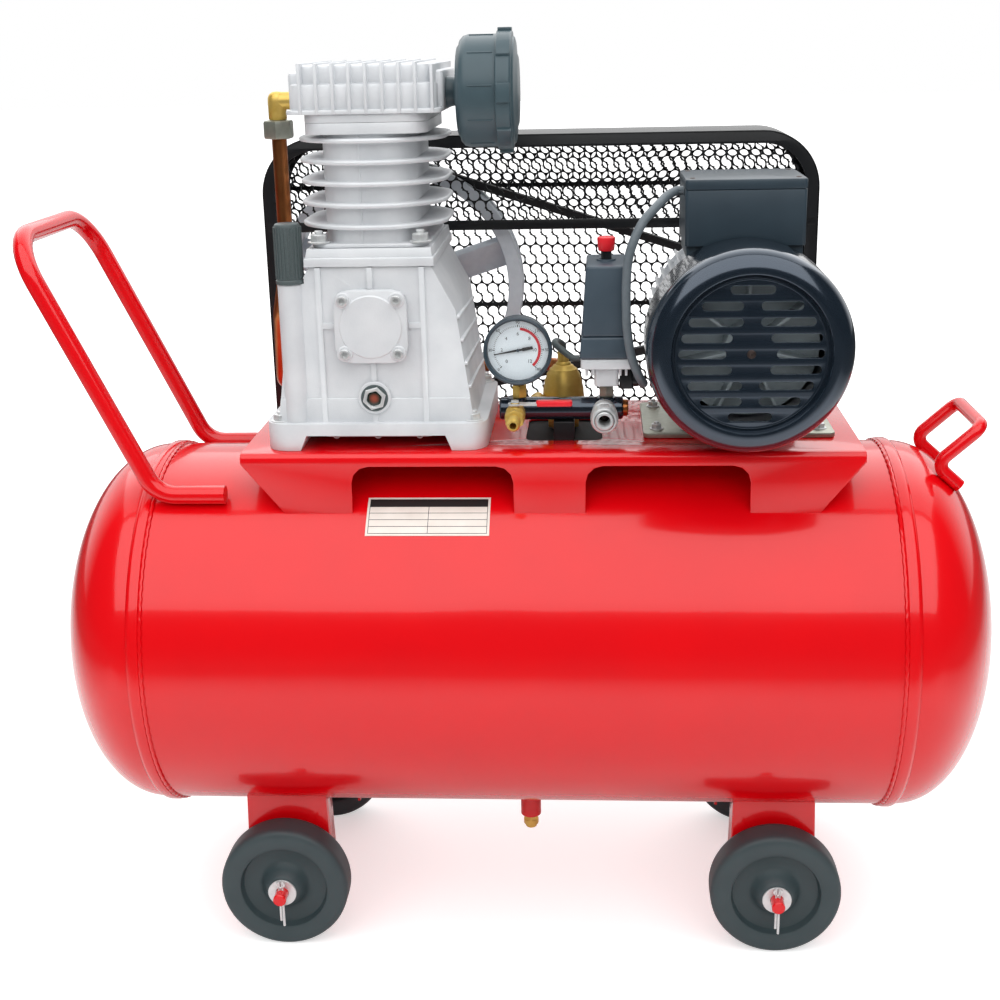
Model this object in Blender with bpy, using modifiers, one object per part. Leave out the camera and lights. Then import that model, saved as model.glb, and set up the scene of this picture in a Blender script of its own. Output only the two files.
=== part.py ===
"""Belt-driven air compressor on a horizontal wheeled receiver.

An in-line pump and an electric motor stand on a folded deck welded to the receiver. A V-belt behind
them runs inside a perforated guard. A manifold carries the pressure switch, gauge and outlets.
Metres, +X along the receiver, +Y to the belt side, +Z up.
"""
import math

import bmesh
import bpy
from mathutils import Matrix, Vector

# Fits
GAP = 0.0003
RUN = 0.0004

# Flats round a turned piece
HEX_STEPS = 6
STEM_STEPS = 14
PIN_STEPS = 16
FITTING_STEPS = 18
COVER_STEPS = 24
EYE_STEPS = 12

# Receiver
TANK_RADIUS = 0.185
TANK_LENGTH = 0.927
TANK_WALL = 0.003
TANK_CENTRE_X = -0.0035
TANK_AXIS_Z = 0.299
TANK_STEPS = 36
DOME_DEPTH = 0.096
DOME_POWER = 2.1
DOME_RINGS = 6
DOME_INNER_RINGS = 3
BAND_WIDTH = 0.013
BAND_LAP = 0.010
BAND_RISE = 0.003
DRAIN_X = -0.002
DRAIN_BOSS_RADIUS = 0.011
DRAIN_BOSS_LENGTH = 0.042
DRAIN_BODY_RADIUS = 0.0085
DRAIN_BODY_LENGTH = 0.011
DRAIN_SCREW_RADIUS = 0.006
DRAIN_SCREW_LENGTH = 0.009

# Running gear
WHEEL_RADIUS = 0.065
WHEEL_WIDTH = 0.034
WHEEL_STEPS = 22
WHEEL_INSET = 0.1187
WHEEL_Y = 0.129
WHEEL_RIM_RADIUS = 0.044
WHEEL_WEB_THICKNESS = 0.016
WHEEL_SHOULDER_SHARE = 0.55
HUB_RADIUS = 0.023
HUB_PROUD = 0.003
AXLE_RADIUS = 0.0065
AXLE_LENGTH = 0.336
LEG_FACE_Y = 0.106
LEG_TOP_WIDTH = 0.080
LEG_FOOT_WIDTH = 0.087
LEG_DEPTH = 0.030
LEG_SHEET = 0.003
LEG_DROP = 0.022
LEG_TOP_SHARE = 0.75

# Handles
PUSH_TUBE_RADIUS = 0.009
PUSH_HALF_WIDTH = 0.100
PUSH_FOOT_INSET = 0.0827
PUSH_FOOT_LENGTH = 0.067
PUSH_RISE = 0.245
PUSH_ANGLE = math.radians(65)
PUSH_FOOT_BEND = 0.030
PUSH_TOP_BEND = 0.045
TOW_ROD_RADIUS = 0.0065
TOW_FLAT = 0.96
TOW_HALF_WIDTH = 0.050
TOW_SEAT_RUN = 0.032
TOW_STUB_LENGTH = 0.022
TOW_HEEL_LENGTH = 0.010
TOW_REACH = 0.056
TOW_ANGLE = math.radians(42)
TOW_BEND = 0.011

# Deck
DECK_LENGTH = 0.585
DECK_CENTRE_X = 0.0255
DECK_HALF_WIDTH = 0.108
DECK_RISE = 0.024
DECK_SHEET = 0.003
DECK_FOLD_RADIUS = 0.007
DECK_END_CUT = 0.044
DECK_LIP = 0.010
DECK_NOTCH_WIDTH = 0.153
DECK_NOTCH_SPACING = 0.221
DECK_NOTCH_DROP = 0.013
DECK_NOTCH_RADIUS = 0.016
DECK_HATCH_CENTRE = (0.0385, -0.018)
DECK_HATCH_SIZE = (0.073, 0.088)
DECK_HATCH_RADIUS = 0.008

# Pump
PUMP_X = -0.138
CRANK_RISE = 0.118
BASE_SIZE = (0.210, 0.190)
BASE_CENTRE_Y = -0.003
BASE_HEIGHT = 0.026
BASE_CORNER = 0.020
BASE_TUNNEL_WIDTH = 0.132
BASE_TUNNEL_HEIGHT = 0.0145
CASE_SETBACK = 0.010
CASE_BACK_SETBACK = 0.007
CASE_FOOT_HALF = 0.093
CASE_WAIST_HALF = 0.078
CASE_WAIST_RISE = 0.132
CASE_SHOULDER_HALF = 0.057
CASE_SHOULDER_RISE = 0.172
CASE_TOP_RISE = 0.189
CASE_FLANGE_THICKNESS = 0.016
CASE_FLANGE_LAP = 0.003
REAR_HOUSING_RADIUS = 0.040
REAR_HOUSING_LENGTH = 0.018
RIB_WIDTH = 0.005
RIB_PROUD = 0.0025
RIB_SPREAD = 0.096
NECK_OFFSET_X = -0.075
NECK_BACK = 0.005
NECK_RADIUS = 0.0115
NECK_RISE = 0.157
CAP_RADIUS = 0.0135
CAP_HEIGHT = 0.055
CAP_RIBS = 16
CAP_RIB_DEPTH = 0.0012
GLASS_RISE = 0.050
GLASS_RADIUS = 0.0155
GLASS_PROUD = 0.008
GLASS_LENS_SHARE = 0.6
GLASS_LENS_SUNK = 0.0024
GLASS_EDGE = 0.0016
COVER_SIZE = 0.068
COVER_CORNER = 0.014
COVER_THICKNESS = 0.008
COVER_DISC_RADIUS = 0.029
COVER_DISC_PROUD = 0.003
SUMP_SIZE = (0.112, 0.150)
SUMP_THICKNESS = 0.006
SUMP_CORNER = 0.012

# Cylinder and head
BARREL_SIZE = (0.088, 0.158)
BARREL_CORNER = 0.036
BARREL_HEIGHT = 0.111
BARREL_FOOT_THICKNESS = 0.010
BARREL_FOOT_SIZE = (0.110, 0.168)
FIN_SIZE = (0.138, 0.178)
FIN_CORNER = 0.066
FIN_THICKNESS = 0.004
FIN_COUNT = 5
FIN_PITCH = 0.0192
FIN_FIRST = 0.0185
HEAD_FLANGE_SIZE = (0.112, 0.168)
HEAD_FLANGE_THICKNESS = 0.010
HEAD_FLANGE_CORNER = 0.020
PLATE_THICKNESS = 0.007
HEAD_SIZE = (0.141, 0.176)
HEAD_HEIGHT = 0.0442
HEAD_CHAMFER = 0.017
HEAD_RIBS = 8
HEAD_RIB_WIDTH = 0.0055
HEAD_FLOOR = 0.004
HEAD_CORE_HEIGHT = 0.024
HEAD_CORE_INSET = 0.006
PORT_Y = -0.030
PORT_RISE = 0.016
DELIVERY_RISE = 0.011

# Air filter, seen along X
FILTER_NECK_RADIUS = 0.014
FILTER_NECK_LENGTH = 0.011
FILTER_RADIUS = 0.050
FILTER_LENGTH = 0.036
FILTER_SHOULDER = 0.006
FILTER_STEPS = 28
FILTER_COVER_RADIUS = 0.0535
FILTER_COVER_LENGTH = 0.019
FILTER_COVER_CHAMFER = 0.006
FILTER_LUGS = 6
FILTER_LUG_SIZE = (0.016, 0.020, 0.004)
FILTER_LUG_SHARE = 0.45

# Delivery line
PIPE_RADIUS = 0.007
ELBOW_RADIUS = 0.0085
ELBOW_REACH = 0.017
ELBOW_DROP = 0.0173
ELBOW_BEND = 0.0102
NUT_RADIUS = 0.0145
NUT_LENGTH = 0.017
PIPE_BEND = 0.024
PIPE_SIDE_X = -0.247
PIPE_REAR_Y = 0.1000
PIPE_LOW_RISE = 0.040
VALVE_X = 0.037
VALVE_Y = 0.0
VALVE_RADIUS = 0.021
VALVE_STEM_RADIUS = 0.011
VALVE_HEIGHT = 0.076
VALVE_HEX_RADIUS = 0.0178
VALVE_CROWN_RADIUS = 0.0168
VALVE_STEM_SHARE = 0.30
VALVE_HIP_SHARE = 0.42
VALVE_WAIST_SHARE = 0.62
VALVE_NECK_RADIUS = 0.008
VALVE_NECK_HEIGHT = 0.022

# Crankshaft, flywheel and belt
JOURNAL_RADIUS = 0.0195
SNOUT_RADIUS = 0.0125
CRANK_STEPS = 24
CRANK_TAIL = 0.010
FLYWHEEL_RADIUS = 0.130
FLYWHEEL_WIDTH = 0.038
FLYWHEEL_STEPS = 32
FLYWHEEL_RIM = 0.015
FLYWHEEL_HUB_RADIUS = 0.031
FLYWHEEL_HUB_LENGTH = 0.044
SPOKE_COUNT = 5
SPOKE_WIDTH = 0.034
SPOKE_THICKNESS = 0.010
SPOKE_TILT = math.radians(32)
SPOKE_SUNK = 0.003
BELT_PLANE_Y = 0.147
BELT_TOP_WIDTH = 0.013
BELT_FOOT_WIDTH = 0.009
BELT_THICKNESS = 0.008
BELT_SUNK = 0.0095
BELT_LIFT_FLYWHEEL = 0.00072
BELT_LIFT_PULLEY = 0.00046
BELT_STEPS_FLYWHEEL = 24
BELT_STEPS_PULLEY = 10
GROOVE_SIDE_GAP = 0.0005
PULLEY_RADIUS = 0.042
PULLEY_WIDTH = 0.026
PULLEY_STEPS = 22

# Motor
MOTOR_X = 0.2055
MOTOR_RISE = 0.1005
BARREL_RADIUS = 0.083
BARREL_ROOT = 0.075
BARREL_FINS = 22
BARREL_FIN_FOOT = 0.5
BARREL_FIN_TIP = (0.62, 0.88)
BARREL_FRONT_Y = -0.080
BARREL_REAR_Y = 0.086
SHIELD_REAR_RADIUS = 0.066
SHIELD_LENGTH = 0.016
SHIELD_FRONT_LENGTH = 0.012
MOTOR_FOOT_SIZE = (0.186, 0.128)
MOTOR_FOOT_Y = 0.006
MOTOR_FOOT_THICKNESS = 0.005
MOTOR_PEDESTAL = (0.112, 0.110)
SHAFT_RADIUS = 0.012
SHAFT_FRONT_Y = -0.132
SHAFT_REAR_Y = 0.163
SHAFT_STEPS = 20
COWL_RADIUS = 0.092
COWL_WALL = 0.0018
COWL_FRONT_Y = -0.155
COWL_LAP = 0.011
COWL_SHOULDER = 0.020
COWL_FACE_RADIUS = 0.070
COWL_FACE_SINK = 0.006
COWL_STEPS = 28
SLOT_ROWS = 9
SLOT_PITCH = 0.0142
SLOT_HEIGHT = 0.0075
SLOT_CROSS_HALF = 0.0075
SLOT_HUB_HALF = 0.022
SLOT_RIM_GAP = 0.006
SLOT_END_SHARE = 0.75
FAN_RADIUS = 0.072
FAN_HUB_RADIUS = 0.022
FAN_BLADES = 7
FAN_Y = -0.112
FAN_DEPTH = 0.030
FAN_BLADE_THICKNESS = 0.00275
FAN_BLADE_DEPTH = 0.024
BOX_SIZE = (0.110, 0.104, 0.060)
BOX_SETBACK = 0.002
BOX_PAD = (0.086, 0.066)
BOX_BEVEL = 0.003

# Belt guard
GUARD_LEFT = -0.276
GUARD_RIGHT = 0.296
GUARD_RISE = 0.276
GUARD_DROP = 0.042
GUARD_CORNER = 0.058
GUARD_DEPTH = 0.082
GUARD_SHEET = 0.002
GUARD_LIP = 0.013
GUARD_BAR_RISE = 0.185
GUARD_BAR_HEIGHT = 0.010
MESH_SHEET = 0.0012
MESH_PITCH = 0.046
MESH_HOLE = 0.0220

# Manifold group
MANIFOLD_Y = -0.050
MANIFOLD_RISE = 0.029
MANIFOLD_LEFT = -0.023
MANIFOLD_LENGTH = 0.118
MANIFOLD_RADIUS = 0.011
MANIFOLD_STEPS = 16
PLUG_RADIUS = 0.008
PLUG_LENGTH = 0.005
RISER_X = 0.0385
RISER_SIZE = 0.020
GAUGE_X = -0.004
GAUGE_RISE = 0.060
GAUGE_RADIUS = 0.0325
GAUGE_DEPTH = 0.028
GAUGE_FRONT_Y = -0.074
GAUGE_RIM = 0.0035
GAUGE_DIAL_SINK = 0.009
GAUGE_BEZEL = 0.008
GAUGE_BEZEL_STEP = 0.001
GAUGE_STEPS = 20
GAUGE_STEM_RADIUS = 0.0075
PIN_RADIUS = 0.0014
PIN_LENGTH = 0.0038
POINTER_LENGTH = 0.023
POINTER_TAIL = 0.014
POINTER_HUB = 0.0032
POINTER_TIP_HALF = 0.00053
POINTER_TAIL_HALF = 0.00128
POINTER_HUB_FREE = math.radians(20)
POINTER_THICKNESS = 0.0008
POINTER_ANGLE = math.radians(187)
LENS_THICKNESS = 0.002
LENS_SINK = 0.0015
SWITCH_X = 0.079
SWITCH_Y = -0.043
SWITCH_BASE_SIZE = (0.050, 0.078, 0.014)
SWITCH_BASE_RISE = 0.029
SWITCH_BOSS_RADIUS = 0.0125
SWITCH_BOSS_LENGTH = 0.014
SWITCH_NIPPLE_RADIUS = 0.0075
SWITCH_COVER_HEIGHT = 0.086
SWITCH_COVER_TOP = (0.037, 0.080)
SWITCH_COVER_FOOT = (0.049, 0.082)
KNOB_RADIUS = 0.0085
KNOB_HEIGHT = 0.013
KNOB_FOOT_RADIUS = 0.0075
KNOB_LIFT = 0.009
KNOB_STEM_RADIUS = 0.005
KNOB_STEM_SUNK = 0.014
GLAND_SIZE = (0.013, 0.016, 0.016)
GLAND_PORT_DROP = 0.0088
GLAND_FORWARD = 0.023
LEAD_RADIUS = 0.0042
LEAD_BOX_DROP = 0.0117
LEAD_STUB = 0.006
LEAD_POINTS = ((0.656, -0.009, 0.977), (0.414, -0.027, 0.928), (0.173, -0.041, 0.869),
               (-0.02, -0.0475, 0.776), (-0.136, -0.0485, 0.668), (-0.169, -0.0485, 0.542),
               (-0.167, -0.0485, 0.405), (-0.151, -0.0485, 0.308), (-0.07, -0.0475, 0.167),
               (0.0855, -0.0435, 0.051), (0.195, -0.034, -0.007))
UNLOADER_RADIUS = 0.0032
WHIP_CREST = 0.012

# Outlets at the front of the manifold
TAP_X = -0.007
TAP_RADIUS = 0.0095
TAP_LENGTH = 0.036
TAP_BARB_RADIUS = 0.0062
TAP_BARB_LENGTH = 0.022
TAP_BORE = 0.0032
TAP_STEM_RADIUS = 0.004
TAP_STEM_BACK = 0.019
LEVER_LENGTH = 0.054
LEVER_THICKNESS = 0.0022
LEVER_TIP_HALF = 0.0035
LEVER_EYE_RADIUS = 0.0065
LEVER_EYE_FREE = math.radians(40)
COUPLER_X = 0.077
COUPLER_RADIUS = 0.0088
COUPLER_COLLAR_RADIUS = 0.0115
COUPLER_COLLAR_LENGTH = 0.008
COUPLER_LENGTH = 0.043
COUPLER_BORE = 0.0056
COUPLER_BORE_DEPTH = 0.024
SLEEVE_RADIUS = 0.0128
SLEEVE_LENGTH = 0.024
SLEEVE_SET_BACK = 0.002
SLEEVE_EDGE = 0.0036
SLEEVE_EDGE_DROP = 0.00064
RELIEF_X = 0.012
RELIEF_RADIUS = 0.008
RELIEF_LENGTH = 0.034
RELIEF_BODY_LENGTH = 0.0204
RELIEF_CAP_RADIUS = 0.0055

# Heights that follow from the sizes above
DECK_TOP = TANK_AXIS_Z + TANK_RADIUS + DECK_RISE
CRANK_Z = DECK_TOP + CRANK_RISE
MOTOR_Z = DECK_TOP + MOTOR_RISE
BARREL_BASE_Z = DECK_TOP + CASE_TOP_RISE + GAP
PLATE_Z = BARREL_BASE_Z + BARREL_HEIGHT + GAP
HEAD_Z = PLATE_Z + PLATE_THICKNESS + GAP
PORT_Z = HEAD_Z + PORT_RISE
MANIFOLD_Z = DECK_TOP + MANIFOLD_RISE
GUARD_FRONT_Y = DECK_HALF_WIDTH + GAP
GUARD_TOP = DECK_TOP + GUARD_RISE
GUARD_BOTTOM = DECK_TOP - GUARD_DROP
GUARD_BAR_Z = DECK_TOP + GUARD_BAR_RISE
CASE_FRONT_Y = BASE_CENTRE_Y - BASE_SIZE[1] / 2 + CASE_SETBACK
CASE_BACK_Y = BASE_CENTRE_Y + BASE_SIZE[1] / 2 - CASE_BACK_SETBACK
CASE_DEPTH = CASE_BACK_Y - CASE_FRONT_Y
NECK_Y = CASE_FRONT_Y + NECK_BACK
AXLE_Z = WHEEL_RADIUS * math.cos(math.pi / WHEEL_STEPS)
SHELL_HALF = TANK_LENGTH / 2 - DOME_DEPTH - BAND_WIDTH + BAND_LAP - GAP
WHEEL_X = SHELL_HALF - WHEEL_INSET
PUSH_FOOT_START = TANK_CENTRE_X - SHELL_HALF + PUSH_FOOT_INSET
COWL_REAR_Y = BARREL_FRONT_Y + COWL_LAP
BOX_Y = COWL_REAR_Y + BOX_SETBACK + BOX_SIZE[1] / 2
BOX_FLOOR_Z = MOTOR_Z + BARREL_RADIUS + GAP

# Turns that carry a modelled piece to its direction in the assembly
UPRIGHT = Matrix.Identity(4)
TO_FRONT = Matrix.Rotation(math.pi / 2, 4, "X")
TO_REAR = Matrix.Rotation(-math.pi / 2, 4, "X")
TO_RIGHT = Matrix.Rotation(math.pi / 2, 4, "Y")
TO_LEFT = Matrix.Rotation(-math.pi / 2, 4, "Y")
TO_DOWN = Matrix.Rotation(math.pi, 4, "X")
SECTION_ALONG_X = Matrix(((0, 0, 1, 0), (1, 0, 0, 0), (0, 1, 0, 0), (0, 0, 0, 1)))

# Base colour, roughness and metallic value of each finish
FINISHES = {
    "red_enamel": ((0.75, 0.004, 0.008), 0.22, 0.0),
    "cast_aluminium": ((0.70, 0.71, 0.72), 0.45, 0.9),
    "grey_iron": ((0.38, 0.40, 0.41), 0.50, 0.6),
    "bright_steel": ((0.72, 0.73, 0.74), 0.28, 1.0),
    "black_enamel": ((0.018, 0.022, 0.026), 0.25, 0.0),
    "slate_plastic": ((0.045, 0.065, 0.072), 0.50, 0.0),
    "red_plastic": ((0.80, 0.010, 0.015), 0.35, 0.0),
    "rubber": ((0.030, 0.034, 0.036), 0.70, 0.0),
    "brass": ((0.72, 0.50, 0.16), 0.30, 1.0),
    "copper": ((0.62, 0.27, 0.13), 0.30, 1.0),
    "clear_glass": ((0.90, 0.93, 0.94), 0.05, 0.0),
}


def start_scene():
    """Empty the scene and return the parts and cutters collections and the root empty."""
    for item in list(bpy.data.objects):
        bpy.data.objects.remove(item, do_unlink=True)
    parts = bpy.data.collections.new("air_compressor")
    cutters = bpy.data.collections.new("cutters")
    for collection in (parts, cutters):
        bpy.context.scene.collection.children.link(collection)
    root = bpy.data.objects.new("compressor_origin", None)
    parts.objects.link(root)
    return parts, cutters, root


PARTS, CUTTERS, ROOT = start_scene()


def finish(name):
    """The material of one finish, made on its first use."""
    found = bpy.data.materials.get(name)
    if found:
        return found
    colour, roughness, metallic = FINISHES[name]
    made = bpy.data.materials.new(name)
    made.use_nodes = True
    shader = made.node_tree.nodes["Principled BSDF"]
    shader.inputs["Base Color"].default_value = (*colour, 1.0)
    shader.inputs["Roughness"].default_value = roughness
    shader.inputs["Metallic"].default_value = metallic
    return made


def shape(mesh, turn=UPRIGHT):
    """A loose object around a mesh, turned to its direction."""
    mesh.transform(turn)
    made = bpy.data.objects.new("shape", mesh)
    CUTTERS.objects.link(made)
    return made


def as_mesh(source):
    """The evaluated mesh of an object, with the seams of its caps welded; the object is removed."""
    bpy.context.view_layer.update()
    graph = bpy.context.evaluated_depsgraph_get()
    mesh = bpy.data.meshes.new_from_object(source.evaluated_get(graph))
    bpy.data.objects.remove(source, do_unlink=True)
    work = bmesh.new()
    work.from_mesh(mesh)
    bmesh.ops.remove_doubles(work, verts=work.verts, dist=1e-6)
    bmesh.ops.dissolve_degenerate(work, edges=work.edges, dist=1e-7)
    work.to_mesh(mesh)
    work.free()
    return mesh


def turned(profile, steps, turn=UPRIGHT, ring=False):
    """A profile of (radius, height) points swept round Z; a ring's profile closes on itself."""
    mesh = bpy.data.meshes.new("profile")
    count = len(profile)
    edges = [(i, i + 1) for i in range(count - 1)]
    if ring:
        edges.append((count - 1, 0))
    mesh.from_pydata([(radius, 0.0, height) for radius, height in profile], edges, [])
    source = bpy.data.objects.new("turned", mesh)
    CUTTERS.objects.link(source)
    screw = source.modifiers.new("Screw", "SCREW")
    screw.steps = steps
    screw.render_steps = steps
    screw.use_merge_vertices = True
    screw.merge_threshold = 1e-6
    return shape(as_mesh(source), turn)


def rod(radius, length, steps, turn=UPRIGHT):
    """A plain cylinder that starts at its origin."""
    return turned([(0, length), (radius, length), (radius, 0), (0, 0)], steps, turn)


def block(size, bevel=0.0, segments=2):
    """A box centred on its origin, with rounded edges."""
    work = bmesh.new()
    bmesh.ops.create_cube(work, size=1.0)
    bmesh.ops.scale(work, vec=size, verts=work.verts)
    if bevel:
        bmesh.ops.bevel(work, geom=work.edges[:], offset=bevel, segments=segments, profile=0.5,
                        affect="EDGES", material=-1)
    mesh = bpy.data.meshes.new("block")
    work.to_mesh(mesh)
    work.free()
    return shape(mesh)


def plate(loops, thickness, turn=UPRIGHT):
    """A flat outline with its holes, drawn in XY and as thick as said about its own plane."""
    curve = bpy.data.curves.new("outline", "CURVE")
    curve.dimensions = "2D"
    curve.fill_mode = "BOTH"
    curve.extrude = thickness / 2
    for loop in loops:
        spline = curve.splines.new("POLY")
        spline.points.add(len(loop) - 1)
        for point, (x, y) in zip(spline.points, loop):
            point.co = (x, y, 0.0, 1.0)
        spline.use_cyclic_u = True
    source = bpy.data.objects.new("plate", curve)
    CUTTERS.objects.link(source)
    return shape(as_mesh(source), turn)


def tube(path, radius, resolution=3):
    """A round bar along a path of points."""
    curve = bpy.data.curves.new("path", "CURVE")
    curve.dimensions = "3D"
    curve.bevel_depth = radius
    curve.bevel_resolution = resolution
    curve.use_fill_caps = True
    spline = curve.splines.new("POLY")
    spline.points.add(len(path) - 1)
    for point, place in zip(spline.points, path):
        point.co = (*place, 1.0)
    source = bpy.data.objects.new("tube", curve)
    CUTTERS.objects.link(source)
    return shape(as_mesh(source))


def swept(edges, turn=UPRIGHT):
    """A closed bar whose long edges are loops of equal count, each drawn in XY at its own height."""
    work = bmesh.new()
    rows = [[work.verts.new((x, y, height)) for x, y in loop] for loop, height in edges]
    count = len(rows[0])
    for row, following in zip(rows, rows[1:] + rows[:1]):
        for i in range(count):
            after = (i + 1) % count
            work.faces.new((row[i], following[i], following[after], row[after]))
    bmesh.ops.recalc_face_normals(work, faces=work.faces)
    mesh = bpy.data.meshes.new("swept")
    work.to_mesh(mesh)
    work.free()
    return shape(mesh, turn)


def arc(centre, radius, start, end, count):
    """Points along an arc in a plane, both ends included."""
    angles = [start + (end - start) * i / count for i in range(count + 1)]
    return [(centre[0] + radius * math.cos(a), centre[1] + radius * math.sin(a)) for a in angles]


def ring_points(radius, steps):
    """Corners of a round hole about the origin."""
    return arc((0, 0), radius, 0, 2 * math.pi * (steps - 1) / steps, steps - 1)


def rounded(width, height, radius, count=4, centre=(0.0, 0.0)):
    """A rectangle with round corners, counter-clockwise."""
    reach = min(radius, 0.499 * min(width, height))
    points = []
    for i, (sx, sy) in enumerate(((1, 1), (-1, 1), (-1, -1), (1, -1))):
        corner = (centre[0] + sx * (width / 2 - reach), centre[1] + sy * (height / 2 - reach))
        points += arc(corner, reach, i * math.pi / 2, (i + 1) * math.pi / 2, count)
    return points


def bent(corners, radius, count=4):
    """A path through corner points, with each inner corner rounded to a bend radius."""
    corners = [Vector(corner) for corner in corners]
    path = [corners[0]]
    for before, corner, after in zip(corners, corners[1:], corners[2:]):
        back = (before - corner).normalized()
        ahead = (after - corner).normalized()
        half = back.angle(ahead) / 2
        reach = radius / math.tan(half)
        centre = corner + (back + ahead).normalized() * radius / math.sin(half)
        first = corner + back * reach - centre
        last = corner + ahead * reach - centre
        span = first.angle(last)
        for i in range(count + 1):
            share = i / count
            path.append(centre + (first * math.sin((1 - share) * span)
                                  + last * math.sin(share * span)) / math.sin(span))
    path.append(corners[-1])
    return path


def smooth(route, count):
    """A smooth curve through a route's points; its first and last stretches stay straight."""
    points = [Vector(point) for point in route[1:-1]]
    ends = [Vector(route[0])] + points + [Vector(route[-1])]
    path = []
    for a, b, c, d in zip(ends, ends[1:], ends[2:], ends[3:]):
        for i in range(count):
            t = i / count
            path.append(0.5 * (2 * b + (c - a) * t + (2 * a - 5 * b + 4 * c - d) * t ** 2
                               + (3 * b - a - 3 * c + d) * t ** 3))
    return [Vector(route[0])] + path + [points[-1], Vector(route[-1])]


def bore_radius(radius, clearance, steps):
    """Radius of a bore whose flats clear a round piece."""
    return (radius + clearance) / math.cos(math.pi / steps)


def combine(base, others, operation):
    """Cut others from base, or join them to it; the others are used up."""
    for other in others:
        step = base.modifiers.new("Boolean", "BOOLEAN")
        step.operation = operation
        step.solver = "EXACT"
        step.object = other
        bpy.context.view_layer.update()
        graph = bpy.context.evaluated_depsgraph_get()
        mesh = bpy.data.meshes.new_from_object(base.evaluated_get(graph))
        base.modifiers.clear()
        base.data = mesh
        bpy.data.objects.remove(other, do_unlink=True)
    work = bmesh.new()
    work.from_mesh(base.data)
    bmesh.ops.remove_doubles(work, verts=work.verts, dist=2e-6)
    bmesh.ops.dissolve_degenerate(work, edges=work.edges, dist=1e-6)
    work.to_mesh(base.data)
    work.free()
    return base


def at(piece, x=0.0, y=0.0, z=0.0):
    """Move a piece to its place."""
    piece.location = (x, y, z)
    return piece


def node(name, piece, finish_name):
    """Make a shape a named part of the assembly, at the place that it has."""
    piece.name = name
    piece.data.name = name
    CUTTERS.objects.unlink(piece)
    PARTS.objects.link(piece)
    piece.parent = ROOT
    piece.data.materials.clear()
    piece.data.materials.append(finish(finish_name))
    piece.data.shade_smooth()
    piece.data.set_sharp_from_angle(angle=math.radians(35))
    return piece


def dome_profile(radius, depth, rings):
    """Points of a dished end from its crown down to its rim."""
    points = []
    for i in range(rings + 1):
        angle = math.pi / 2 * i / rings
        points.append((radius * math.sin(angle) ** (2 / DOME_POWER),
                       depth * math.cos(angle) ** (2 / DOME_POWER)))
    points[0] = (0.0, depth)
    points[-1] = (radius, 0.0)
    return points


def tank_cutter():
    """The space that the receiver's shell fills, with its seat gap."""
    body = rod(TANK_RADIUS + GAP, 2 * SHELL_HALF, TANK_STEPS, TO_RIGHT)
    return at(body, TANK_CENTRE_X - SHELL_HALF, 0, TANK_AXIS_Z)


def facet_radius(radius, azimuth):
    """Radius of the receiver's flats at an angle from its top."""
    step = 2 * math.pi / TANK_STEPS
    return radius * math.cos(step / 2) / math.cos(azimuth % step - step / 2)


def build_receiver():
    """Rolled shell, two dished ends whose flanges lap over it, and the drain under it."""
    half = SHELL_HALF
    inner = TANK_RADIUS - TANK_WALL
    shell = turned([(TANK_RADIUS, half), (TANK_RADIUS, -half), (inner, -half), (inner, half)],
                   TANK_STEPS, TO_RIGHT, ring=True)
    node("tank_shell", at(shell, TANK_CENTRE_X, 0, TANK_AXIS_Z), "red_enamel")

    rim = TANK_RADIUS + BAND_RISE
    seat = TANK_RADIUS + GAP
    outside = [(r, BAND_WIDTH + h) for r, h in dome_profile(TANK_RADIUS, DOME_DEPTH, DOME_RINGS)]
    inside = [(r, BAND_LAP + h) for r, h in
              dome_profile(inner, DOME_DEPTH + BAND_WIDTH - BAND_LAP - TANK_WALL, DOME_INNER_RINGS)]
    profile = outside + [(rim, BAND_WIDTH - BAND_RISE), (rim, 0.0), (seat, 0.0), (seat, BAND_LAP)]
    profile += inside[::-1]
    start = TANK_LENGTH / 2 - DOME_DEPTH - BAND_WIDTH
    for name, turn, side in (("tank_end_left", TO_LEFT, -1), ("tank_end_right", TO_RIGHT, 1)):
        end = at(turned(profile, TANK_STEPS, turn), TANK_CENTRE_X + side * start, 0, TANK_AXIS_Z)
        node(name, end, "red_enamel")

    belly = TANK_AXIS_Z - TANK_RADIUS
    boss = rod(DRAIN_BOSS_RADIUS, DRAIN_BOSS_LENGTH + DRAIN_BOSS_RADIUS, PIN_STEPS)
    at(boss, DRAIN_X, 0, belly - DRAIN_BOSS_LENGTH)
    node("drain_boss", combine(boss, [tank_cutter()], "DIFFERENCE"), "red_enamel")
    top = belly - DRAIN_BOSS_LENGTH - GAP
    socket = bore_radius(DRAIN_SCREW_RADIUS, RUN, PIN_STEPS)
    body = turned([(0, 0), (DRAIN_BODY_RADIUS, 0), (DRAIN_BODY_RADIUS, -DRAIN_BODY_LENGTH),
                   (socket, -DRAIN_BODY_LENGTH), (socket, -DRAIN_BODY_LENGTH / 2),
                   (0, -DRAIN_BODY_LENGTH / 2)], PIN_STEPS)
    node("drain_valve_body", at(body, DRAIN_X, 0, top), "brass")
    screw = rod(DRAIN_SCREW_RADIUS, DRAIN_SCREW_LENGTH, PIN_STEPS, TO_DOWN)
    node("drain_valve_screw", at(screw, DRAIN_X, 0, top - DRAIN_BODY_LENGTH / 2 - GAP), "brass")


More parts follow.
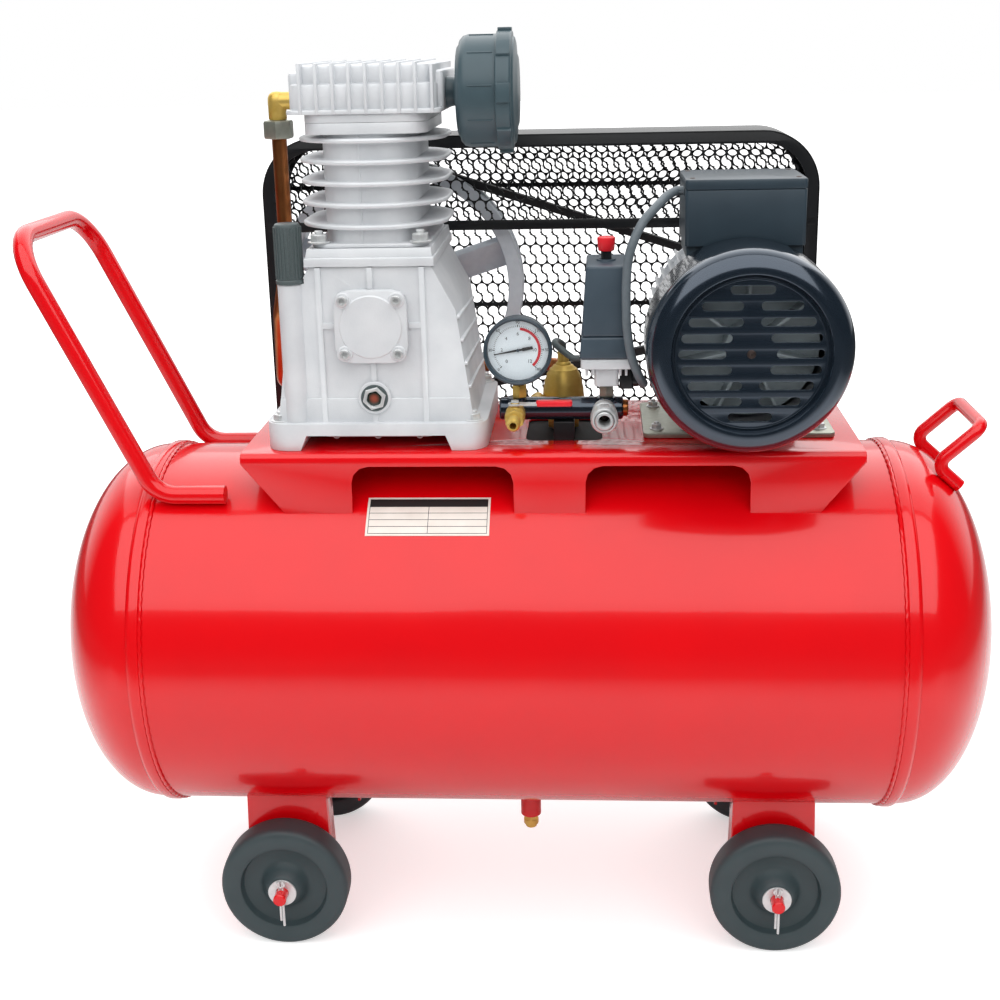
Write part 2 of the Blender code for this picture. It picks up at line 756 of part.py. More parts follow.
def build_wheel(name, x, y):
    """A moulded wheel with a tyre ring, a sunk web and a long hub."""
    half = WHEEL_WIDTH / 2
    hub = WHEEL_Y - LEG_FACE_Y - RUN
    web = WHEEL_WEB_THICKNESS / 2
    shoulder = half * WHEEL_SHOULDER_SHARE
    bore = bore_radius(AXLE_RADIUS, RUN, WHEEL_STEPS)
    upper = [(bore, hub), (HUB_RADIUS - HUB_PROUD, hub), (HUB_RADIUS, web),
             (WHEEL_RIM_RADIUS - HUB_PROUD, web), (WHEEL_RIM_RADIUS, half),
             (WHEEL_RADIUS - HUB_PROUD, half), (WHEEL_RADIUS, shoulder)]
    profile = upper + [(radius, -height) for radius, height in upper[::-1]]
    wheel = turned(profile, WHEEL_STEPS, TO_FRONT, ring=True)
    node(name, at(wheel, x, y, AXLE_Z), "slate_plastic")


def build_leg(name, x, side):
    """A folded channel from the receiver's belly down past the axle, open towards the middle."""
    low = AXLE_Z - LEG_DROP
    high = TANK_AXIS_Z - LEG_TOP_SHARE * TANK_RADIUS
    outline = [(-LEG_FOOT_WIDTH / 2, low), (LEG_FOOT_WIDTH / 2, low),
               (LEG_TOP_WIDTH / 2, high), (-LEG_TOP_WIDTH / 2, high)]
    hollow = [(px - math.copysign(LEG_SHEET, px), pz + (LEG_SHEET if pz == high else -LEG_SHEET))
              for px, pz in outline]
    leg = at(plate([outline], LEG_DEPTH, TO_FRONT), x, side * (LEG_FACE_Y - LEG_DEPTH / 2), 0)
    room = at(plate([hollow], LEG_DEPTH, TO_FRONT), x,
              side * (LEG_FACE_Y - LEG_SHEET - LEG_DEPTH / 2), 0)
    hole = at(rod(bore_radius(AXLE_RADIUS, GAP, PIN_STEPS), 2 * LEG_DEPTH, PIN_STEPS, TO_FRONT), x,
              side * LEG_FACE_Y + LEG_DEPTH, AXLE_Z)
    combine(leg, [room, hole, tank_cutter()], "DIFFERENCE")
    node(name, leg, "red_enamel")


def build_running_gear():
    """Four wheels on two through axles, each axle held by a pair of legs."""
    for side_name, x in (("left", -WHEEL_X), ("right", WHEEL_X)):
        axle = rod(AXLE_RADIUS, AXLE_LENGTH, PIN_STEPS, TO_REAR)
        node("axle_" + side_name, at(axle, x, -AXLE_LENGTH / 2, AXLE_Z), "red_enamel")
        for end_name, side in (("front", -1), ("rear", 1)):
            build_leg(f"leg_{end_name}_{side_name}", x, side)
            build_wheel(f"wheel_{end_name}_{side_name}", x, side * WHEEL_Y)


def build_handles():
    """Bent push handle on the receiver's left shoulders, and a towing loop on the right dome."""
    azimuth = math.asin(PUSH_HALF_WIDTH / (TANK_RADIUS + PUSH_TUBE_RADIUS))
    seat = facet_radius(TANK_RADIUS, azimuth) + PUSH_TUBE_RADIUS + GAP
    foot_z = TANK_AXIS_Z + math.sqrt(seat ** 2 - PUSH_HALF_WIDTH ** 2)
    bend_x = PUSH_FOOT_START - PUSH_FOOT_LENGTH
    top_x = bend_x - PUSH_RISE / math.tan(PUSH_ANGLE)
    half = [(PUSH_FOOT_START, foot_z), (bend_x, foot_z)]
    top = Vector((top_x, 0, foot_z + PUSH_RISE))
    near = [Vector((px, -PUSH_HALF_WIDTH, pz)) for px, pz in half]
    lower = bent([near[0], near[1], top - Vector((0, PUSH_HALF_WIDTH, 0))], PUSH_FOOT_BEND)[:-1]
    crown = bent([near[1], top - Vector((0, PUSH_HALF_WIDTH, 0)), top], PUSH_TOP_BEND)[1:-1]
    one_side = lower + crown
    other_side = [Vector((p.x, -p.y, p.z)) for p in one_side[::-1]]
    node("push_handle", tube(one_side + other_side, PUSH_TUBE_RADIUS), "red_enamel")

    rings = dome_profile(TANK_RADIUS, DOME_DEPTH, DOME_RINGS)
    for (low_r, low_h), (high_r, high_h) in zip(rings[::-1], rings[-2::-1]):
        if high_h >= TOW_SEAT_RUN:
            break
    share = (TOW_SEAT_RUN - low_h) / (high_h - low_h)
    ring = low_r + (high_r - low_r) * share
    slope = Vector((high_h - low_h, 0, high_r - low_r)).normalized()
    outward = Vector((-slope.z, 0, slope.x))
    skin = facet_radius(ring, math.asin(TOW_HALF_WIDTH / ring))
    touch = Vector((TANK_CENTRE_X + TANK_LENGTH / 2 - DOME_DEPTH + TOW_SEAT_RUN, -TOW_HALF_WIDTH,
                    TANK_AXIS_Z + math.sqrt(skin ** 2 - TOW_HALF_WIDTH ** 2)))
    seat_point = touch + outward * (TOW_ROD_RADIUS * TOW_FLAT + GAP)
    stub = seat_point + slope * TOW_STUB_LENGTH
    heel = seat_point - slope * TOW_HEEL_LENGTH + outward * TOW_HEEL_LENGTH / 4
    tip = heel + Vector((math.cos(TOW_ANGLE), 0, math.sin(TOW_ANGLE))) * TOW_REACH
    corners = [stub, heel, tip]
    corners += [Vector((p.x, -p.y, p.z)) for p in corners[::-1]]
    node("tow_handle", tube(bent(corners, TOW_BEND, 3), TOW_ROD_RADIUS), "red_enamel")


def build_deck():
    """Sheet deck with folded skirts that stand on the shell, notched and cut back at the ends."""
    half = DECK_HALF_WIDTH
    sheet = DECK_SHEET
    low = TANK_AXIS_Z + math.sqrt(max(TANK_RADIUS ** 2 - half ** 2, 0)) - 2 * sheet
    fold = DECK_FOLD_RADIUS
    corner = (half - fold, DECK_TOP - fold)
    outer = [(half, low)] + arc(corner, fold, 0, math.pi / 2, 3)
    inner = [(half - sheet, low)] + arc(corner, fold - sheet, 0, math.pi / 2, 3)
    section = outer + [(-y, z) for y, z in outer[::-1]] + [(-y, z) for y, z in inner] + inner[::-1]
    deck = at(plate([section], DECK_LENGTH, SECTION_ALONG_X), DECK_CENTRE_X, 0, 0)
    through = 3 * half
    drop = DECK_TOP - low
    cutters = [tank_cutter()]
    for side in (-1, 1):
        end = side * DECK_LENGTH / 2
        wedge = [(end - side * (DECK_END_CUT + sheet), low - sheet), (end + side * sheet, low - sheet),
                 (end + side * sheet, DECK_TOP - DECK_LIP), (end, DECK_TOP - DECK_LIP)]
        cutters.append(at(plate([wedge[::-side]], through, TO_FRONT), DECK_CENTRE_X, 0, 0))
        notch = rounded(DECK_NOTCH_WIDTH, 2 * (drop - DECK_NOTCH_DROP), DECK_NOTCH_RADIUS, 3)
        cutters.append(at(plate([notch], through, TO_FRONT),
                          DECK_CENTRE_X + side * DECK_NOTCH_SPACING / 2, 0, low))
    hatch = rounded(*DECK_HATCH_SIZE, DECK_HATCH_RADIUS, 2, DECK_HATCH_CENTRE)
    cutters.append(at(plate([hatch], 6 * sheet), 0, 0, DECK_TOP))
    node("deck", combine(deck, cutters, "DIFFERENCE"), "red_enamel")


def build_crankcase():
    """Cast crankcase on four feet, with ribbed front, filler neck, sight glass and bearing cover."""
    base = plate([rounded(*BASE_SIZE, BASE_CORNER, 4)], BASE_HEIGHT)
    at(base, PUMP_X, BASE_CENTRE_Y, DECK_TOP + GAP + BASE_HEIGHT / 2)
    tunnel = block((BASE_TUNNEL_WIDTH, 2 * BASE_SIZE[1], 2 * BASE_TUNNEL_HEIGHT))
    combine(base, [at(tunnel, PUMP_X, 0, DECK_TOP + GAP)], "DIFFERENCE")

    sill = BASE_HEIGHT - GAP
    half = [(CASE_FOOT_HALF, sill), (CASE_WAIST_HALF, CASE_WAIST_RISE),
            (CASE_SHOULDER_HALF, CASE_SHOULDER_RISE),
            (CASE_SHOULDER_HALF, CASE_TOP_RISE - CASE_FLANGE_THICKNESS / 2)]
    outline = half + [(-x, z) for x, z in half[::-1]]
    middle_y = CASE_FRONT_Y + CASE_DEPTH / 2
    case = at(plate([outline], CASE_DEPTH, TO_FRONT), PUMP_X, middle_y, DECK_TOP)
    flange_size = (2 * CASE_SHOULDER_HALF + 2 * CASE_FLANGE_LAP, CASE_DEPTH + 2 * CASE_FLANGE_LAP,
                   CASE_FLANGE_THICKNESS)
    flange = at(block(flange_size), PUMP_X, middle_y,
                DECK_TOP + CASE_TOP_RISE - CASE_FLANGE_THICKNESS / 2)
    housing = at(rod(REAR_HOUSING_RADIUS, REAR_HOUSING_LENGTH + GAP, CRANK_STEPS, TO_REAR),
                 PUMP_X, CASE_BACK_Y - GAP, CRANK_Z)
    neck = at(rod(NECK_RADIUS, NECK_RISE - sill, PIN_STEPS), PUMP_X + NECK_OFFSET_X, NECK_Y,
              DECK_TOP + sill)
    ribs = []
    rib_height = CASE_SHOULDER_RISE - sill
    rib_z = DECK_TOP + sill + rib_height / 2
    for side in (-1, 1):
        rib = block((RIB_WIDTH, 2 * RIB_PROUD, rib_height))
        ribs.append(at(rib, PUMP_X + side * RIB_SPREAD / 2, CASE_FRONT_Y, rib_z))
    spine = block((RIB_WIDTH, 2 * RIB_PROUD, rib_height))
    ribs.append(at(spine, PUMP_X, CASE_FRONT_Y, rib_z))
    cross = block((RIB_SPREAD, 2 * RIB_PROUD, RIB_WIDTH))
    ribs.append(at(cross, PUMP_X, CASE_FRONT_Y, CRANK_Z))
    seat = COVER_SIZE + 2 * GAP
    pocket = at(plate([rounded(seat, seat, COVER_CORNER, 3)], 4 * RIB_PROUD, TO_FRONT), PUMP_X,
                CASE_FRONT_Y, CRANK_Z)
    eye = at(rod(GLASS_RADIUS + GAP, 4 * RIB_PROUD, FITTING_STEPS, TO_FRONT), PUMP_X,
             CASE_FRONT_Y + 2 * RIB_PROUD, DECK_TOP + GLASS_RISE)
    web = combine(ribs[0], ribs[1:], "UNION")
    combine(web, [pocket, eye], "DIFFERENCE")
    combine(base, [case, flange, housing, neck, web], "UNION")

    bore = bore_radius(JOURNAL_RADIUS, RUN, CRANK_STEPS)
    passage = at(rod(bore, 2 * CASE_DEPTH, CRANK_STEPS, TO_REAR), PUMP_X,
                 CASE_FRONT_Y - CASE_DEPTH / 2, CRANK_Z)
    relief = at(rod(CAP_RADIUS + CAP_RIB_DEPTH, CAP_HEIGHT, PIN_STEPS), PUMP_X + NECK_OFFSET_X, NECK_Y,
                DECK_TOP + NECK_RISE + GAP / 2)
    combine(base, [passage, relief], "DIFFERENCE")
    node("crankcase", base, "cast_aluminium")

    cover = plate([rounded(COVER_SIZE, COVER_SIZE, COVER_CORNER, 3)], COVER_THICKNESS, TO_FRONT)
    at(cover, PUMP_X, CASE_FRONT_Y - GAP - COVER_THICKNESS / 2, CRANK_Z)
    disc = at(rod(COVER_DISC_RADIUS, COVER_THICKNESS / 2 + COVER_DISC_PROUD, COVER_STEPS, TO_FRONT), PUMP_X,
              cover.location.y, CRANK_Z)
    node("bearing_cover", combine(cover, [disc], "UNION"), "cast_aluminium")

    sump = plate([rounded(*SUMP_SIZE, SUMP_CORNER, 2)], SUMP_THICKNESS)
    node("sump_cover", at(sump, PUMP_X, BASE_CENTRE_Y,
                          DECK_TOP + BASE_TUNNEL_HEIGHT - SUMP_THICKNESS / 2), "cast_aluminium")

    outer = GLASS_RADIUS
    lens = outer * GLASS_LENS_SHARE
    sunk = GLASS_PROUD - GLASS_LENS_SUNK
    glass = turned([(0, sunk), (lens, sunk), (lens, GLASS_PROUD), (outer - GLASS_EDGE, GLASS_PROUD),
                    (outer, GLASS_PROUD - GLASS_EDGE), (outer, GAP), (0, GAP)], FITTING_STEPS, TO_FRONT)
    node("sight_glass", at(glass, PUMP_X, CASE_FRONT_Y, DECK_TOP + GLASS_RISE), "bright_steel")

    knurl = []
    for i in range(2 * CAP_RIBS):
        reach = CAP_RADIUS - (i % 2) * CAP_RIB_DEPTH
        angle = math.pi * i / CAP_RIBS
        knurl.append((reach * math.cos(angle), reach * math.sin(angle)))
    cap = plate([knurl], CAP_HEIGHT)
    node("breather_cap", at(cap, PUMP_X + NECK_OFFSET_X, NECK_Y,
                            DECK_TOP + NECK_RISE + GAP + CAP_HEIGHT / 2), "slate_plastic")


def build_cylinder():
    """Finned cylinder block for two bores in line, valve plate and ribbed head."""
    middle_y = CASE_FRONT_Y + CASE_DEPTH / 2
    barrel = plate([rounded(*BARREL_SIZE, BARREL_CORNER, 3)], BARREL_HEIGHT)
    at(barrel, PUMP_X, middle_y, BARREL_BASE_Z + BARREL_HEIGHT / 2)
    foot = plate([rounded(*BARREL_FOOT_SIZE, HEAD_FLANGE_CORNER, 2)], BARREL_FOOT_THICKNESS)
    at(foot, PUMP_X, middle_y, BARREL_BASE_Z + BARREL_FOOT_THICKNESS / 2)
    top = plate([rounded(*HEAD_FLANGE_SIZE, HEAD_FLANGE_CORNER, 2)], HEAD_FLANGE_THICKNESS)
    at(top, PUMP_X, middle_y, BARREL_BASE_Z + BARREL_HEIGHT - HEAD_FLANGE_THICKNESS / 2)
    fins = []
    for i in range(FIN_COUNT):
        fin = plate([rounded(*FIN_SIZE, FIN_CORNER, 3)], FIN_THICKNESS)
        fins.append(at(fin, PUMP_X, middle_y, BARREL_BASE_Z + FIN_FIRST + i * FIN_PITCH))
    combine(barrel, [foot, top] + fins, "UNION")
    node("cylinder_block", barrel, "cast_aluminium")

    gasket = plate([rounded(*HEAD_FLANGE_SIZE, HEAD_FLANGE_CORNER, 2)], PLATE_THICKNESS)
    node("valve_plate", at(gasket, PUMP_X, middle_y, PLATE_Z + PLATE_THICKNESS / 2), "cast_aluminium")

    width, depth = HEAD_SIZE
    half = width / 2
    pitch = (width - 2 * HEAD_CHAMFER - HEAD_RIB_WIDTH) / (HEAD_RIBS - 1)
    comb = [(-half, 0), (half, 0), (half, HEAD_HEIGHT - HEAD_CHAMFER)]
    for i in range(HEAD_RIBS - 1, -1, -1):
        left = -half + HEAD_CHAMFER + i * pitch
        right = left + HEAD_RIB_WIDTH
        if i < HEAD_RIBS - 1:
            comb.append((right, HEAD_FLOOR))
        comb += [(right, HEAD_HEIGHT), (left, HEAD_HEIGHT)]
        if i:
            comb.append((left, HEAD_FLOOR))
    comb.append((-half, HEAD_HEIGHT - HEAD_CHAMFER))
    ribs = at(plate([comb], depth, TO_FRONT), PUMP_X, middle_y, HEAD_Z)
    core = block((width - HEAD_CHAMFER, depth - 2 * HEAD_CORE_INSET, HEAD_CORE_HEIGHT - HEAD_FLOOR / 2))
    at(core, PUMP_X, middle_y, HEAD_Z + HEAD_CORE_HEIGHT / 2 + HEAD_FLOOR / 4)
    node("cylinder_head", combine(ribs, [core], "UNION"), "cast_aluminium")


def build_air_filter():
    """Round intake filter on the right of the head: a neck and canister, and a twist-on cover."""
    face_x = PUMP_X + HEAD_SIZE[0] / 2 + GAP
    start = FILTER_NECK_LENGTH
    end = start + FILTER_LENGTH
    canister = turned([(0, end), (FILTER_RADIUS, end), (FILTER_RADIUS, start + FILTER_SHOULDER),
                       (FILTER_RADIUS - FILTER_SHOULDER, start), (FILTER_NECK_RADIUS, start),
                       (FILTER_NECK_RADIUS, 0), (0, 0)], FILTER_STEPS, TO_RIGHT)
    node("air_filter_body", at(canister, face_x, PORT_Y, PORT_Z), "slate_plastic")

    reach = FILTER_COVER_RADIUS
    depth = FILTER_COVER_LENGTH
    edge = FILTER_COVER_CHAMFER
    cover = turned([(0, depth), (reach - edge, depth), (reach, depth - edge), (reach, 0), (0, 0)],
                   FILTER_STEPS, TO_RIGHT)
    at(cover, face_x + end + GAP, PORT_Y, PORT_Z)
    lugs = []
    for i in range(FILTER_LUGS):
        angle = math.pi / 2 + 2 * math.pi * i / FILTER_LUGS
        lug = block(FILTER_LUG_SIZE)
        lug.data.transform(Matrix.Translation((0, 0, reach)))
        lug.data.transform(Matrix.Rotation(math.pi / 2 - angle, 4, "X"))
        lugs.append(at(lug, cover.location.x + depth * FILTER_LUG_SHARE, PORT_Y, PORT_Z))
    node("air_filter_cover", combine(cover, lugs, "UNION"), "slate_plastic")


def build_delivery_line():
    """Brass elbow and nut on the head, a copper pipe round the pump, and the check valve."""
    face_x = PUMP_X - HEAD_SIZE[0] / 2 - GAP
    drop_x = face_x - ELBOW_REACH
    port_z = HEAD_Z + DELIVERY_RISE
    low_z = port_z - ELBOW_DROP
    corner = bent([(face_x, PORT_Y, port_z), (drop_x, PORT_Y, port_z), (drop_x, PORT_Y, low_z)],
                  ELBOW_BEND, 3)
    node("delivery_elbow", tube(corner, ELBOW_RADIUS), "brass")
    nut = rod(NUT_RADIUS, NUT_LENGTH, HEX_STEPS, TO_DOWN)
    node("delivery_nut", at(nut, drop_x, PORT_Y, low_z - GAP), "brass")

    start_z = low_z - NUT_LENGTH - 2 * GAP
    run_z = DECK_TOP + PIPE_LOW_RISE
    valve_back = VALVE_Y + VALVE_RADIUS + GAP
    side_y = PORT_Y + 2 * PIPE_BEND
    route = [(drop_x, PORT_Y, start_z), (drop_x, PORT_Y, DECK_TOP + CASE_SHOULDER_RISE),
             (PIPE_SIDE_X, PORT_Y + PIPE_RADIUS, DECK_TOP + CRANK_RISE), (PIPE_SIDE_X, side_y, run_z),
             (PIPE_SIDE_X, PIPE_REAR_Y, run_z), (VALVE_X, PIPE_REAR_Y, run_z),
             (VALVE_X, valve_back, run_z)]
    node("delivery_pipe", tube(bent(route, PIPE_BEND, 3), PIPE_RADIUS, 2), "copper")

    foot = TANK_AXIS_Z + TANK_RADIUS + GAP
    stem = VALVE_HEIGHT * VALVE_STEM_SHARE
    hip = VALVE_HEIGHT * VALVE_HIP_SHARE
    waist = VALVE_HEIGHT * VALVE_WAIST_SHARE
    top = VALVE_HEIGHT + VALVE_NECK_HEIGHT
    profile = [(0, top), (VALVE_NECK_RADIUS, top), (VALVE_NECK_RADIUS, VALVE_HEIGHT),
               (VALVE_CROWN_RADIUS, VALVE_HEIGHT), (VALVE_RADIUS, waist), (VALVE_RADIUS, hip),
               (VALVE_HEX_RADIUS, hip), (VALVE_HEX_RADIUS, stem), (VALVE_STEM_RADIUS, stem),
               (VALVE_STEM_RADIUS, 0), (0, 0)]
    node("check_valve", at(turned(profile, FITTING_STEPS), VALVE_X, VALVE_Y, foot), "brass")


def build_crank_and_flywheel():
    """Crankshaft with its tapered snout, and the spoked flywheel whose spokes are fan blades."""
    tail = CASE_FRONT_Y + CRANK_TAIL
    housing_end = CASE_BACK_Y + REAR_HOUSING_LENGTH
    hub_start = BELT_PLANE_Y - FLYWHEEL_HUB_LENGTH / 2
    hub_end = BELT_PLANE_Y + FLYWHEEL_HUB_LENGTH / 2
    length = hub_end - tail
    journal = min(housing_end, hub_start - GAP) - tail
    shaft = turned([(0, length), (SNOUT_RADIUS, length), (SNOUT_RADIUS, journal),
                    (JOURNAL_RADIUS, journal), (JOURNAL_RADIUS, 0), (0, 0)], CRANK_STEPS, TO_REAR)
    node("crankshaft", at(shaft, PUMP_X, tail, CRANK_Z), "bright_steel")

    half = FLYWHEEL_WIDTH / 2
    floor = FLYWHEEL_RADIUS - BELT_SUNK - RUN
    mouth = BELT_TOP_WIDTH / 2 + GROOVE_SIDE_GAP
    foot = BELT_FOOT_WIDTH / 2 + GROOVE_SIDE_GAP
    inner = FLYWHEEL_RADIUS - FLYWHEEL_RIM
    rim = turned([(inner, half), (FLYWHEEL_RADIUS, half), (FLYWHEEL_RADIUS, mouth), (floor, foot),
                  (floor, -foot), (FLYWHEEL_RADIUS, -mouth), (FLYWHEEL_RADIUS, -half), (inner, -half)],
                 FLYWHEEL_STEPS, TO_REAR, ring=True)
    at(rim, PUMP_X, BELT_PLANE_Y, CRANK_Z)
    bore = bore_radius(SNOUT_RADIUS, GAP, CRANK_STEPS)
    hub_half = FLYWHEEL_HUB_LENGTH / 2
    hub = at(rod(FLYWHEEL_HUB_RADIUS, FLYWHEEL_HUB_LENGTH, CRANK_STEPS, TO_REAR), PUMP_X,
             BELT_PLANE_Y - hub_half, CRANK_Z)
    spokes = []
    reach = inner + SPOKE_SUNK
    for i in range(SPOKE_COUNT):
        spoke = block((SPOKE_WIDTH, SPOKE_THICKNESS, reach))
        spoke.data.transform(Matrix.Rotation(SPOKE_TILT, 4, "Z"))
        spoke.data.transform(Matrix.Translation((0, 0, reach / 2)))
        spoke.data.transform(Matrix.Rotation(2 * math.pi * i / SPOKE_COUNT, 4, "Y"))
        spokes.append(at(spoke, PUMP_X, BELT_PLANE_Y, CRANK_Z))
    combine(hub, spokes, "UNION")
    hole = at(rod(bore, 2 * FLYWHEEL_HUB_LENGTH, CRANK_STEPS, TO_REAR), PUMP_X,
              BELT_PLANE_Y - FLYWHEEL_HUB_LENGTH, CRANK_Z)
    combine(hub, [hole], "DIFFERENCE")
    node("flywheel", combine(rim, [hub], "UNION"), "grey_iron")


def belt_loop(large, small):
    """Outline of a belt round the flywheel and the motor pulley, in the plane of the belt."""
    across = Vector((MOTOR_X - PUMP_X, MOTOR_Z - CRANK_Z))
    heading = math.atan2(across.y, across.x)
    lean = math.acos((large - small) / across.length)
    points = arc((0, 0), large, heading + lean, heading + 2 * math.pi - lean,
                 BELT_STEPS_FLYWHEEL)
    points += arc(across, small, heading - lean, heading + lean, BELT_STEPS_PULLEY)
    return points


def build_belt_drive():
    """Motor pulley and the V-belt that lies in both grooves."""
    half = PULLEY_WIDTH / 2
    floor = PULLEY_RADIUS - BELT_SUNK - RUN
    mouth = BELT_TOP_WIDTH / 2 + GROOVE_SIDE_GAP
    foot = BELT_FOOT_WIDTH / 2 + GROOVE_SIDE_GAP
    bore = bore_radius(SHAFT_RADIUS, GAP, PULLEY_STEPS)
    pulley = turned([(bore, half), (PULLEY_RADIUS, half), (PULLEY_RADIUS, mouth), (floor, foot),
                     (floor, -foot), (PULLEY_RADIUS, -mouth), (PULLEY_RADIUS, -half), (bore, -half)],
                    PULLEY_STEPS, TO_REAR, ring=True)
    node("motor_pulley", at(pulley, MOTOR_X, BELT_PLANE_Y, MOTOR_Z), "grey_iron")

    large = FLYWHEEL_RADIUS - BELT_SUNK + BELT_LIFT_FLYWHEEL
    small = PULLEY_RADIUS - BELT_SUNK + BELT_LIFT_PULLEY
    inside = belt_loop(large, small)
    outside = belt_loop(large + BELT_THICKNESS, small + BELT_THICKNESS)
    top = BELT_TOP_WIDTH / 2
    bottom = BELT_FOOT_WIDTH / 2
    belt = swept([(outside, top), (outside, -top), (inside, -bottom), (inside, bottom)], TO_FRONT)
    node("v_belt", at(belt, PUMP_X, BELT_PLANE_Y, CRANK_Z), "rubber")


def build_motor():
    """Finned foot motor: housing, shaft, fan, slotted cowl and terminal box."""
    length = BARREL_REAR_Y - BARREL_FRONT_Y
    crown = []
    for i in range(BARREL_FINS):
        for share, reach in ((0.0, BARREL_ROOT), (BARREL_FIN_FOOT, BARREL_ROOT),
                             (BARREL_FIN_TIP[0], BARREL_RADIUS), (BARREL_FIN_TIP[1], BARREL_RADIUS)):
            angle = 2 * math.pi * (i + share) / BARREL_FINS
            crown.append((reach * math.cos(angle), reach * math.sin(angle)))
    housing = plate([crown], length, TO_FRONT)
    at(housing, MOTOR_X, (BARREL_FRONT_Y + BARREL_REAR_Y) / 2, MOTOR_Z)
    seat = COWL_RADIUS - COWL_WALL - GAP
    front = rod(seat * math.cos(math.pi / COWL_STEPS), SHIELD_FRONT_LENGTH, COWL_STEPS, TO_REAR)
    at(front, MOTOR_X, BARREL_FRONT_Y - GAP, MOTOR_Z)
    rear = turned([(0, SHIELD_LENGTH), (SHIELD_REAR_RADIUS / 2, SHIELD_LENGTH),
                   (SHIELD_REAR_RADIUS, SHIELD_LENGTH / 2), (SHIELD_REAR_RADIUS, -SHIELD_LENGTH / 2),
                   (0, -SHIELD_LENGTH / 2)], COVER_STEPS, TO_REAR)
    at(rear, MOTOR_X, BARREL_REAR_Y, MOTOR_Z)
    pedestal_top = MOTOR_Z - BARREL_ROOT / 2
    pedestal_low = DECK_TOP + GAP + MOTOR_FOOT_THICKNESS / 2
    pedestal = block((*MOTOR_PEDESTAL, pedestal_top - pedestal_low))
    at(pedestal, MOTOR_X, MOTOR_FOOT_Y, (pedestal_top + pedestal_low) / 2)
    foot = block((*MOTOR_FOOT_SIZE, MOTOR_FOOT_THICKNESS))
    at(foot, MOTOR_X, MOTOR_FOOT_Y, DECK_TOP + GAP + MOTOR_FOOT_THICKNESS / 2)
    pad_height = BOX_FLOOR_Z - MOTOR_Z - BARREL_ROOT / 2
    pad = block((*BOX_PAD, pad_height))
    pad_y = max(BOX_Y, COWL_REAR_Y + BOX_PAD[1] / 2 + 2 * GAP)
    at(pad, MOTOR_X, pad_y, BOX_FLOOR_Z - pad_height / 2)
    combine(housing, [front, rear, pedestal, foot, pad], "UNION")
    bore = bore_radius(SHAFT_RADIUS, RUN, SHAFT_STEPS)
    passage = at(rod(bore, 2 * length, SHAFT_STEPS, TO_REAR), MOTOR_X, BARREL_FRONT_Y - length / 2,
                 MOTOR_Z)
    node("motor_housing", combine(housing, [passage], "DIFFERENCE"), "cast_aluminium")

    shaft = rod(SHAFT_RADIUS, SHAFT_REAR_Y - SHAFT_FRONT_Y, SHAFT_STEPS, TO_REAR)
    node("motor_shaft", at(shaft, MOTOR_X, SHAFT_FRONT_Y, MOTOR_Z), "bright_steel")

    hub = rod(FAN_HUB_RADIUS, FAN_DEPTH, SHAFT_STEPS, TO_FRONT)
    at(hub, MOTOR_X, FAN_Y + FAN_DEPTH / 2, MOTOR_Z)
    blades = []
    for i in range(FAN_BLADES):
        blade = block((FAN_BLADE_THICKNESS, FAN_BLADE_DEPTH, FAN_RADIUS))
        blade.data.transform(Matrix.Translation((0, 0, FAN_RADIUS / 2)))
        blade.data.transform(Matrix.Rotation(2 * math.pi * i / FAN_BLADES, 4, "Y"))
        blades.append(at(blade, MOTOR_X, FAN_Y, MOTOR_Z))
    combine(hub, blades, "UNION")
    hole = at(rod(bore_radius(SHAFT_RADIUS, GAP, SHAFT_STEPS), 2 * FAN_DEPTH, SHAFT_STEPS, TO_REAR),
              MOTOR_X, FAN_Y - FAN_DEPTH, MOTOR_Z)
    node("motor_fan", combine(hub, [hole], "DIFFERENCE"), "slate_plastic")
    build_cowl()

    box = block(BOX_SIZE, BOX_BEVEL)
    node("terminal_box", at(box, MOTOR_X, BOX_Y, BOX_FLOOR_Z + GAP + BOX_SIZE[2] / 2), "black_enamel")


def build_cowl():
    """Pressed fan cowl: a rounded cap with a sunk face, cut with rows of round-ended slots."""
    depth = COWL_REAR_Y - COWL_FRONT_Y
    wall = COWL_WALL
    face = depth - COWL_FACE_SINK
    bend = COWL_SHOULDER
    crown = arc((COWL_RADIUS - bend, depth - bend), bend, math.pi / 2, 0, 3)
    hollow = arc((COWL_RADIUS - bend, depth - bend), bend - wall, 0, math.pi / 2, 2)
    lip = COWL_FACE_RADIUS
    profile = [(0, face), (lip, face), (lip, depth)] + crown
    profile += [(COWL_RADIUS, 0), (COWL_RADIUS - wall, 0)]
    profile += hollow + [(lip + wall, depth - wall), (lip + wall, face - wall), (0, face - wall)]
    cowl = at(turned(profile, COWL_STEPS, TO_FRONT), MOTOR_X, COWL_REAR_Y, MOTOR_Z)
    slots = []
    reach = lip - SLOT_RIM_GAP
    for row in range(SLOT_ROWS):
        level = (row - (SLOT_ROWS - 1) / 2) * SLOT_PITCH
        end = math.sqrt(reach ** 2 - (abs(level) + SLOT_HEIGHT / 2) ** 2)
        solid = math.sqrt(max(SLOT_HUB_HALF ** 2 - level ** 2, 0.0))
        start = max(solid, SLOT_CROSS_HALF)
        if row in (0, SLOT_ROWS - 1):
            slots.append(rounded(2 * end * SLOT_END_SHARE, SLOT_HEIGHT, SLOT_HEIGHT / 2, 1, (0, level)))
            continue
        for side in (-1, 1):
            middle = side * (start + end) / 2
            slots.append(rounded(end - start, SLOT_HEIGHT, SLOT_HEIGHT / 2, 1, (middle, level)))
    cutter = at(plate(slots, 6 * wall, TO_FRONT), MOTOR_X, COWL_REAR_Y - face, MOTOR_Z)
    node("fan_cowl", combine(cowl, [cutter], "DIFFERENCE"), "black_enamel")


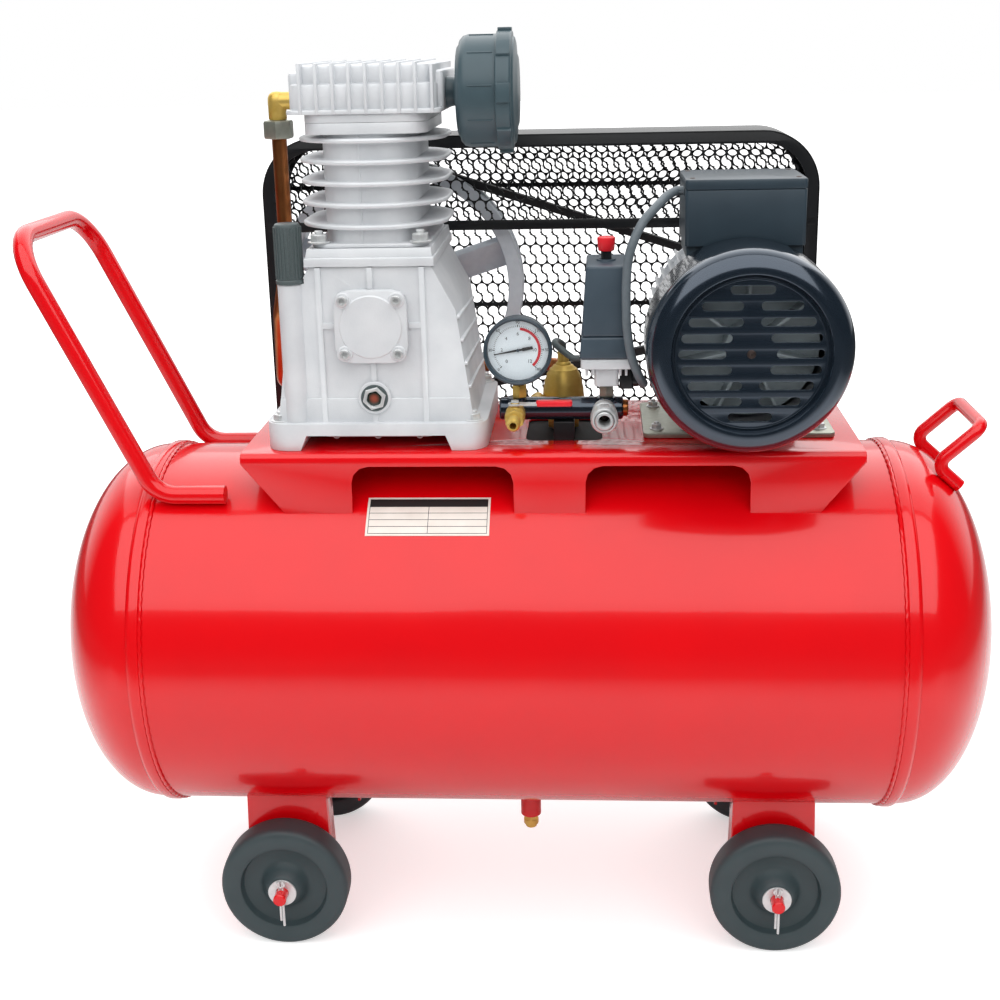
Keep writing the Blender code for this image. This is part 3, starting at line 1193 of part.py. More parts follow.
def guard_outline(inset):
    """Front outline of the guard, drawn in by an inset; round top corners and square feet."""
    left = GUARD_LEFT + inset
    right = GUARD_RIGHT - inset
    top = GUARD_TOP - inset
    low = GUARD_BOTTOM + inset
    bend = GUARD_CORNER - inset
    points = [(left, low), (right, low)]
    points += arc((right - bend, top - bend), bend, 0, math.pi / 2, 4)
    points += arc((left + bend, top - bend), bend, math.pi / 2, math.pi, 4)
    return points


def hexagon(x, z, reach):
    """Corners of one hole of the perforated sheet, point up."""
    return arc((x, z), reach, math.pi / 6, math.pi / 6 + 5 * math.pi / 3, 5)


def perforation(low):
    """Rows of holes in step and half step, all clear of the guard's inner edge above a height."""
    margin = GUARD_SHEET + GUARD_LIP / 2
    bend = GUARD_CORNER
    holes = []
    row_pitch = MESH_PITCH * math.sqrt(3) / 2
    rows = int((GUARD_TOP - margin - low - 2 * MESH_HOLE) / row_pitch) + 1
    columns = int((GUARD_RIGHT - GUARD_LEFT - 2 * margin - 2 * MESH_HOLE) / MESH_PITCH)
    middle = (GUARD_LEFT + GUARD_RIGHT) / 2
    for row in range(rows):
        z = GUARD_TOP - margin - MESH_HOLE - row * row_pitch
        count = columns - row % 2
        for column in range(count):
            x = middle + (column - (count - 1) / 2) * MESH_PITCH
            beside = max(GUARD_LEFT + bend - x, x - GUARD_RIGHT + bend, 0)
            above = max(z - GUARD_TOP + bend, 0)
            if math.hypot(beside, above) < bend - margin - MESH_HOLE or not (beside and above):
                holes.append(hexagon(x, z, MESH_HOLE))
    return holes


def build_guard():
    """Rim band with front and rear lips and a cross bar, and two perforated sheets behind the lips."""
    sheet = GUARD_SHEET
    rear_y = GUARD_FRONT_Y + GUARD_DEPTH
    middle_y = (GUARD_FRONT_Y + rear_y) / 2
    frame = at(plate([guard_outline(0)], GUARD_DEPTH, TO_FRONT), 0, middle_y, 0)
    room = at(plate([guard_outline(sheet)], GUARD_DEPTH - 2 * sheet, TO_FRONT), 0, middle_y, 0)
    window = guard_outline(GUARD_LIP)
    bar_low = GUARD_BAR_Z - GUARD_BAR_HEIGHT / 2
    bar_high = GUARD_BAR_Z + GUARD_BAR_HEIGHT / 2
    above = [(x, max(z, bar_high)) for x, z in window]
    below = window[:2] + [(x, bar_low) for x, z in window[1::-1]]
    rear = at(plate([window], GUARD_DEPTH, TO_FRONT), 0, rear_y, 0)
    front = [at(plate([loop], GUARD_DEPTH, TO_FRONT), 0, GUARD_FRONT_Y, 0) for loop in (above, below)]
    node("guard_frame", combine(frame, [room, rear] + front, "DIFFERENCE"), "black_enamel")

    edge = guard_outline(sheet + GAP)
    net = plate([edge] + perforation(GUARD_BOTTOM), MESH_SHEET, TO_FRONT)
    node("guard_mesh_rear", at(net, 0, rear_y - sheet - GAP - MESH_SHEET / 2, 0), "black_enamel")
    upper = [(x, max(z, bar_low)) for x, z in edge]
    net = plate([upper] + perforation(bar_low), MESH_SHEET, TO_FRONT)
    at(net, 0, GUARD_FRONT_Y + sheet + GAP + MESH_SHEET / 2, 0)
    node("guard_mesh_front", net, "black_enamel")


def build_manifold():
    """Steel manifold on a riser from the receiver, with an end plug and a relief valve behind."""
    full = MANIFOLD_LENGTH + PLUG_LENGTH
    profile = [(0, full), (PLUG_RADIUS, full), (PLUG_RADIUS, MANIFOLD_LENGTH),
               (MANIFOLD_RADIUS, MANIFOLD_LENGTH), (MANIFOLD_RADIUS, 0), (0, 0)]
    bar = turned(profile, MANIFOLD_STEPS, TO_RIGHT)
    node("manifold", at(bar, MANIFOLD_LEFT, MANIFOLD_Y, MANIFOLD_Z), "black_enamel")

    top = MANIFOLD_Z - MANIFOLD_RADIUS - GAP
    low = TANK_AXIS_Z + TANK_RADIUS / 2
    riser = at(block((RISER_SIZE, RISER_SIZE, top - low)), RISER_X, MANIFOLD_Y, (top + low) / 2)
    node("manifold_riser", combine(riser, [tank_cutter()], "DIFFERENCE"), "black_enamel")

    relief = turned([(0, RELIEF_LENGTH), (RELIEF_CAP_RADIUS, RELIEF_LENGTH),
                     (RELIEF_CAP_RADIUS, RELIEF_BODY_LENGTH), (RELIEF_RADIUS, RELIEF_BODY_LENGTH),
                     (RELIEF_RADIUS, 0), (0, 0)], STEM_STEPS, TO_REAR)
    node("safety_valve", at(relief, RELIEF_X, MANIFOLD_Y + MANIFOLD_RADIUS + GAP, MANIFOLD_Z), "brass")


def build_gauge():
    """Pressure gauge on a stem: cup-shaped case with a pivot pin, pointer and lens."""
    depth = GAUGE_DEPTH
    mouth = GAUGE_RADIUS - GAUGE_RIM
    back = GAUGE_RADIUS - GAUGE_RIM / 2
    dial = depth - GAUGE_DIAL_SINK
    gauge_z = MANIFOLD_Z + GAUGE_RISE
    bezel = depth - GAUGE_BEZEL
    case = turned([(0, dial + PIN_LENGTH), (PIN_RADIUS, dial + PIN_LENGTH), (PIN_RADIUS, dial),
                   (mouth, dial), (mouth, depth), (GAUGE_RADIUS, depth), (GAUGE_RADIUS, bezel),
                   (back, bezel - GAUGE_BEZEL_STEP), (back, 0), (0, 0)], GAUGE_STEPS, TO_FRONT)
    back_y = GAUGE_FRONT_Y + depth
    at(case, GAUGE_X, back_y, gauge_z)
    stem_low = MANIFOLD_Z + MANIFOLD_RADIUS + GAP
    stem = rod(GAUGE_STEM_RADIUS, gauge_z - GAUGE_RADIUS / 2 - stem_low, HEX_STEPS)
    at(stem, GAUGE_X, MANIFOLD_Y, stem_low)
    node("gauge_case", combine(case, [stem], "UNION"), "black_enamel")

    tip = POINTER_TIP_HALF
    tail = POINTER_TAIL_HALF
    free = POINTER_HUB_FREE
    blade = [(POINTER_LENGTH, -tip), (POINTER_LENGTH, tip)]
    blade += arc((0, 0), POINTER_HUB, free, math.pi - free, 4)
    blade += [(-POINTER_TAIL, tail), (-POINTER_TAIL, -tail)]
    blade += arc((0, 0), POINTER_HUB, math.pi + free, 2 * math.pi - free, 4)
    hole = ring_points(bore_radius(PIN_RADIUS, RUN, EYE_STEPS), EYE_STEPS)
    pointer = plate([blade, hole], POINTER_THICKNESS, Matrix.Rotation(POINTER_ANGLE, 4, "Z"))
    pointer.data.transform(TO_FRONT)
    pointer_y = back_y - dial - PIN_LENGTH / 2
    node("gauge_pointer", at(pointer, GAUGE_X, pointer_y, gauge_z), "black_enamel")

    lens = rod(mouth - GAP, LENS_THICKNESS, GAUGE_STEPS, TO_FRONT)
    at(lens, GAUGE_X, GAUGE_FRONT_Y + LENS_SINK + LENS_THICKNESS, gauge_z)
    node("gauge_lens", lens, "clear_glass")


def build_switch():
    """Pressure switch: die-cast base on a nipple, tapered cover, push knob and lead gland."""
    width, depth, height = SWITCH_BASE_SIZE
    base_z = MANIFOLD_Z + MANIFOLD_RADIUS + SWITCH_BASE_RISE
    base = at(block(SWITCH_BASE_SIZE), SWITCH_X, SWITCH_Y, base_z + height / 2)
    boss = at(rod(SWITCH_BOSS_RADIUS, SWITCH_BOSS_LENGTH + GAP, PIN_STEPS), SWITCH_X, MANIFOLD_Y,
              base_z - SWITCH_BOSS_LENGTH)
    low = MANIFOLD_Z + MANIFOLD_RADIUS + GAP
    nipple = at(rod(SWITCH_NIPPLE_RADIUS, base_z - low, HEX_STEPS), SWITCH_X, MANIFOLD_Y, low)
    gland_x = SWITCH_X + width / 2 - GLAND_SIZE[0] / 2 + GAP
    gland_y = SWITCH_Y - GLAND_FORWARD
    gland = at(block((GLAND_SIZE[0], GLAND_SIZE[1], GLAND_SIZE[2] + height / 2)), gland_x, gland_y,
               base_z - GLAND_SIZE[2] / 2 + height / 4)
    node("switch_base", combine(base, [boss, nipple, gland], "UNION"), "cast_aluminium")

    cover_z = base_z + height + GAP
    cover = block((*SWITCH_COVER_FOOT, SWITCH_COVER_HEIGHT))
    for vertex in cover.data.vertices:
        if vertex.co.z > 0:
            vertex.co.x *= SWITCH_COVER_TOP[0] / SWITCH_COVER_FOOT[0]
            vertex.co.y *= SWITCH_COVER_TOP[1] / SWITCH_COVER_FOOT[1]
    at(cover, SWITCH_X, SWITCH_Y, cover_z + SWITCH_COVER_HEIGHT / 2)
    top = cover_z + SWITCH_COVER_HEIGHT
    sunk = KNOB_STEM_SUNK + KNOB_LIFT
    well = rod(bore_radius(KNOB_STEM_RADIUS, RUN, STEM_STEPS), 2 * sunk, STEM_STEPS)
    at(well, SWITCH_X, SWITCH_Y, top - sunk)
    node("switch_cover", combine(cover, [well], "DIFFERENCE"), "slate_plastic")

    knob = turned([(0, KNOB_LIFT + KNOB_HEIGHT), (KNOB_RADIUS, KNOB_LIFT + KNOB_HEIGHT),
                   (KNOB_FOOT_RADIUS, KNOB_LIFT), (KNOB_STEM_RADIUS, KNOB_LIFT),
                   (KNOB_STEM_RADIUS, -KNOB_STEM_SUNK), (0, -KNOB_STEM_SUNK)], STEM_STEPS)
    node("switch_knob", at(knob, SWITCH_X, SWITCH_Y, top), "red_plastic")

    box_left = MOTOR_X - BOX_SIZE[0] / 2 - GAP
    box_port_z = BOX_FLOOR_Z + GAP + BOX_SIZE[2] - LEAD_BOX_DROP
    gland_end = SWITCH_X + width / 2 + 2 * GAP
    gland_z = base_z - GLAND_PORT_DROP
    span = box_left - gland_end
    fall = box_port_z - gland_z
    lead = [(box_left, SWITCH_Y, box_port_z), (box_left - LEAD_STUB, SWITCH_Y, box_port_z)]
    lead += [(gland_end + along * span, SWITCH_Y + forward, gland_z + up * fall)
             for along, forward, up in LEAD_POINTS]
    lead += [(gland_end + LEAD_STUB, gland_y, gland_z), (gland_end, gland_y, gland_z)]
    node("motor_lead", tube(smooth(lead, 2), LEAD_RADIUS, 2), "rubber")

    left = SWITCH_X - width / 2 - GAP
    neck_top = TANK_AXIS_Z + TANK_RADIUS + VALVE_HEIGHT + VALVE_NECK_HEIGHT + 2 * GAP
    port_z = base_z + height / 2
    crest = neck_top + WHIP_CREST
    whip = [(left, SWITCH_Y, port_z), (left - WHIP_CREST / 2, SWITCH_Y, port_z),
            (VALVE_X - WHIP_CREST / 2, SWITCH_Y + WHIP_CREST, crest),
            (VALVE_X - WHIP_CREST / 2, VALVE_Y - WHIP_CREST, crest),
            (VALVE_X, VALVE_Y, neck_top + WHIP_CREST / 2), (VALVE_X, VALVE_Y, neck_top)]
    node("unloader_tube", tube(smooth(whip, 3), UNLOADER_RADIUS, 2), "rubber")


def build_outlets():
    """Ball valve with a hose barb and lever, and a quick coupler with its sliding sleeve."""
    start_y = MANIFOLD_Y - MANIFOLD_RADIUS - GAP
    full = TAP_LENGTH + TAP_BARB_LENGTH
    body = turned([(0, TAP_LENGTH), (TAP_BORE, TAP_LENGTH), (TAP_BORE, full), (TAP_BARB_RADIUS, full),
                   (TAP_BARB_RADIUS, TAP_LENGTH), (TAP_RADIUS, TAP_LENGTH), (TAP_RADIUS, 0), (0, 0)],
                  STEM_STEPS, TO_FRONT)
    at(body, TAP_X, start_y, MANIFOLD_Z)
    lever_z = MANIFOLD_Z + TAP_RADIUS + 3 * GAP
    stem_y = start_y - TAP_STEM_BACK
    stem = rod(TAP_STEM_RADIUS, TAP_RADIUS + 6 * GAP + LEVER_THICKNESS, STEM_STEPS)
    at(stem, TAP_X, stem_y, MANIFOLD_Z)
    node("ball_valve_body", combine(body, [stem], "UNION"), "brass")
    outline = [(LEVER_LENGTH, -LEVER_TIP_HALF), (LEVER_LENGTH, LEVER_TIP_HALF)]
    outline += arc((0, 0), LEVER_EYE_RADIUS, LEVER_EYE_FREE, 2 * math.pi - LEVER_EYE_FREE, 8)
    eye = ring_points(bore_radius(TAP_STEM_RADIUS, RUN, STEM_STEPS), STEM_STEPS)
    lever = plate([outline, eye], LEVER_THICKNESS)
    node("ball_valve_lever", at(lever, TAP_X, stem_y, lever_z + LEVER_THICKNESS / 2), "red_plastic")

    length = COUPLER_LENGTH
    floor = length - COUPLER_BORE_DEPTH
    body = turned([(0, floor), (COUPLER_BORE, floor), (COUPLER_BORE, length), (COUPLER_RADIUS, length),
                   (COUPLER_RADIUS, COUPLER_COLLAR_LENGTH), (COUPLER_COLLAR_RADIUS, COUPLER_COLLAR_LENGTH),
                   (COUPLER_COLLAR_RADIUS, 0), (0, 0)], FITTING_STEPS, TO_FRONT)
    node("coupler_body", at(body, COUPLER_X, start_y, MANIFOLD_Z), "bright_steel")
    bore = bore_radius(COUPLER_RADIUS, RUN, FITTING_STEPS)
    edge = SLEEVE_RADIUS - SLEEVE_EDGE_DROP
    sleeve = turned([(bore, 0), (edge, 0), (SLEEVE_RADIUS, -SLEEVE_EDGE),
                     (SLEEVE_RADIUS, SLEEVE_EDGE - SLEEVE_LENGTH), (edge, -SLEEVE_LENGTH),
                     (bore, -SLEEVE_LENGTH)], FITTING_STEPS, TO_FRONT, ring=True)
    at(sleeve, COUPLER_X, start_y - length + SLEEVE_SET_BACK, MANIFOLD_Z)
    node("coupler_sleeve", sleeve, "bright_steel")


def centre_on_floor():
    """Shift the root so that the origin lies under the middle of the assembly, on the floor."""
    bpy.context.view_layer.update()
    corners = [piece.matrix_world @ Vector(corner)
               for piece in PARTS.objects if piece.type == "MESH" for corner in piece.bound_box]
    low = Vector(map(min, zip(*corners)))
    high = Vector(map(max, zip(*corners)))
    ROOT.location = (-(low.x + high.x) / 2, -(low.y + high.y) / 2, -low.z)


build_receiver()
build_running_gear()
build_handles()
build_deck()
build_crankcase()
build_cylinder()
build_air_filter()
build_delivery_line()
build_crank_and_flywheel()
build_belt_drive()
build_motor()
build_guard()
build_manifold()
build_gauge()
build_switch()
build_outlets()
centre_on_floor()
print("origin shift", tuple(round(value, 6) for value in ROOT.location))
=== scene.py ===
import math

import bmesh
import bpy
from mathutils import Matrix, Vector


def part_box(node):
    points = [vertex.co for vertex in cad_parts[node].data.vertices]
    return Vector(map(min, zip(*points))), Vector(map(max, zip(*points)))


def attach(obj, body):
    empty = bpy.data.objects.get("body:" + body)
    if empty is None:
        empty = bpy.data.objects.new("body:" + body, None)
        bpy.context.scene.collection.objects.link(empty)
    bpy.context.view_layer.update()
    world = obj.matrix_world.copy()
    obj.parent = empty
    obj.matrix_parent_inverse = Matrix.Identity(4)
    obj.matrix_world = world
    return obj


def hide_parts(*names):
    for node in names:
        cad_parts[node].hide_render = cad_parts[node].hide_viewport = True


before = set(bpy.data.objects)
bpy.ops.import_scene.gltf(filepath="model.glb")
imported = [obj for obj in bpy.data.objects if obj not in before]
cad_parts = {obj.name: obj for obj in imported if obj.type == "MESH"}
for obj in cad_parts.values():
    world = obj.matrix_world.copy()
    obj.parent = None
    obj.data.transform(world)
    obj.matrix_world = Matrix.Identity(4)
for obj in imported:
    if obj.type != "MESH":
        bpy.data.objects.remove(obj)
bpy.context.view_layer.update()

# Camera: a short telephoto lens on a stand, a little above the pump and tipped down at the receiver.
# Its place, angles and focal length were fitted to the receiver, the wheels, the cowl and the gauge.
CAMERA_PLACE = (0.076984, -1.44715, 0.8804)
CAMERA_YAW, CAMERA_PITCH, CAMERA_ROLL = 0.0676, 0.3021, -0.022
CAMERA_SENSOR_MM = 36.0
CAMERA_FOCAL_SHARE = 1.4913
lens = bpy.data.cameras.new("camera")
lens.sensor_width = CAMERA_SENSOR_MM
lens.lens = CAMERA_SENSOR_MM * CAMERA_FOCAL_SHARE
camera = bpy.data.objects.new("camera", lens)
camera.matrix_world = (Matrix.Translation(CAMERA_PLACE) @ Matrix.Rotation(CAMERA_YAW, 4, "Z")
                       @ Matrix.Rotation(math.pi / 2 - CAMERA_PITCH, 4, "X")
                       @ Matrix.Rotation(CAMERA_ROLL, 4, "Z"))
bpy.context.scene.collection.objects.link(camera)
bpy.context.scene.camera = camera
bpy.context.scene.view_settings.view_transform = "Standard"

# Studio: a white paper sweep on the floor, a wide soft panel overhead in front and a second one behind.
# The room behind the camera is dim, and the floor in front shows painted shade to gloss, which leaves the
# plain red band along the receiver's middle.
PANEL_SIZE, PANEL_DISTANCE = (6.0, 4.0), 3.2
PANELS = (("panel_front", 56, 1.85), ("panel_back", 124, 1.2))
PANEL_AIM = Vector((0.0, 0.0, 0.45))
WORLD_FILL, WORLD_ROOM = 0.5, 0.02
BACKDROP_NEAR, BACKDROP_FAR = 0.2, 0.6
FLOOR_SIZE = 40.0
FLOOR_GLOW, FLOOR_SHEEN = 0.5, 0.06
PURE_WHITE, FLOOR_WHITE, FLOOR_PAINTED_SHADE = "#FFFFFF", "#E6E6E6", "#484848"
FRONT_SHADE_NEAR, FRONT_SHADE_FAR = -0.75, -1.5
SIDE_SHADE_NEAR, SIDE_SHADE_FAR = 0.9, 1.8
HORIZON_NEAR, HORIZON_FAR = 0.8, 3.0


def linear(code):
    """Linear colour of an sRGB hex code."""
    shares = [int(code[i:i + 2], 16) / 255 for i in (1, 3, 5)]
    return (*(s / 12.92 if s <= 0.04045 else ((s + 0.055) / 1.055) ** 2.4 for s in shares), 1.0)


def add_node(tree, kind, links={}, **settings):
    """Adds a node with its settings; a linked input takes a value or another node's output."""
    made = tree.nodes.new(kind)
    for name, value in settings.items():
        setattr(made, name, value)
    for name, value in links.items():
        if isinstance(value, bpy.types.NodeSocket):
            tree.links.new(value, made.inputs[name])
        else:
            made.inputs[name].default_value = value
    return made


for name, elevation, radiance in PANELS:
    panel = bpy.data.lights.new(name, "AREA")
    panel.shape = "RECTANGLE"
    panel.size, panel.size_y = PANEL_SIZE
    panel.energy = radiance * math.pi * PANEL_SIZE[0] * PANEL_SIZE[1]
    lamp = bpy.data.objects.new(name, panel)
    lift = math.radians(elevation)
    reach = Vector((0.0, -math.cos(lift), math.sin(lift))) * PANEL_DISTANCE
    lamp.matrix_world = (Matrix.Translation(PANEL_AIM + reach)
                         @ Matrix.Rotation(math.pi / 2 - lift, 4, "X"))
    lamp.visible_camera = False
    bpy.context.scene.collection.objects.link(lamp)

world = bpy.data.worlds.new("studio_room")
world.use_nodes = True
bpy.context.scene.world = world
tree = world.node_tree
tree.nodes.clear()
ray = add_node(tree, "ShaderNodeLightPath").outputs
heading = add_node(tree, "ShaderNodeTexCoord").outputs["Generated"]
ahead = add_node(tree, "ShaderNodeSeparateXYZ", {"Vector": heading}).outputs["Y"]
backdrop = add_node(tree, "ShaderNodeMapRange", {"Value": ahead, "From Min": BACKDROP_NEAR,
                                                 "From Max": BACKDROP_FAR, "To Min": WORLD_ROOM})
mirrored, fill, white = [add_node(tree, "ShaderNodeBackground", {"Color": linear(PURE_WHITE),
                                                                 "Strength": strength}).outputs[0]
                         for strength in (backdrop.outputs["Result"], WORLD_FILL, 1.0)]
seen = add_node(tree, "ShaderNodeMath", {0: ray["Is Camera Ray"], 1: ray["Is Transmission Ray"]},
                operation="MAXIMUM")
lit = add_node(tree, "ShaderNodeMixShader", {0: ray["Is Glossy Ray"], 1: fill, 2: mirrored})
sky = add_node(tree, "ShaderNodeMixShader", {0: seen.outputs[0], 1: lit.outputs[0], 2: white})
add_node(tree, "ShaderNodeOutputWorld", {"Surface": sky.outputs[0]})

sheet = bmesh.new()
bmesh.ops.create_grid(sheet, x_segments=1, y_segments=1, size=FLOOR_SIZE / 2)
floor_mesh = bpy.data.meshes.new("floor")
sheet.to_mesh(floor_mesh)
sheet.free()
floor = bpy.data.objects.new("floor", floor_mesh)
bpy.context.scene.collection.objects.link(floor)
# Matt white paper: evenly lit where it is seen; to the sides and in front, what gloss mirrors is painted
# shade, a dark grey that stands in for a dim room.
paper = bpy.data.materials.new("matt_white_paper")
paper.use_nodes = True
tree = paper.node_tree
tree.nodes.clear()
ray = add_node(tree, "ShaderNodeLightPath").outputs
place = add_node(tree, "ShaderNodeTexCoord").outputs["Object"]
spot = add_node(tree, "ShaderNodeSeparateXYZ", {"Vector": place}).outputs
aside = add_node(tree, "ShaderNodeMath", {0: spot["X"]}, operation="ABSOLUTE").outputs[0]
out = add_node(tree, "ShaderNodeVectorMath", {0: place}, operation="LENGTH").outputs["Value"]
beside, nearer, far = [add_node(tree, "ShaderNodeMapRange", {"Value": value, "From Min": start,
                                                             "From Max": end, "To Min": least}).outputs[0]
                       for value, start, end, least in ((aside, SIDE_SHADE_NEAR, SIDE_SHADE_FAR, 0.0),
                                                        (spot["Y"], FRONT_SHADE_NEAR, FRONT_SHADE_FAR, 0.0),
                                                        (out, HORIZON_NEAR, HORIZON_FAR, FLOOR_GLOW))]
# Painted shade mask: where glossy rays meet the floor to the sides or in front, the lit paper is swapped for
# a dark grey.
painted_shade_zone = add_node(tree, "ShaderNodeMath", {0: nearer, 1: beside}, operation="MAXIMUM")
dark = add_node(tree, "ShaderNodeMath", {0: painted_shade_zone.outputs[0], 1: ray["Is Glossy Ray"]}, operation="MULTIPLY")
seen = add_node(tree, "ShaderNodeMath", {0: ray["Is Camera Ray"], 1: ray["Is Transmission Ray"]},
                operation="MAXIMUM")
white = add_node(tree, "ShaderNodeMath", {0: seen.outputs[0], 1: far}, operation="MULTIPLY")
sheen = add_node(tree, "ShaderNodeMath", {0: ray["Is Glossy Ray"], 1: FLOOR_SHEEN}, operation="MULTIPLY")
glow = add_node(tree, "ShaderNodeMath", {0: white.outputs[0], 1: sheen.outputs[0]}, operation="ADD")
matt = add_node(tree, "ShaderNodeBsdfPrincipled", {"Base Color": linear(FLOOR_WHITE), "Roughness": 1.0,
                                                  "Specular IOR Level": 0.0,
                                                  "Emission Color": linear(PURE_WHITE),
                                                  "Emission Strength": glow.outputs[0]})
# Painted shade: the dark grey that glossy rays see there in place of the lit paper.
reflected_shade_bsdf = add_node(tree, "ShaderNodeBsdfDiffuse", {"Color": linear(FLOOR_PAINTED_SHADE)})
both = add_node(tree, "ShaderNodeMixShader", {0: dark.outputs[0], 1: matt.outputs[0], 2: reflected_shade_bsdf.outputs[0]})
add_node(tree, "ShaderNodeOutputMaterial", {"Surface": both.outputs[0]})
floor_mesh.materials.append(paper)

# Receiver: a rolled steel shell and two dished ends whose flanges lap over it and are welded round.
# All of it is sprayed in gloss red enamel, which pools slightly and shows the sheet's soft waves.
SHELL_RADIUS, SHELL_WALL = 0.185, 0.003
DOME_DEPTH, DOME_POWER, DOME_RINGS = 0.096, 2.1, 30
BAND_WIDTH, BAND_LAP, BAND_RISE, BAND_GAP = 0.013, 0.010, 0.003, 0.0003
TANK_STEPS, CREASE = 180, math.radians(35)
BEAD_RADIUS, BEAD_RIPPLES, BEAD_RIPPLE = 0.0021, 110, 0.0004
UP = Matrix.Identity(4)
TO_RIGHT = Matrix.Rotation(math.pi / 2, 4, "Y")
TO_LEFT = Matrix.Rotation(-math.pi / 2, 4, "Y")


def new_finish(name, **values):
    """Starts a material: gives it, its node tree, its shader and its Object coordinates."""
    made = bpy.data.materials.new(name)
    made.use_nodes = True
    shader = made.node_tree.nodes["Principled BSDF"]
    for key, value in values.items():
        shader.inputs[key.replace("_", " ")].default_value = value
    place = add_node(made.node_tree, "ShaderNodeTexCoord").outputs["Object"]
    return made, made.node_tree, shader, place


def turned(profile, steps, ring=False):
    """A profile of (radius, height) points spun round Z; a ring's profile is closed."""
    work = bmesh.new()
    points = [work.verts.new((radius, 0.0, height)) for radius, height in profile]
    pairs = list(zip(points, points[1:])) + ([(points[-1], points[0])] if ring else [])
    edges = [work.edges.new(pair) for pair in pairs]
    bmesh.ops.spin(work, geom=points + edges, axis=(0, 0, 1), cent=(0, 0, 0), angle=2 * math.pi,
                   steps=steps, use_merge=True)
    bmesh.ops.remove_doubles(work, verts=work.verts, dist=1e-7)
    bmesh.ops.recalc_face_normals(work, faces=work.faces)
    return work


def put(work, place, turn=UP):
    """Turns a shape and moves it to its place."""
    bmesh.ops.transform(work, matrix=Matrix.Translation(place) @ turn, verts=work.verts)
    return work


def piece(name, body, shapes, finishes, replaced):
    """Joins shapes, each with the number of its finish, into one piece that rides on a body.

    It takes the place of the nodes that are named, if any.
    """
    mesh = bpy.data.meshes.new(name)
    whole = bmesh.new()
    for work, number in shapes:
        for face in work.faces:
            face.material_index = number
            face.smooth = True
        work.to_mesh(mesh)
        whole.from_mesh(mesh)
        work.free()
    whole.to_mesh(mesh)
    whole.free()
    mesh.set_sharp_from_angle(angle=CREASE)
    for finish in finishes:
        mesh.materials.append(finish)
    made = bpy.data.objects.new(name, mesh)
    bpy.context.scene.collection.objects.link(made)
    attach(made, body)
    if replaced:
        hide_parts(*replaced)


def dished(radius, depth, foot):
    """Points of a dished end from its crown down to its rim."""
    angles = [math.pi / 2 * i / DOME_RINGS for i in range(DOME_RINGS)]
    points = [(radius * math.sin(a) ** (2 / DOME_POWER), foot + depth * math.cos(a) ** (2 / DOME_POWER))
              for a in angles]
    return points + [(radius, foot)]


def bead_section(reach, wide, tall, foot=0.0):
    """Eight points round the section of a bead that runs at a radius."""
    angles = [math.pi / 4 * i for i in range(8)]
    return [(reach + wide * math.cos(a), foot + tall * math.sin(a)) for a in angles]


# Sprayed gloss enamel: a hard clear skin over a warm red, with slow waves from the rolled sheet.
RED_DRIFT_MM, RED_WAVE_MM, RED_PEEL_MM = 70, 95, 2.4
RED_WAVE_RISE, RED_PEEL_RISE, RED_RELIEF = 0.0016, 0.00004, 0.5
red_enamel, tree, shader, place = new_finish("sprayed_red_enamel", Roughness=0.2, Coat_Weight=0.5,
                                             Specular_IOR_Level=0.4, Coat_Roughness=0.04)
drift, wave, peel = [add_node(tree, "ShaderNodeTexNoise", {"Vector": place, "Scale": 1000 / size_mm,
                                                           "Detail": detail}).outputs["Fac"]
                     for size_mm, detail in ((RED_DRIFT_MM, 3.0), (RED_WAVE_MM, 1.0), (RED_PEEL_MM, 1.0))]
tint = add_node(tree, "ShaderNodeMixRGB", {"Fac": drift, "Color1": linear("#D4030F"),
                                           "Color2": linear("#E0020C")})
soft = add_node(tree, "ShaderNodeBump", {"Height": wave, "Distance": RED_WAVE_RISE, "Strength": RED_RELIEF})
fine = add_node(tree, "ShaderNodeBump", {"Height": peel, "Distance": RED_PEEL_RISE, "Strength": RED_RELIEF,
                                         "Normal": soft.outputs["Normal"]})
for made, socket in ((tint, "Base Color"), (fine, "Normal"), (fine, "Coat Normal")):
    tree.links.new(made.outputs[0], shader.inputs[socket])

low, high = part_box("tank_shell")
tank_middle = (low + high) / 2
half = (high.x - low.x) / 2
inner = SHELL_RADIUS - SHELL_WALL
shell = turned([(SHELL_RADIUS, half), (SHELL_RADIUS, -half), (inner, -half), (inner, half)], TANK_STEPS,
               ring=True)
piece("receiver_shell", "frame", [(put(shell, tank_middle, TO_RIGHT), 0)], [red_enamel], ["tank_shell"])
rim = SHELL_RADIUS + BAND_RISE
seat = SHELL_RADIUS + BAND_GAP
end_profile = dished(SHELL_RADIUS, DOME_DEPTH, BAND_WIDTH)
end_profile += [(SHELL_RADIUS + 0.0008, BAND_WIDTH - 0.0004), (rim - 0.0005, BAND_WIDTH - 0.0026),
                (rim, BAND_WIDTH - 0.0042), (rim, 0.003), (rim - 0.0007, 0.0009), (seat + 0.0004, 0.0),
                (seat, 0.0), (seat, BAND_LAP)]
end_profile += dished(inner, DOME_DEPTH + BAND_WIDTH - BAND_LAP - SHELL_WALL, BAND_LAP)[::-1]
for side, turn in (("left", TO_LEFT), ("right", TO_RIGHT)):
    end_low, end_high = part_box("tank_end_" + side)
    lip = Vector((end_high.x if side == "left" else end_low.x, tank_middle.y, tank_middle.z))
    dome = put(turned(end_profile, TANK_STEPS), lip, turn)
    section = bead_section(seat, BEAD_RADIUS, BEAD_RADIUS, -BEAD_RADIUS / 2)
    bead = turned(section, 4 * BEAD_RIPPLES, ring=True)
    for vertex in bead.verts:
        heading = math.atan2(vertex.co.y, vertex.co.x)
        vertex.co.z += BEAD_RIPPLE * math.sin(BEAD_RIPPLES * heading)
    piece("receiver_end_" + side, "frame", [(dome, 0), (put(bead, lip, turn), 0)], [red_enamel],
          ["tank_end_" + side])

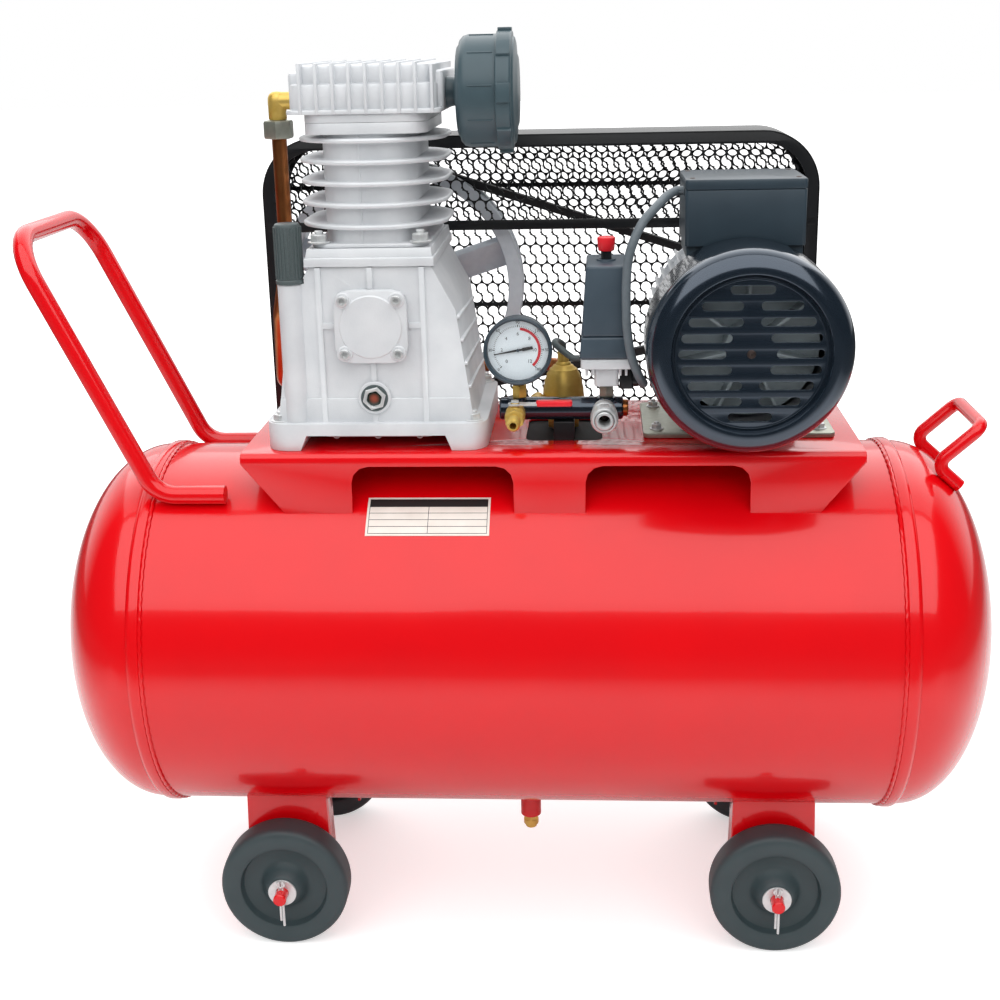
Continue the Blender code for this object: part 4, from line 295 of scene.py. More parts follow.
# Rating plate: a bare printed foil on the front of the shell, bent to its curve and glued on.
# It has an empty ruled frame with a dark heading band.
PLATE_LEFT, PLATE_RIGHT = -0.1405, -0.0233
PLATE_LOW, PLATE_HIGH = math.radians(46.5), math.radians(60.2)
PLATE_FOIL, PLATE_INK, PLATE_GLUE = 0.0005, 0.0001, 0.0001
PLATE_MARGIN, PLATE_HEADING, PLATE_RULES, PLATE_RULE = 0.0022, 0.0095, 4, 0.0005
PLATE_CUTS = 9


def wrapped(left, right, low, high, foot, thickness):
    """A strip bent round the shell's front, from one arc length to another above its middle height."""
    work = bmesh.new()
    bmesh.ops.create_cube(work, size=1.0)
    bmesh.ops.subdivide_edges(work, edges=[e for e in work.edges if e.verts[0].co.y != e.verts[1].co.y],
                              cuts=PLATE_CUTS, use_grid_fill=True)
    for vertex in work.verts:
        along = left + (vertex.co.x + 0.5) * (right - left)
        angle = (low + (vertex.co.y + 0.5) * (high - low)) / SHELL_RADIUS
        reach = SHELL_RADIUS + foot + (vertex.co.z + 0.5) * thickness
        vertex.co = (along, tank_middle.y - reach * math.cos(angle), tank_middle.z + reach * math.sin(angle))
    bmesh.ops.recalc_face_normals(work, faces=work.faces)
    return work


def toned(name, size_mm, first, second, detail=2.0, grain_mm=None, grain_detail=2.0, relief=None, rough=None,
          grain_rough=None, **values):
    """A finish that drifts between two tones; the drift or a finer grain may dull it and raise it.

    The relief is a distance and a strength, and each roughness a pair of ends.
    """
    made, tree, shader, place = new_finish(name, **values)
    drift = add_node(tree, "ShaderNodeTexNoise", {"Vector": place, "Scale": 1000 / size_mm, "Detail": detail})
    grain = drift
    if grain_mm:
        grain = add_node(tree, "ShaderNodeTexNoise", {"Vector": place, "Scale": 1000 / grain_mm,
                                                      "Detail": grain_detail})
    tint = add_node(tree, "ShaderNodeMixRGB", {"Fac": drift.outputs["Fac"], "Color1": linear(first),
                                               "Color2": linear(second)})
    tree.links.new(tint.outputs["Color"], shader.inputs["Base Color"])
    for pattern, ends in ((drift, rough), (grain, grain_rough)):
        if ends:
            dull = add_node(tree, "ShaderNodeMapRange", {"Value": pattern.outputs["Fac"], "To Min": ends[0],
                                                         "To Max": ends[1]})
            tree.links.new(dull.outputs["Result"], shader.inputs["Roughness"])
    if relief:
        bump = add_node(tree, "ShaderNodeBump", {"Height": grain.outputs["Fac"], "Distance": relief[0],
                                                 "Strength": relief[1]})
        tree.links.new(bump.outputs["Normal"], shader.inputs["Normal"])
    return made


# Printed polyester foil: a satin silver-white ground, a little cloudy, with matt black ink on it.
FOIL_CLOUD_MM = 18
foil = toned("printed_foil", FOIL_CLOUD_MM, "#D9CFC6", "#EDE6DE", Roughness=0.35, Metallic=0.15)
black_ink = toned("black_plate_ink", FOIL_CLOUD_MM, "#0E0D0F", "#1A1819", Roughness=0.5)
arc_low, arc_high = PLATE_LOW * SHELL_RADIUS, PLATE_HIGH * SHELL_RADIUS
shapes = [(wrapped(PLATE_LEFT, PLATE_RIGHT, arc_low, arc_high, PLATE_GLUE, PLATE_FOIL), 0)]
ink_foot = PLATE_GLUE + PLATE_FOIL
left, right = PLATE_LEFT + PLATE_MARGIN, PLATE_RIGHT - PLATE_MARGIN
head_low = arc_high - PLATE_MARGIN - PLATE_HEADING
shapes.append((wrapped(left, right, head_low, arc_high - PLATE_MARGIN, ink_foot, PLATE_INK), 1))
pitch = (head_low - arc_low - PLATE_MARGIN) / PLATE_RULES
for i in range(PLATE_RULES):
    level = arc_low + PLATE_MARGIN + i * pitch
    shapes.append((wrapped(left, right, level, level + PLATE_RULE, ink_foot, PLATE_INK), 1))
for edge in (left, (left + right) / 2, right - PLATE_RULE):
    rule = wrapped(edge, edge + PLATE_RULE, arc_low + PLATE_MARGIN, head_low, ink_foot, PLATE_INK)
    shapes.append((rule, 1))
piece("rating_plate", "frame", shapes, [foil, black_ink], [])

# Drain under the receiver: a welded boss in the receiver's red, a brass hexagon screwed into it,
# and a knurled brass drain screw with its outlet in the end.
DRAIN_KNURLS, KNURL_SIZE, BOSS_WELD = 20, (0.0006, 0.0007, 0.0026), 0.002
SHARP = math.radians(28)


def eased(work, radius, segments=2):
    """Rounds every sharp edge of a shape."""
    edges = [e for e in work.edges if len(e.link_faces) == 2 and e.calc_face_angle(0.0) > SHARP]
    bmesh.ops.bevel(work, geom=edges, offset=radius, offset_type="OFFSET", segments=segments, profile=0.5,
                    affect="EDGES", clamp_overlap=True, material=-1)
    return work


def slab(size, corner=0.0, ease=0.0, rounds=10):
    """A block about its middle with round upright corners and eased edges."""
    work = bmesh.new()
    bmesh.ops.create_cube(work, size=1.0)
    bmesh.ops.scale(work, vec=size, verts=work.verts)
    if corner:
        edges = [e for e in work.edges if abs(e.verts[0].co.z - e.verts[1].co.z) > size[2] / 2]
        bmesh.ops.bevel(work, geom=edges, offset=corner, segments=rounds, profile=0.5, affect="EDGES",
                        material=-1)
    return eased(work, ease) if ease else work


def around(make, count, out, place, turn=UP, axis="Z", share=0.0):
    """Copies of a shape, each moved out from an axis and turned on round it."""
    steps = [Matrix.Rotation(2 * math.pi * (i + share) / count, 4, axis) for i in range(count)]
    return [(put(put(make(), out), place, turn @ step), 0) for step in steps]


def hexagon(radius, height, chamfer=0.0008):
    """A six-sided prism on the ground, its end corners turned off."""
    work = bmesh.new()
    bmesh.ops.create_cone(work, cap_ends=True, segments=6, radius1=radius, radius2=radius, depth=height)
    bmesh.ops.translate(work, vec=(0, 0, height / 2), verts=work.verts)
    edges = [e for e in work.edges if e.verts[0].co.z == e.verts[1].co.z]
    bmesh.ops.bevel(work, geom=edges, offset=chamfer, segments=2, profile=0.5, affect="EDGES", material=-1)
    return work


# Turned brass: a warm yellow metal with faint tool marks and a little tarnish in patches.
BRASS_TARNISH_MM = 9
brass = toned("turned_brass", BRASS_TARNISH_MM, "#CFA43E", "#F2D47C", 4.0, rough=(0.48, 0.32), Metallic=0.65)

low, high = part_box("drain_boss")
middle = (low + high) / 2
reach = (high.x - low.x) / 2
boss = turned([(0, 0), (reach - 0.001, 0), (reach, 0.001), (reach, high.z - low.z - 0.0012),
               (0, high.z - low.z - 0.0012)], 48)
weld = turned(bead_section(reach, BOSS_WELD, BOSS_WELD), 48, ring=True)
piece("drain_boss_welded", "frame", [(put(boss, (middle.x, middle.y, low.z)), 0),
                                     (put(weld, (middle.x, middle.y, high.z - BOSS_WELD)), 0)],
      [red_enamel], ["drain_boss"])
low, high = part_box("drain_valve_body")
depth = high.z - low.z
nut = hexagon((high.x - low.x) / 2, depth * 0.55)
throat = turned([(0.0064, 0), (0.0076, 0), (0.0080, 0.0006), (0.0080, depth * 0.5), (0.0064, depth * 0.5)],
                40, ring=True)
piece("drain_valve_hexagon", "frame", [(put(nut, (middle.x, middle.y, low.z + depth * 0.45)), 0),
                                       (put(throat, (middle.x, middle.y, low.z)), 0)],
      [brass], ["drain_valve_body"])
low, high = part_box("drain_valve_screw")
reach, depth = (high.x - low.x) / 2, high.z - low.z
knob = turned([(0, 0.003), (0.0022, 0.003), (0.0022, 0), (reach - 0.0008, 0), (reach - 0.0003, 0.0006),
               (reach - 0.0003, 0.0034), (reach - 0.0010, 0.0040), (reach - 0.0010, depth), (0, depth)], 40)
foot = (middle.x, middle.y, low.z)
shapes = [(put(knob, foot), 0)]
shapes += around(lambda: slab(KNURL_SIZE), DRAIN_KNURLS, (reach - 0.0003, 0, 0.0020), foot)
piece("drain_screw_knurled", "drain_screw", shapes, [brass], ["drain_valve_screw"])

# Legs: four channels folded from 3 mm sheet and welded under the receiver, sprayed with it.
# Each pair holds a plain round axle bar that passes through both.
LEG_EASE, AXLE_CHAMFER = 0.0016, 0.001
TO_REAR = Matrix.Rotation(-math.pi / 2, 4, "X")
CORNERS = ("front_left", "front_right", "rear_left", "rear_right")


def cad_copy(node, ease):
    """The solid of a node with its triangles joined into faces and its edges rounded."""
    work = bmesh.new()
    work.from_mesh(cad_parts[node].data)
    bmesh.ops.remove_doubles(work, verts=work.verts, dist=2e-6)
    bmesh.ops.dissolve_limit(work, angle_limit=math.radians(1), verts=work.verts, edges=work.edges)
    return eased(work, ease)


for corner in CORNERS:
    piece("leg_folded_" + corner, "frame", [(cad_copy("leg_" + corner, LEG_EASE), 0)], [red_enamel],
          ["leg_" + corner])
for side in ("left", "right"):
    low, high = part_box("axle_" + side)
    middle = (low + high) / 2
    reach, length = (high.x - low.x) / 2, high.y - low.y
    axle = turned([(0, 0), (reach - AXLE_CHAMFER, 0), (reach, AXLE_CHAMFER), (reach, length - AXLE_CHAMFER),
                   (reach - AXLE_CHAMFER, length), (0, length)], 48)
    piece("axle_bar_" + side, "frame", [(put(axle, (middle.x, low.y, middle.z), TO_REAR), 0)], [red_enamel],
          ["axle_" + side])

# Wheels: one-piece mouldings of dark slate polypropylene with a flat tyre ring, a sunk web and a long hub.
# A zinc washer and a split pin through the axle hold each one.
WHEEL_HALF = 0.0168
WASHER_BORE, WASHER_RADIUS, WASHER_THICKNESS = 0.0068, 0.0142, 0.0016
WASHER_CHAMFER, WASHER_GAP = 0.0003, 0.0003
PIN_WIRE, PIN_EYE, PIN_TAIL, PIN_SHORT = 0.001275, 0.0036, 0.034, 0.028
PIN_OUT, PIN_NECK, PIN_EYE_RISE, PIN_SPREAD = 0.0062, 0.0085, 0.0125, 0.00135
TO_FRONT = Matrix.Rotation(math.pi / 2, 4, "X")

# Moulded polypropylene: a dull satin slate with a fine spark-eroded grain and scuffs on the high spots.
SLATE_GRAIN_MM, SLATE_SCUFF_MM = 1.1, 26
slate_tyre = toned("moulded_slate_polypropylene", SLATE_SCUFF_MM, "#2E3C40", "#3D4A4D", 5.0,
                   grain_mm=SLATE_GRAIN_MM, relief=(0.00012, 0.5), rough=(0.42, 0.6))

# Bright zinc plate on steel: a pale, slightly blue metal with soft mottling from the bath.
ZINC_MOTTLE_MM = 5
zinc = toned("bright_zinc_plate", ZINC_MOTTLE_MM, "#CDD0D2", "#EEEFEE", 3.0, rough=(0.28, 0.46), Metallic=0.6)


def from_curve(curve):
    """The closed shape of a curve or text, which is used up."""
    holder = bpy.data.objects.new("outline", curve)
    bpy.context.scene.collection.objects.link(holder)
    bpy.context.view_layer.update()
    mesh = bpy.data.meshes.new_from_object(holder.evaluated_get(bpy.context.evaluated_depsgraph_get()))
    work = bmesh.new()
    work.from_mesh(mesh)
    bpy.data.objects.remove(holder)
    bpy.data.curves.remove(curve)
    bpy.data.meshes.remove(mesh)
    bmesh.ops.remove_doubles(work, verts=work.verts, dist=1e-7)
    bmesh.ops.recalc_face_normals(work, faces=work.faces)
    return work


def trace(curve, path, closed=False):
    """Adds a path of straight runs to a curve."""
    spline = curve.splines.new("POLY")
    spline.points.add(len(path) - 1)
    spline.use_cyclic_u = closed
    for point, place in zip(spline.points, path):
        point.co = (*Vector(place).to_3d(), 1.0)


def round_bar(name, path, radius, rounds):
    """A curve along a path with a round section and closed ends."""
    curve = bpy.data.curves.new(name, "CURVE")
    curve.dimensions = "3D"
    curve.bevel_depth = radius
    curve.bevel_resolution = rounds
    curve.use_fill_caps = True
    trace(curve, path)
    return curve


def drawn(path, radius, rounds):
    """The shape of a round bar along a path."""
    return from_curve(round_bar("bar", path, radius, rounds))


for corner in CORNERS:
    low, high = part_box("wheel_" + corner)
    middle = (low + high) / 2
    hub = (high.y - low.y) / 2
    axle_low, axle_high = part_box("axle_left")
    axle_place = Vector((middle.x, middle.y, (axle_low.z + axle_high.z) / 2))
    reach = axle_place.z - low.z
    side = -1 if corner.startswith("front") else 1
    upper = [(0.0071, hub), (0.0138, hub), (0.0150, hub - 0.0006), (0.0172, hub - 0.0030),
             (0.0205, hub - 0.0090), (0.0232, 0.0080), (0.0262, 0.0062), (0.0300, 0.0060), (0.0395, 0.0078),
             (0.0418, 0.0084), (0.0428, 0.0100), (0.0433, 0.0140), (0.0441, 0.0158), (0.0458, WHEEL_HALF),
             (0.0560, 0.0170), (0.0600, 0.0166), (reach - 0.0014, 0.0146), (reach - 0.0002, 0.0115),
             (reach, 0.0080)]
    wheel = turned(upper + [(radius, -height) for radius, height in upper[::-1]], 96, ring=True)
    piece("wheel_moulded_" + corner, "wheel_" + corner, [(put(wheel, axle_place, TO_FRONT), 0)],
          [slate_tyre], ["wheel_" + corner])
    face_y = (low.y if side < 0 else high.y) + side * WASHER_GAP
    washer = turned([(WASHER_BORE, 0), (WASHER_RADIUS, 0), (WASHER_RADIUS, WASHER_THICKNESS - WASHER_CHAMFER),
                     (WASHER_RADIUS - WASHER_CHAMFER, WASHER_THICKNESS), (WASHER_BORE, WASHER_THICKNESS)], 48,
                    ring=True)
    put(washer, (middle.x, face_y, axle_place.z), TO_FRONT if side < 0 else TO_REAR)
    eye = [math.radians(degrees) for degrees in range(-150, 151, 20)]
    bow = [(-PIN_SPREAD, -PIN_SHORT), (-PIN_SPREAD, PIN_NECK)]
    bow += [(PIN_EYE * math.sin(a), PIN_EYE_RISE - PIN_EYE * math.cos(a)) for a in eye]
    bow += [(PIN_SPREAD, PIN_NECK), (PIN_SPREAD, -PIN_TAIL)]
    route = [(middle.x + x, face_y + side * PIN_OUT, axle_place.z + z) for x, z in bow]
    piece("washer_and_pin_" + corner, "frame", [(washer, 0), (drawn(route, PIN_WIRE, 3), 0)], [zinc],
          [])

# Push handle: one steel tube bent into a long hoop, its open feet welded along the receiver's left shoulders.
# The towing loop on the right dome is a bent round bar with short tails; both are red like the receiver.
PUSH_TUBE, PUSH_HALF, PUSH_WALL, PUSH_MOUTH = 0.009, 0.100, 0.0016, 0.018
PUSH_FOOT_LENGTH, PUSH_RISE, PUSH_ANGLE = 0.067, 0.245, math.radians(65)
PUSH_FOOT_BEND, PUSH_TOP_BEND = 0.030, 0.045
PUSH_SEAM, PUSH_SEAM_STEP, PUSH_SEAM_STEPS, PUSH_SEAM_WAVE = 0.0024, 0.002, 20, 0.0004
PUSH_SEAM_START, PUSH_SEAM_IN, PUSH_SEAM_DROP = 0.004, 0.0046, 0.0062
TOW_ROD, TOW_HALF, TOW_BEND = 0.0065, 0.050, 0.011
TOW_STUB, TOW_HEEL, TOW_TIP = (0.42503, 0.45769), (0.40113, 0.47911), (0.44275, 0.51659)
TOW_SEAM, TOW_SEAM_STEPS, TOW_SEAM_OUT, TOW_SEAM_DROP = 0.0022, 18, 0.0048, 0.0042


def bent(corners, radius, count=10):
    """A path through corner points, each inner corner rounded to a bend radius."""
    corners = [Vector(corner) for corner in corners]
    path = [corners[0]]
    for before, corner, after in zip(corners, corners[1:], corners[2:]):
        back, ahead = (before - corner).normalized(), (after - corner).normalized()
        half = back.angle(ahead) / 2
        centre = corner + (back + ahead).normalized() * radius / math.sin(half)
        first = corner + back * radius / math.tan(half) - centre
        last = corner + ahead * radius / math.tan(half) - centre
        span = first.angle(last)
        for i in range(count + 1):
            past = span * i / count
            path.append(centre + (first * math.sin(span - past) + last * math.sin(past)) / math.sin(span))
    return path + [corners[-1]]


low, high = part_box("push_handle")
foot_z, mid_y = low.z + PUSH_TUBE, (low.y + high.y) / 2
bend_x = high.x - PUSH_FOOT_LENGTH
top = Vector((bend_x - PUSH_RISE / math.tan(PUSH_ANGLE), mid_y, foot_z + PUSH_RISE))
near = [Vector((high.x, mid_y - PUSH_HALF, foot_z)), Vector((bend_x, mid_y - PUSH_HALF, foot_z))]
corner = top - Vector((0, PUSH_HALF, 0))
one_side = bent([near[0], near[1], corner], PUSH_FOOT_BEND)[:-1]
one_side += bent([near[1], corner, top], PUSH_TOP_BEND)[1:-1]
route = one_side + [Vector((p.x, 2 * mid_y - p.y, p.z)) for p in one_side[::-1]]
hoop = drawn(route, PUSH_TUBE, 10)
mouths = [f for f in hoop.faces if abs(f.normal.x) > 0.99 and len(f.verts) > 8]
bmesh.ops.inset_individual(hoop, faces=mouths, thickness=PUSH_WALL)
for face in bmesh.ops.extrude_discrete_faces(hoop, faces=mouths)["faces"]:
    bmesh.ops.translate(hoop, vec=-face.normal * PUSH_MOUTH, verts=face.verts)
shapes = [(hoop, 0)]
for side in (-1, 1):
    seam = [(high.x - PUSH_SEAM_START - i * PUSH_SEAM_STEP,
             mid_y + side * (PUSH_HALF - PUSH_SEAM_IN - PUSH_SEAM_WAVE * (i % 2)), foot_z - PUSH_SEAM_DROP)
            for i in range(PUSH_SEAM_STEPS)]
    shapes.append((drawn(seam, PUSH_SEAM, 3), 0))
piece("push_handle_tube", "frame", shapes, [red_enamel], ["push_handle"])
low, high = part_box("tow_handle")
mid_y = (low.y + high.y) / 2
corners = [(x, mid_y - TOW_HALF, z) for x, z in (TOW_STUB, TOW_HEEL, TOW_TIP)]
corners += [(x, mid_y + TOW_HALF, z) for x, z in (TOW_TIP, TOW_HEEL, TOW_STUB)]
shapes = [(drawn(bent(corners, TOW_BEND, 8), TOW_ROD, 8), 0)]
heel, stub = Vector((TOW_HEEL[0], 0, TOW_HEEL[1])), Vector((TOW_STUB[0], 0, TOW_STUB[1]))
for side in (-1, 1):
    for lean in (-1, 1):
        foot = Vector((0, mid_y + side * TOW_HALF + lean * TOW_SEAM_OUT, -TOW_SEAM_DROP))
        seam = [heel.lerp(stub, 0.25 + 0.03 * i) + foot for i in range(TOW_SEAM_STEPS)]
        shapes.append((drawn(seam, TOW_SEAM, 3), 0))
piece("tow_loop_bar", "frame", shapes, [red_enamel], ["tow_handle"])

# Deck: one sheet folded down along both sides, notched over the receiver and welded to it.
# It carries the pump and the motor and is sprayed with the receiver.
DECK_EASE = 0.0009
piece("deck_folded", "frame", [(cad_copy("deck", DECK_EASE), 0)], [red_enamel], ["deck"])

# Crankcase: a sand-cast aluminium box on four feet, blasted after casting, with a ribbed front,
# a filler neck at its left and a two-layer flange on top; hexagon bolts hold it to the deck.
CASE_EASE = 0.0009
CASE_FOOT, CASE_WAIST = (0.093, 0.0257), (0.078, 0.132)
LEDGE_RISE, LEDGE_PROUD = 0.049, 0.0016
FLANK_RIBS, FLANK_RIB_SIZE, FLANK_RIB_FALL = (0.054, 0.076, 0.098, 0.1195), (0.0044, 0.170, 0.0030), -0.06
FLANGE_SIZE, FLANGE_INSET, REAR_HOUSING = (0.120, 0.1791, 0.0080), 0.0030, 0.018
TUNNEL_HALF, TUNNEL_HEIGHT, TUNNEL_SPLAY = 0.066, 0.0145, 0.006
NECK_RADIUS, NECK_BORE, NECK_FOOT, NECK_CHAMFER = 0.0119, 0.004, 0.025, 0.001
FOOT_BOLT, FOOT_BOLT_X, FOOT_BOLT_Y, FOOT_TOP = 0.0070, 0.092, (0.004, 0.168), 0.0263
BLOCK_FOOT, BLOCK_BOLT, BLOCK_BOLT_X, BLOCK_BOLT_IN = 0.0036, 0.0080, 0.047, 0.013

# Blasted cast aluminium: a pale matt grey with a fine grain, faint flow clouds and darker hollows.
CAST_GRAIN_MM, CAST_CLOUD_MM = 1.3, 38
cast_aluminium = toned("blasted_cast_aluminium", CAST_CLOUD_MM, "#C6CACE", "#E9EAEC", 4.0,
                       grain_mm=CAST_GRAIN_MM, relief=(0.00025, 0.45), grain_rough=(0.4, 0.58), Metallic=0.25)


def bolt(place, size):
    """A hexagon head with its stud end and washer, standing on a face."""
    head = hexagon(size, size * 0.8, size * 0.09)
    bmesh.ops.translate(head, vec=(0, 0, size * 0.22), verts=head.verts)
    stud = turned([(0, size), (size * 0.42, size), (size * 0.5, size * 1.3), (size * 0.4, size * 1.42),
                   (0, size * 1.42)], 20)
    washer = turned([(0, 0), (size * 1.3, 0), (size * 1.3, size * 0.16), (size * 1.22, size * 0.22),
                     (0, size * 0.22)], 32)
    return [(put(work, place), 1) for work in (head, stud, washer)]


def cut_sheet(loops, thickness, ease=0.0):
    """A flat sheet about its middle, cut to the first loop, with a hole at each other loop."""
    curve = bpy.data.curves.new("sheet", "CURVE")
    curve.dimensions = "2D"
    curve.fill_mode = "BOTH"
    curve.extrude = thickness / 2 - ease
    curve.bevel_depth = ease
    curve.bevel_resolution = 1
    curve.offset = -ease
    for loop in loops:
        trace(curve, loop, closed=True)
    return from_curve(curve)


low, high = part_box("crankcase")
cover_low, cover_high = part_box("bearing_cover")
cap_low, cap_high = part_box("breather_cap")
block_low, block_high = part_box("cylinder_block")
pump_x = (cover_low.x + cover_high.x) / 2
crank_z = (cover_low.z + cover_high.z) / 2
front_y = cover_high.y + 0.0003
neck_x, neck_y = (cap_low.x + cap_high.x) / 2, (cap_low.y + cap_high.y) / 2
deck_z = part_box("deck")[1].z
case_y = (front_y + high.y - REAR_HOUSING) / 2
casting = cad_copy("crankcase", CASE_EASE)
for vertex in casting.verts:
    rise, aside = vertex.co.z - deck_z, vertex.co.x - pump_x
    if rise < TUNNEL_HEIGHT and abs(abs(aside) - TUNNEL_HALF) < 2 * CASE_EASE:
        vertex.co.x += math.copysign(TUNNEL_SPLAY * (1 - rise / TUNNEL_HEIGHT), aside)
    if high.z - vertex.co.z < FLANGE_SIZE[2]:
        vertex.co.x -= math.copysign(FLANGE_INSET, aside)
        vertex.co.y -= math.copysign(FLANGE_INSET, vertex.co.y - case_y)
strip = slab(FLANGE_SIZE, ease=CASE_EASE)
shapes = [(casting, 0), (put(strip, (pump_x, case_y, high.z - 1.5 * FLANGE_SIZE[2])), 0)]


def flank_half(rise):
    """Half width of the case's sloped flanks at a height above the deck."""
    share = (rise - CASE_FOOT[1]) / (CASE_WAIST[1] - CASE_FOOT[1])
    return CASE_FOOT[0] + (CASE_WAIST[0] - CASE_FOOT[0]) * share


ledge_half = flank_half(LEDGE_RISE)
ledge = cut_sheet([[(-CASE_FOOT[0], CASE_FOOT[1]), (CASE_FOOT[0], CASE_FOOT[1]), (ledge_half, LEDGE_RISE),
                    (-ledge_half, LEDGE_RISE)]], 2 * LEDGE_PROUD, 0.0006)
shapes.append((put(ledge, (pump_x, front_y, deck_z), TO_FRONT), 0))
for rise in FLANK_RIBS:
    rib = slab(FLANK_RIB_SIZE, ease=CASE_EASE)
    rib_place = (pump_x + flank_half(rise), case_y, deck_z + rise)
    shapes.append((put(rib, rib_place, Matrix.Rotation(FLANK_RIB_FALL, 4, "X")), 0))
neck_top = cap_low.z - deck_z - NECK_FOOT - 0.0002
neck = turned([(NECK_BORE, 0), (NECK_RADIUS, 0), (NECK_RADIUS, neck_top - NECK_CHAMFER),
               (NECK_RADIUS - NECK_CHAMFER, neck_top), (NECK_BORE, neck_top)], 48, ring=True)
shapes.append((put(neck, (neck_x, neck_y, deck_z + NECK_FOOT)), 0))
for side in (-1, 1):
    for y in FOOT_BOLT_Y:
        shapes += bolt((pump_x + side * FOOT_BOLT_X, front_y + y, deck_z + FOOT_TOP), FOOT_BOLT)
    for y in (block_low.y + BLOCK_BOLT_IN, block_high.y - BLOCK_BOLT_IN):
        shapes += bolt((pump_x + side * BLOCK_BOLT_X, y, block_low.z + BLOCK_FOOT + 0.0003), BLOCK_BOLT)
piece("crankcase_casting", "frame", shapes, [cast_aluminium, zinc], ["crankcase"])

# Bearing cover on the crankcase's front: a square cast plate with round corners and a low round crown,
# held by a socket screw in each corner. The sump cover below closes the tunnel and hangs by three.
COVER_CORNER, COVER_CROWN, COVER_BOSS, COVER_SPREAD = 0.017, 0.0295, 0.0076, 0.0248
COVER_PROUD, COVER_SCREW, COVER_STEP = 0.0015, 0.0048, 0.0025
SUMP_CORNER, SUMP_SCREW, SUMP_SCREWS = 0.012, 0.0034, (-0.040, 0.0, 0.040)


def socket_screw(place, turn, radius):
    """A cap screw with a round head and a key hole in it."""
    head = turned([(0, radius * 0.35), (radius * 0.5, radius * 0.35), (radius * 0.55, radius),
                   (radius * 0.88, radius), (radius, radius * 0.88), (radius, 0), (0, 0)], 28)
    return put(head, place, turn)


size = cover_high - cover_low
plate = size.y - COVER_STEP
square = slab((size.x, size.z, plate), COVER_CORNER, 0.0014)
shapes = [(put(square, (pump_x, cover_high.y - plate / 2, crank_z), TO_FRONT), 0)]
corners = [(x, z, COVER_BOSS) for x in (-COVER_SPREAD, COVER_SPREAD) for z in (-COVER_SPREAD, COVER_SPREAD)]
for x, z, reach in [(0, 0, COVER_CROWN)] + corners:
    crown = turned([(0, plate + COVER_PROUD), (reach - 0.0012, plate + COVER_PROUD), (reach, plate + 0.0003),
                    (reach, 0.002), (0, 0.002)], 96)
    shapes.append((put(crown, (pump_x + x, cover_high.y, crank_z + z), TO_FRONT), 0))
    if x:
        screw_y = cover_high.y - plate - COVER_PROUD + 0.0004
        shapes.append((socket_screw((pump_x + x, screw_y, crank_z + z), TO_FRONT, COVER_SCREW), 1))
piece("bearing_cap_cast", "frame", shapes, [cast_aluminium, zinc], ["bearing_cover"])
low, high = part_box("sump_cover")
middle = (low + high) / 2
shapes = [(put(slab(high - low, SUMP_CORNER, 0.0008), middle), 0)]
for x in SUMP_SCREWS:
    shapes.append((socket_screw((middle.x + x, low.y, middle.z - 0.0006), TO_FRONT, SUMP_SCREW), 1))
piece("sump_plate_cast", "frame", shapes, [cast_aluminium, zinc], ["sump_cover"])

# Oil sight glass: a pale flange, a dark seal and a plated hexagon round a dark lens, whose target spot
# shows dimly through the oil. The breather cap on the filler neck is a ribbed plastic thimble.
CAP_RIBS = 22
SEAL_RADIUS, HEXAGON_RADIUS, LENS_RADIUS = 0.0128, 0.0112, 0.0078
HEXAGON_TURN = 0.26
low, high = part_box("sight_glass")
middle = (low + high) / 2
reach, depth = (high.x - low.x) / 2, high.y - low.y

# Lens over oil: a dark green gloss with a dim red-brown spot in the middle that fades at its rim.
SPOT_FULL, SPOT_GONE = 0.0020, 0.0056
oil_lens, tree, shader, place = new_finish("oil_sight_lens", Roughness=0.08, Coat_Weight=0.5)
centre = -Vector((middle.x, low.y, middle.z))
centred = add_node(tree, "ShaderNodeMapping", {"Vector": place, "Location": centre}).outputs[0]
away = add_node(tree, "ShaderNodeVectorMath", {0: centred}, operation="LENGTH").outputs["Value"]
edge = add_node(tree, "ShaderNodeMapRange", {"Value": away, "From Min": SPOT_FULL, "From Max": SPOT_GONE})
tint = add_node(tree, "ShaderNodeMixRGB", {"Fac": edge.outputs["Result"], "Color1": linear("#8A4637"),
                                           "Color2": linear("#222C27")})
tree.links.new(tint.outputs["Color"], shader.inputs["Base Color"])

# Glass-filled nylon: a dark grey-green moulding, satin on the ribs, with a fine grain.
NYLON_GRAIN_MM = 1.6
dark_nylon = toned("moulded_dark_nylon", NYLON_GRAIN_MM, "#404A4B", "#586364", 3.0, relief=(0.0001, 0.4),
                   Roughness=0.42)
flange = turned([(0, depth - 0.0034), (reach - 0.0008, depth - 0.0034), (reach, depth - 0.0042), (reach, 0),
                 (0, 0)], 72)
seal = turned([(0, depth - 0.0026), (SEAL_RADIUS - 0.0006, depth - 0.0026), (SEAL_RADIUS, depth - 0.0032),
               (SEAL_RADIUS, 0.001), (0, 0.001)], 64)
bezel = turned([(LENS_RADIUS, depth), (HEXAGON_RADIUS - 0.0010, depth), (HEXAGON_RADIUS, depth - 0.0010),
                (HEXAGON_RADIUS, 0.001), (LENS_RADIUS, 0.001)], 6, ring=True)
ring = turned([(LENS_RADIUS - 0.0006, depth - 0.0006), (LENS_RADIUS + 0.0008, depth + 0.0002),
               (LENS_RADIUS + 0.0008, 0.001), (LENS_RADIUS - 0.0006, 0.001)], 64, ring=True)
dome = turned([(0, depth - 0.0010), (0.005, depth - 0.0012), (LENS_RADIUS, depth - 0.0018),
               (LENS_RADIUS, 0.001), (0, 0.001)], 48)
place = (middle.x, high.y, middle.z)
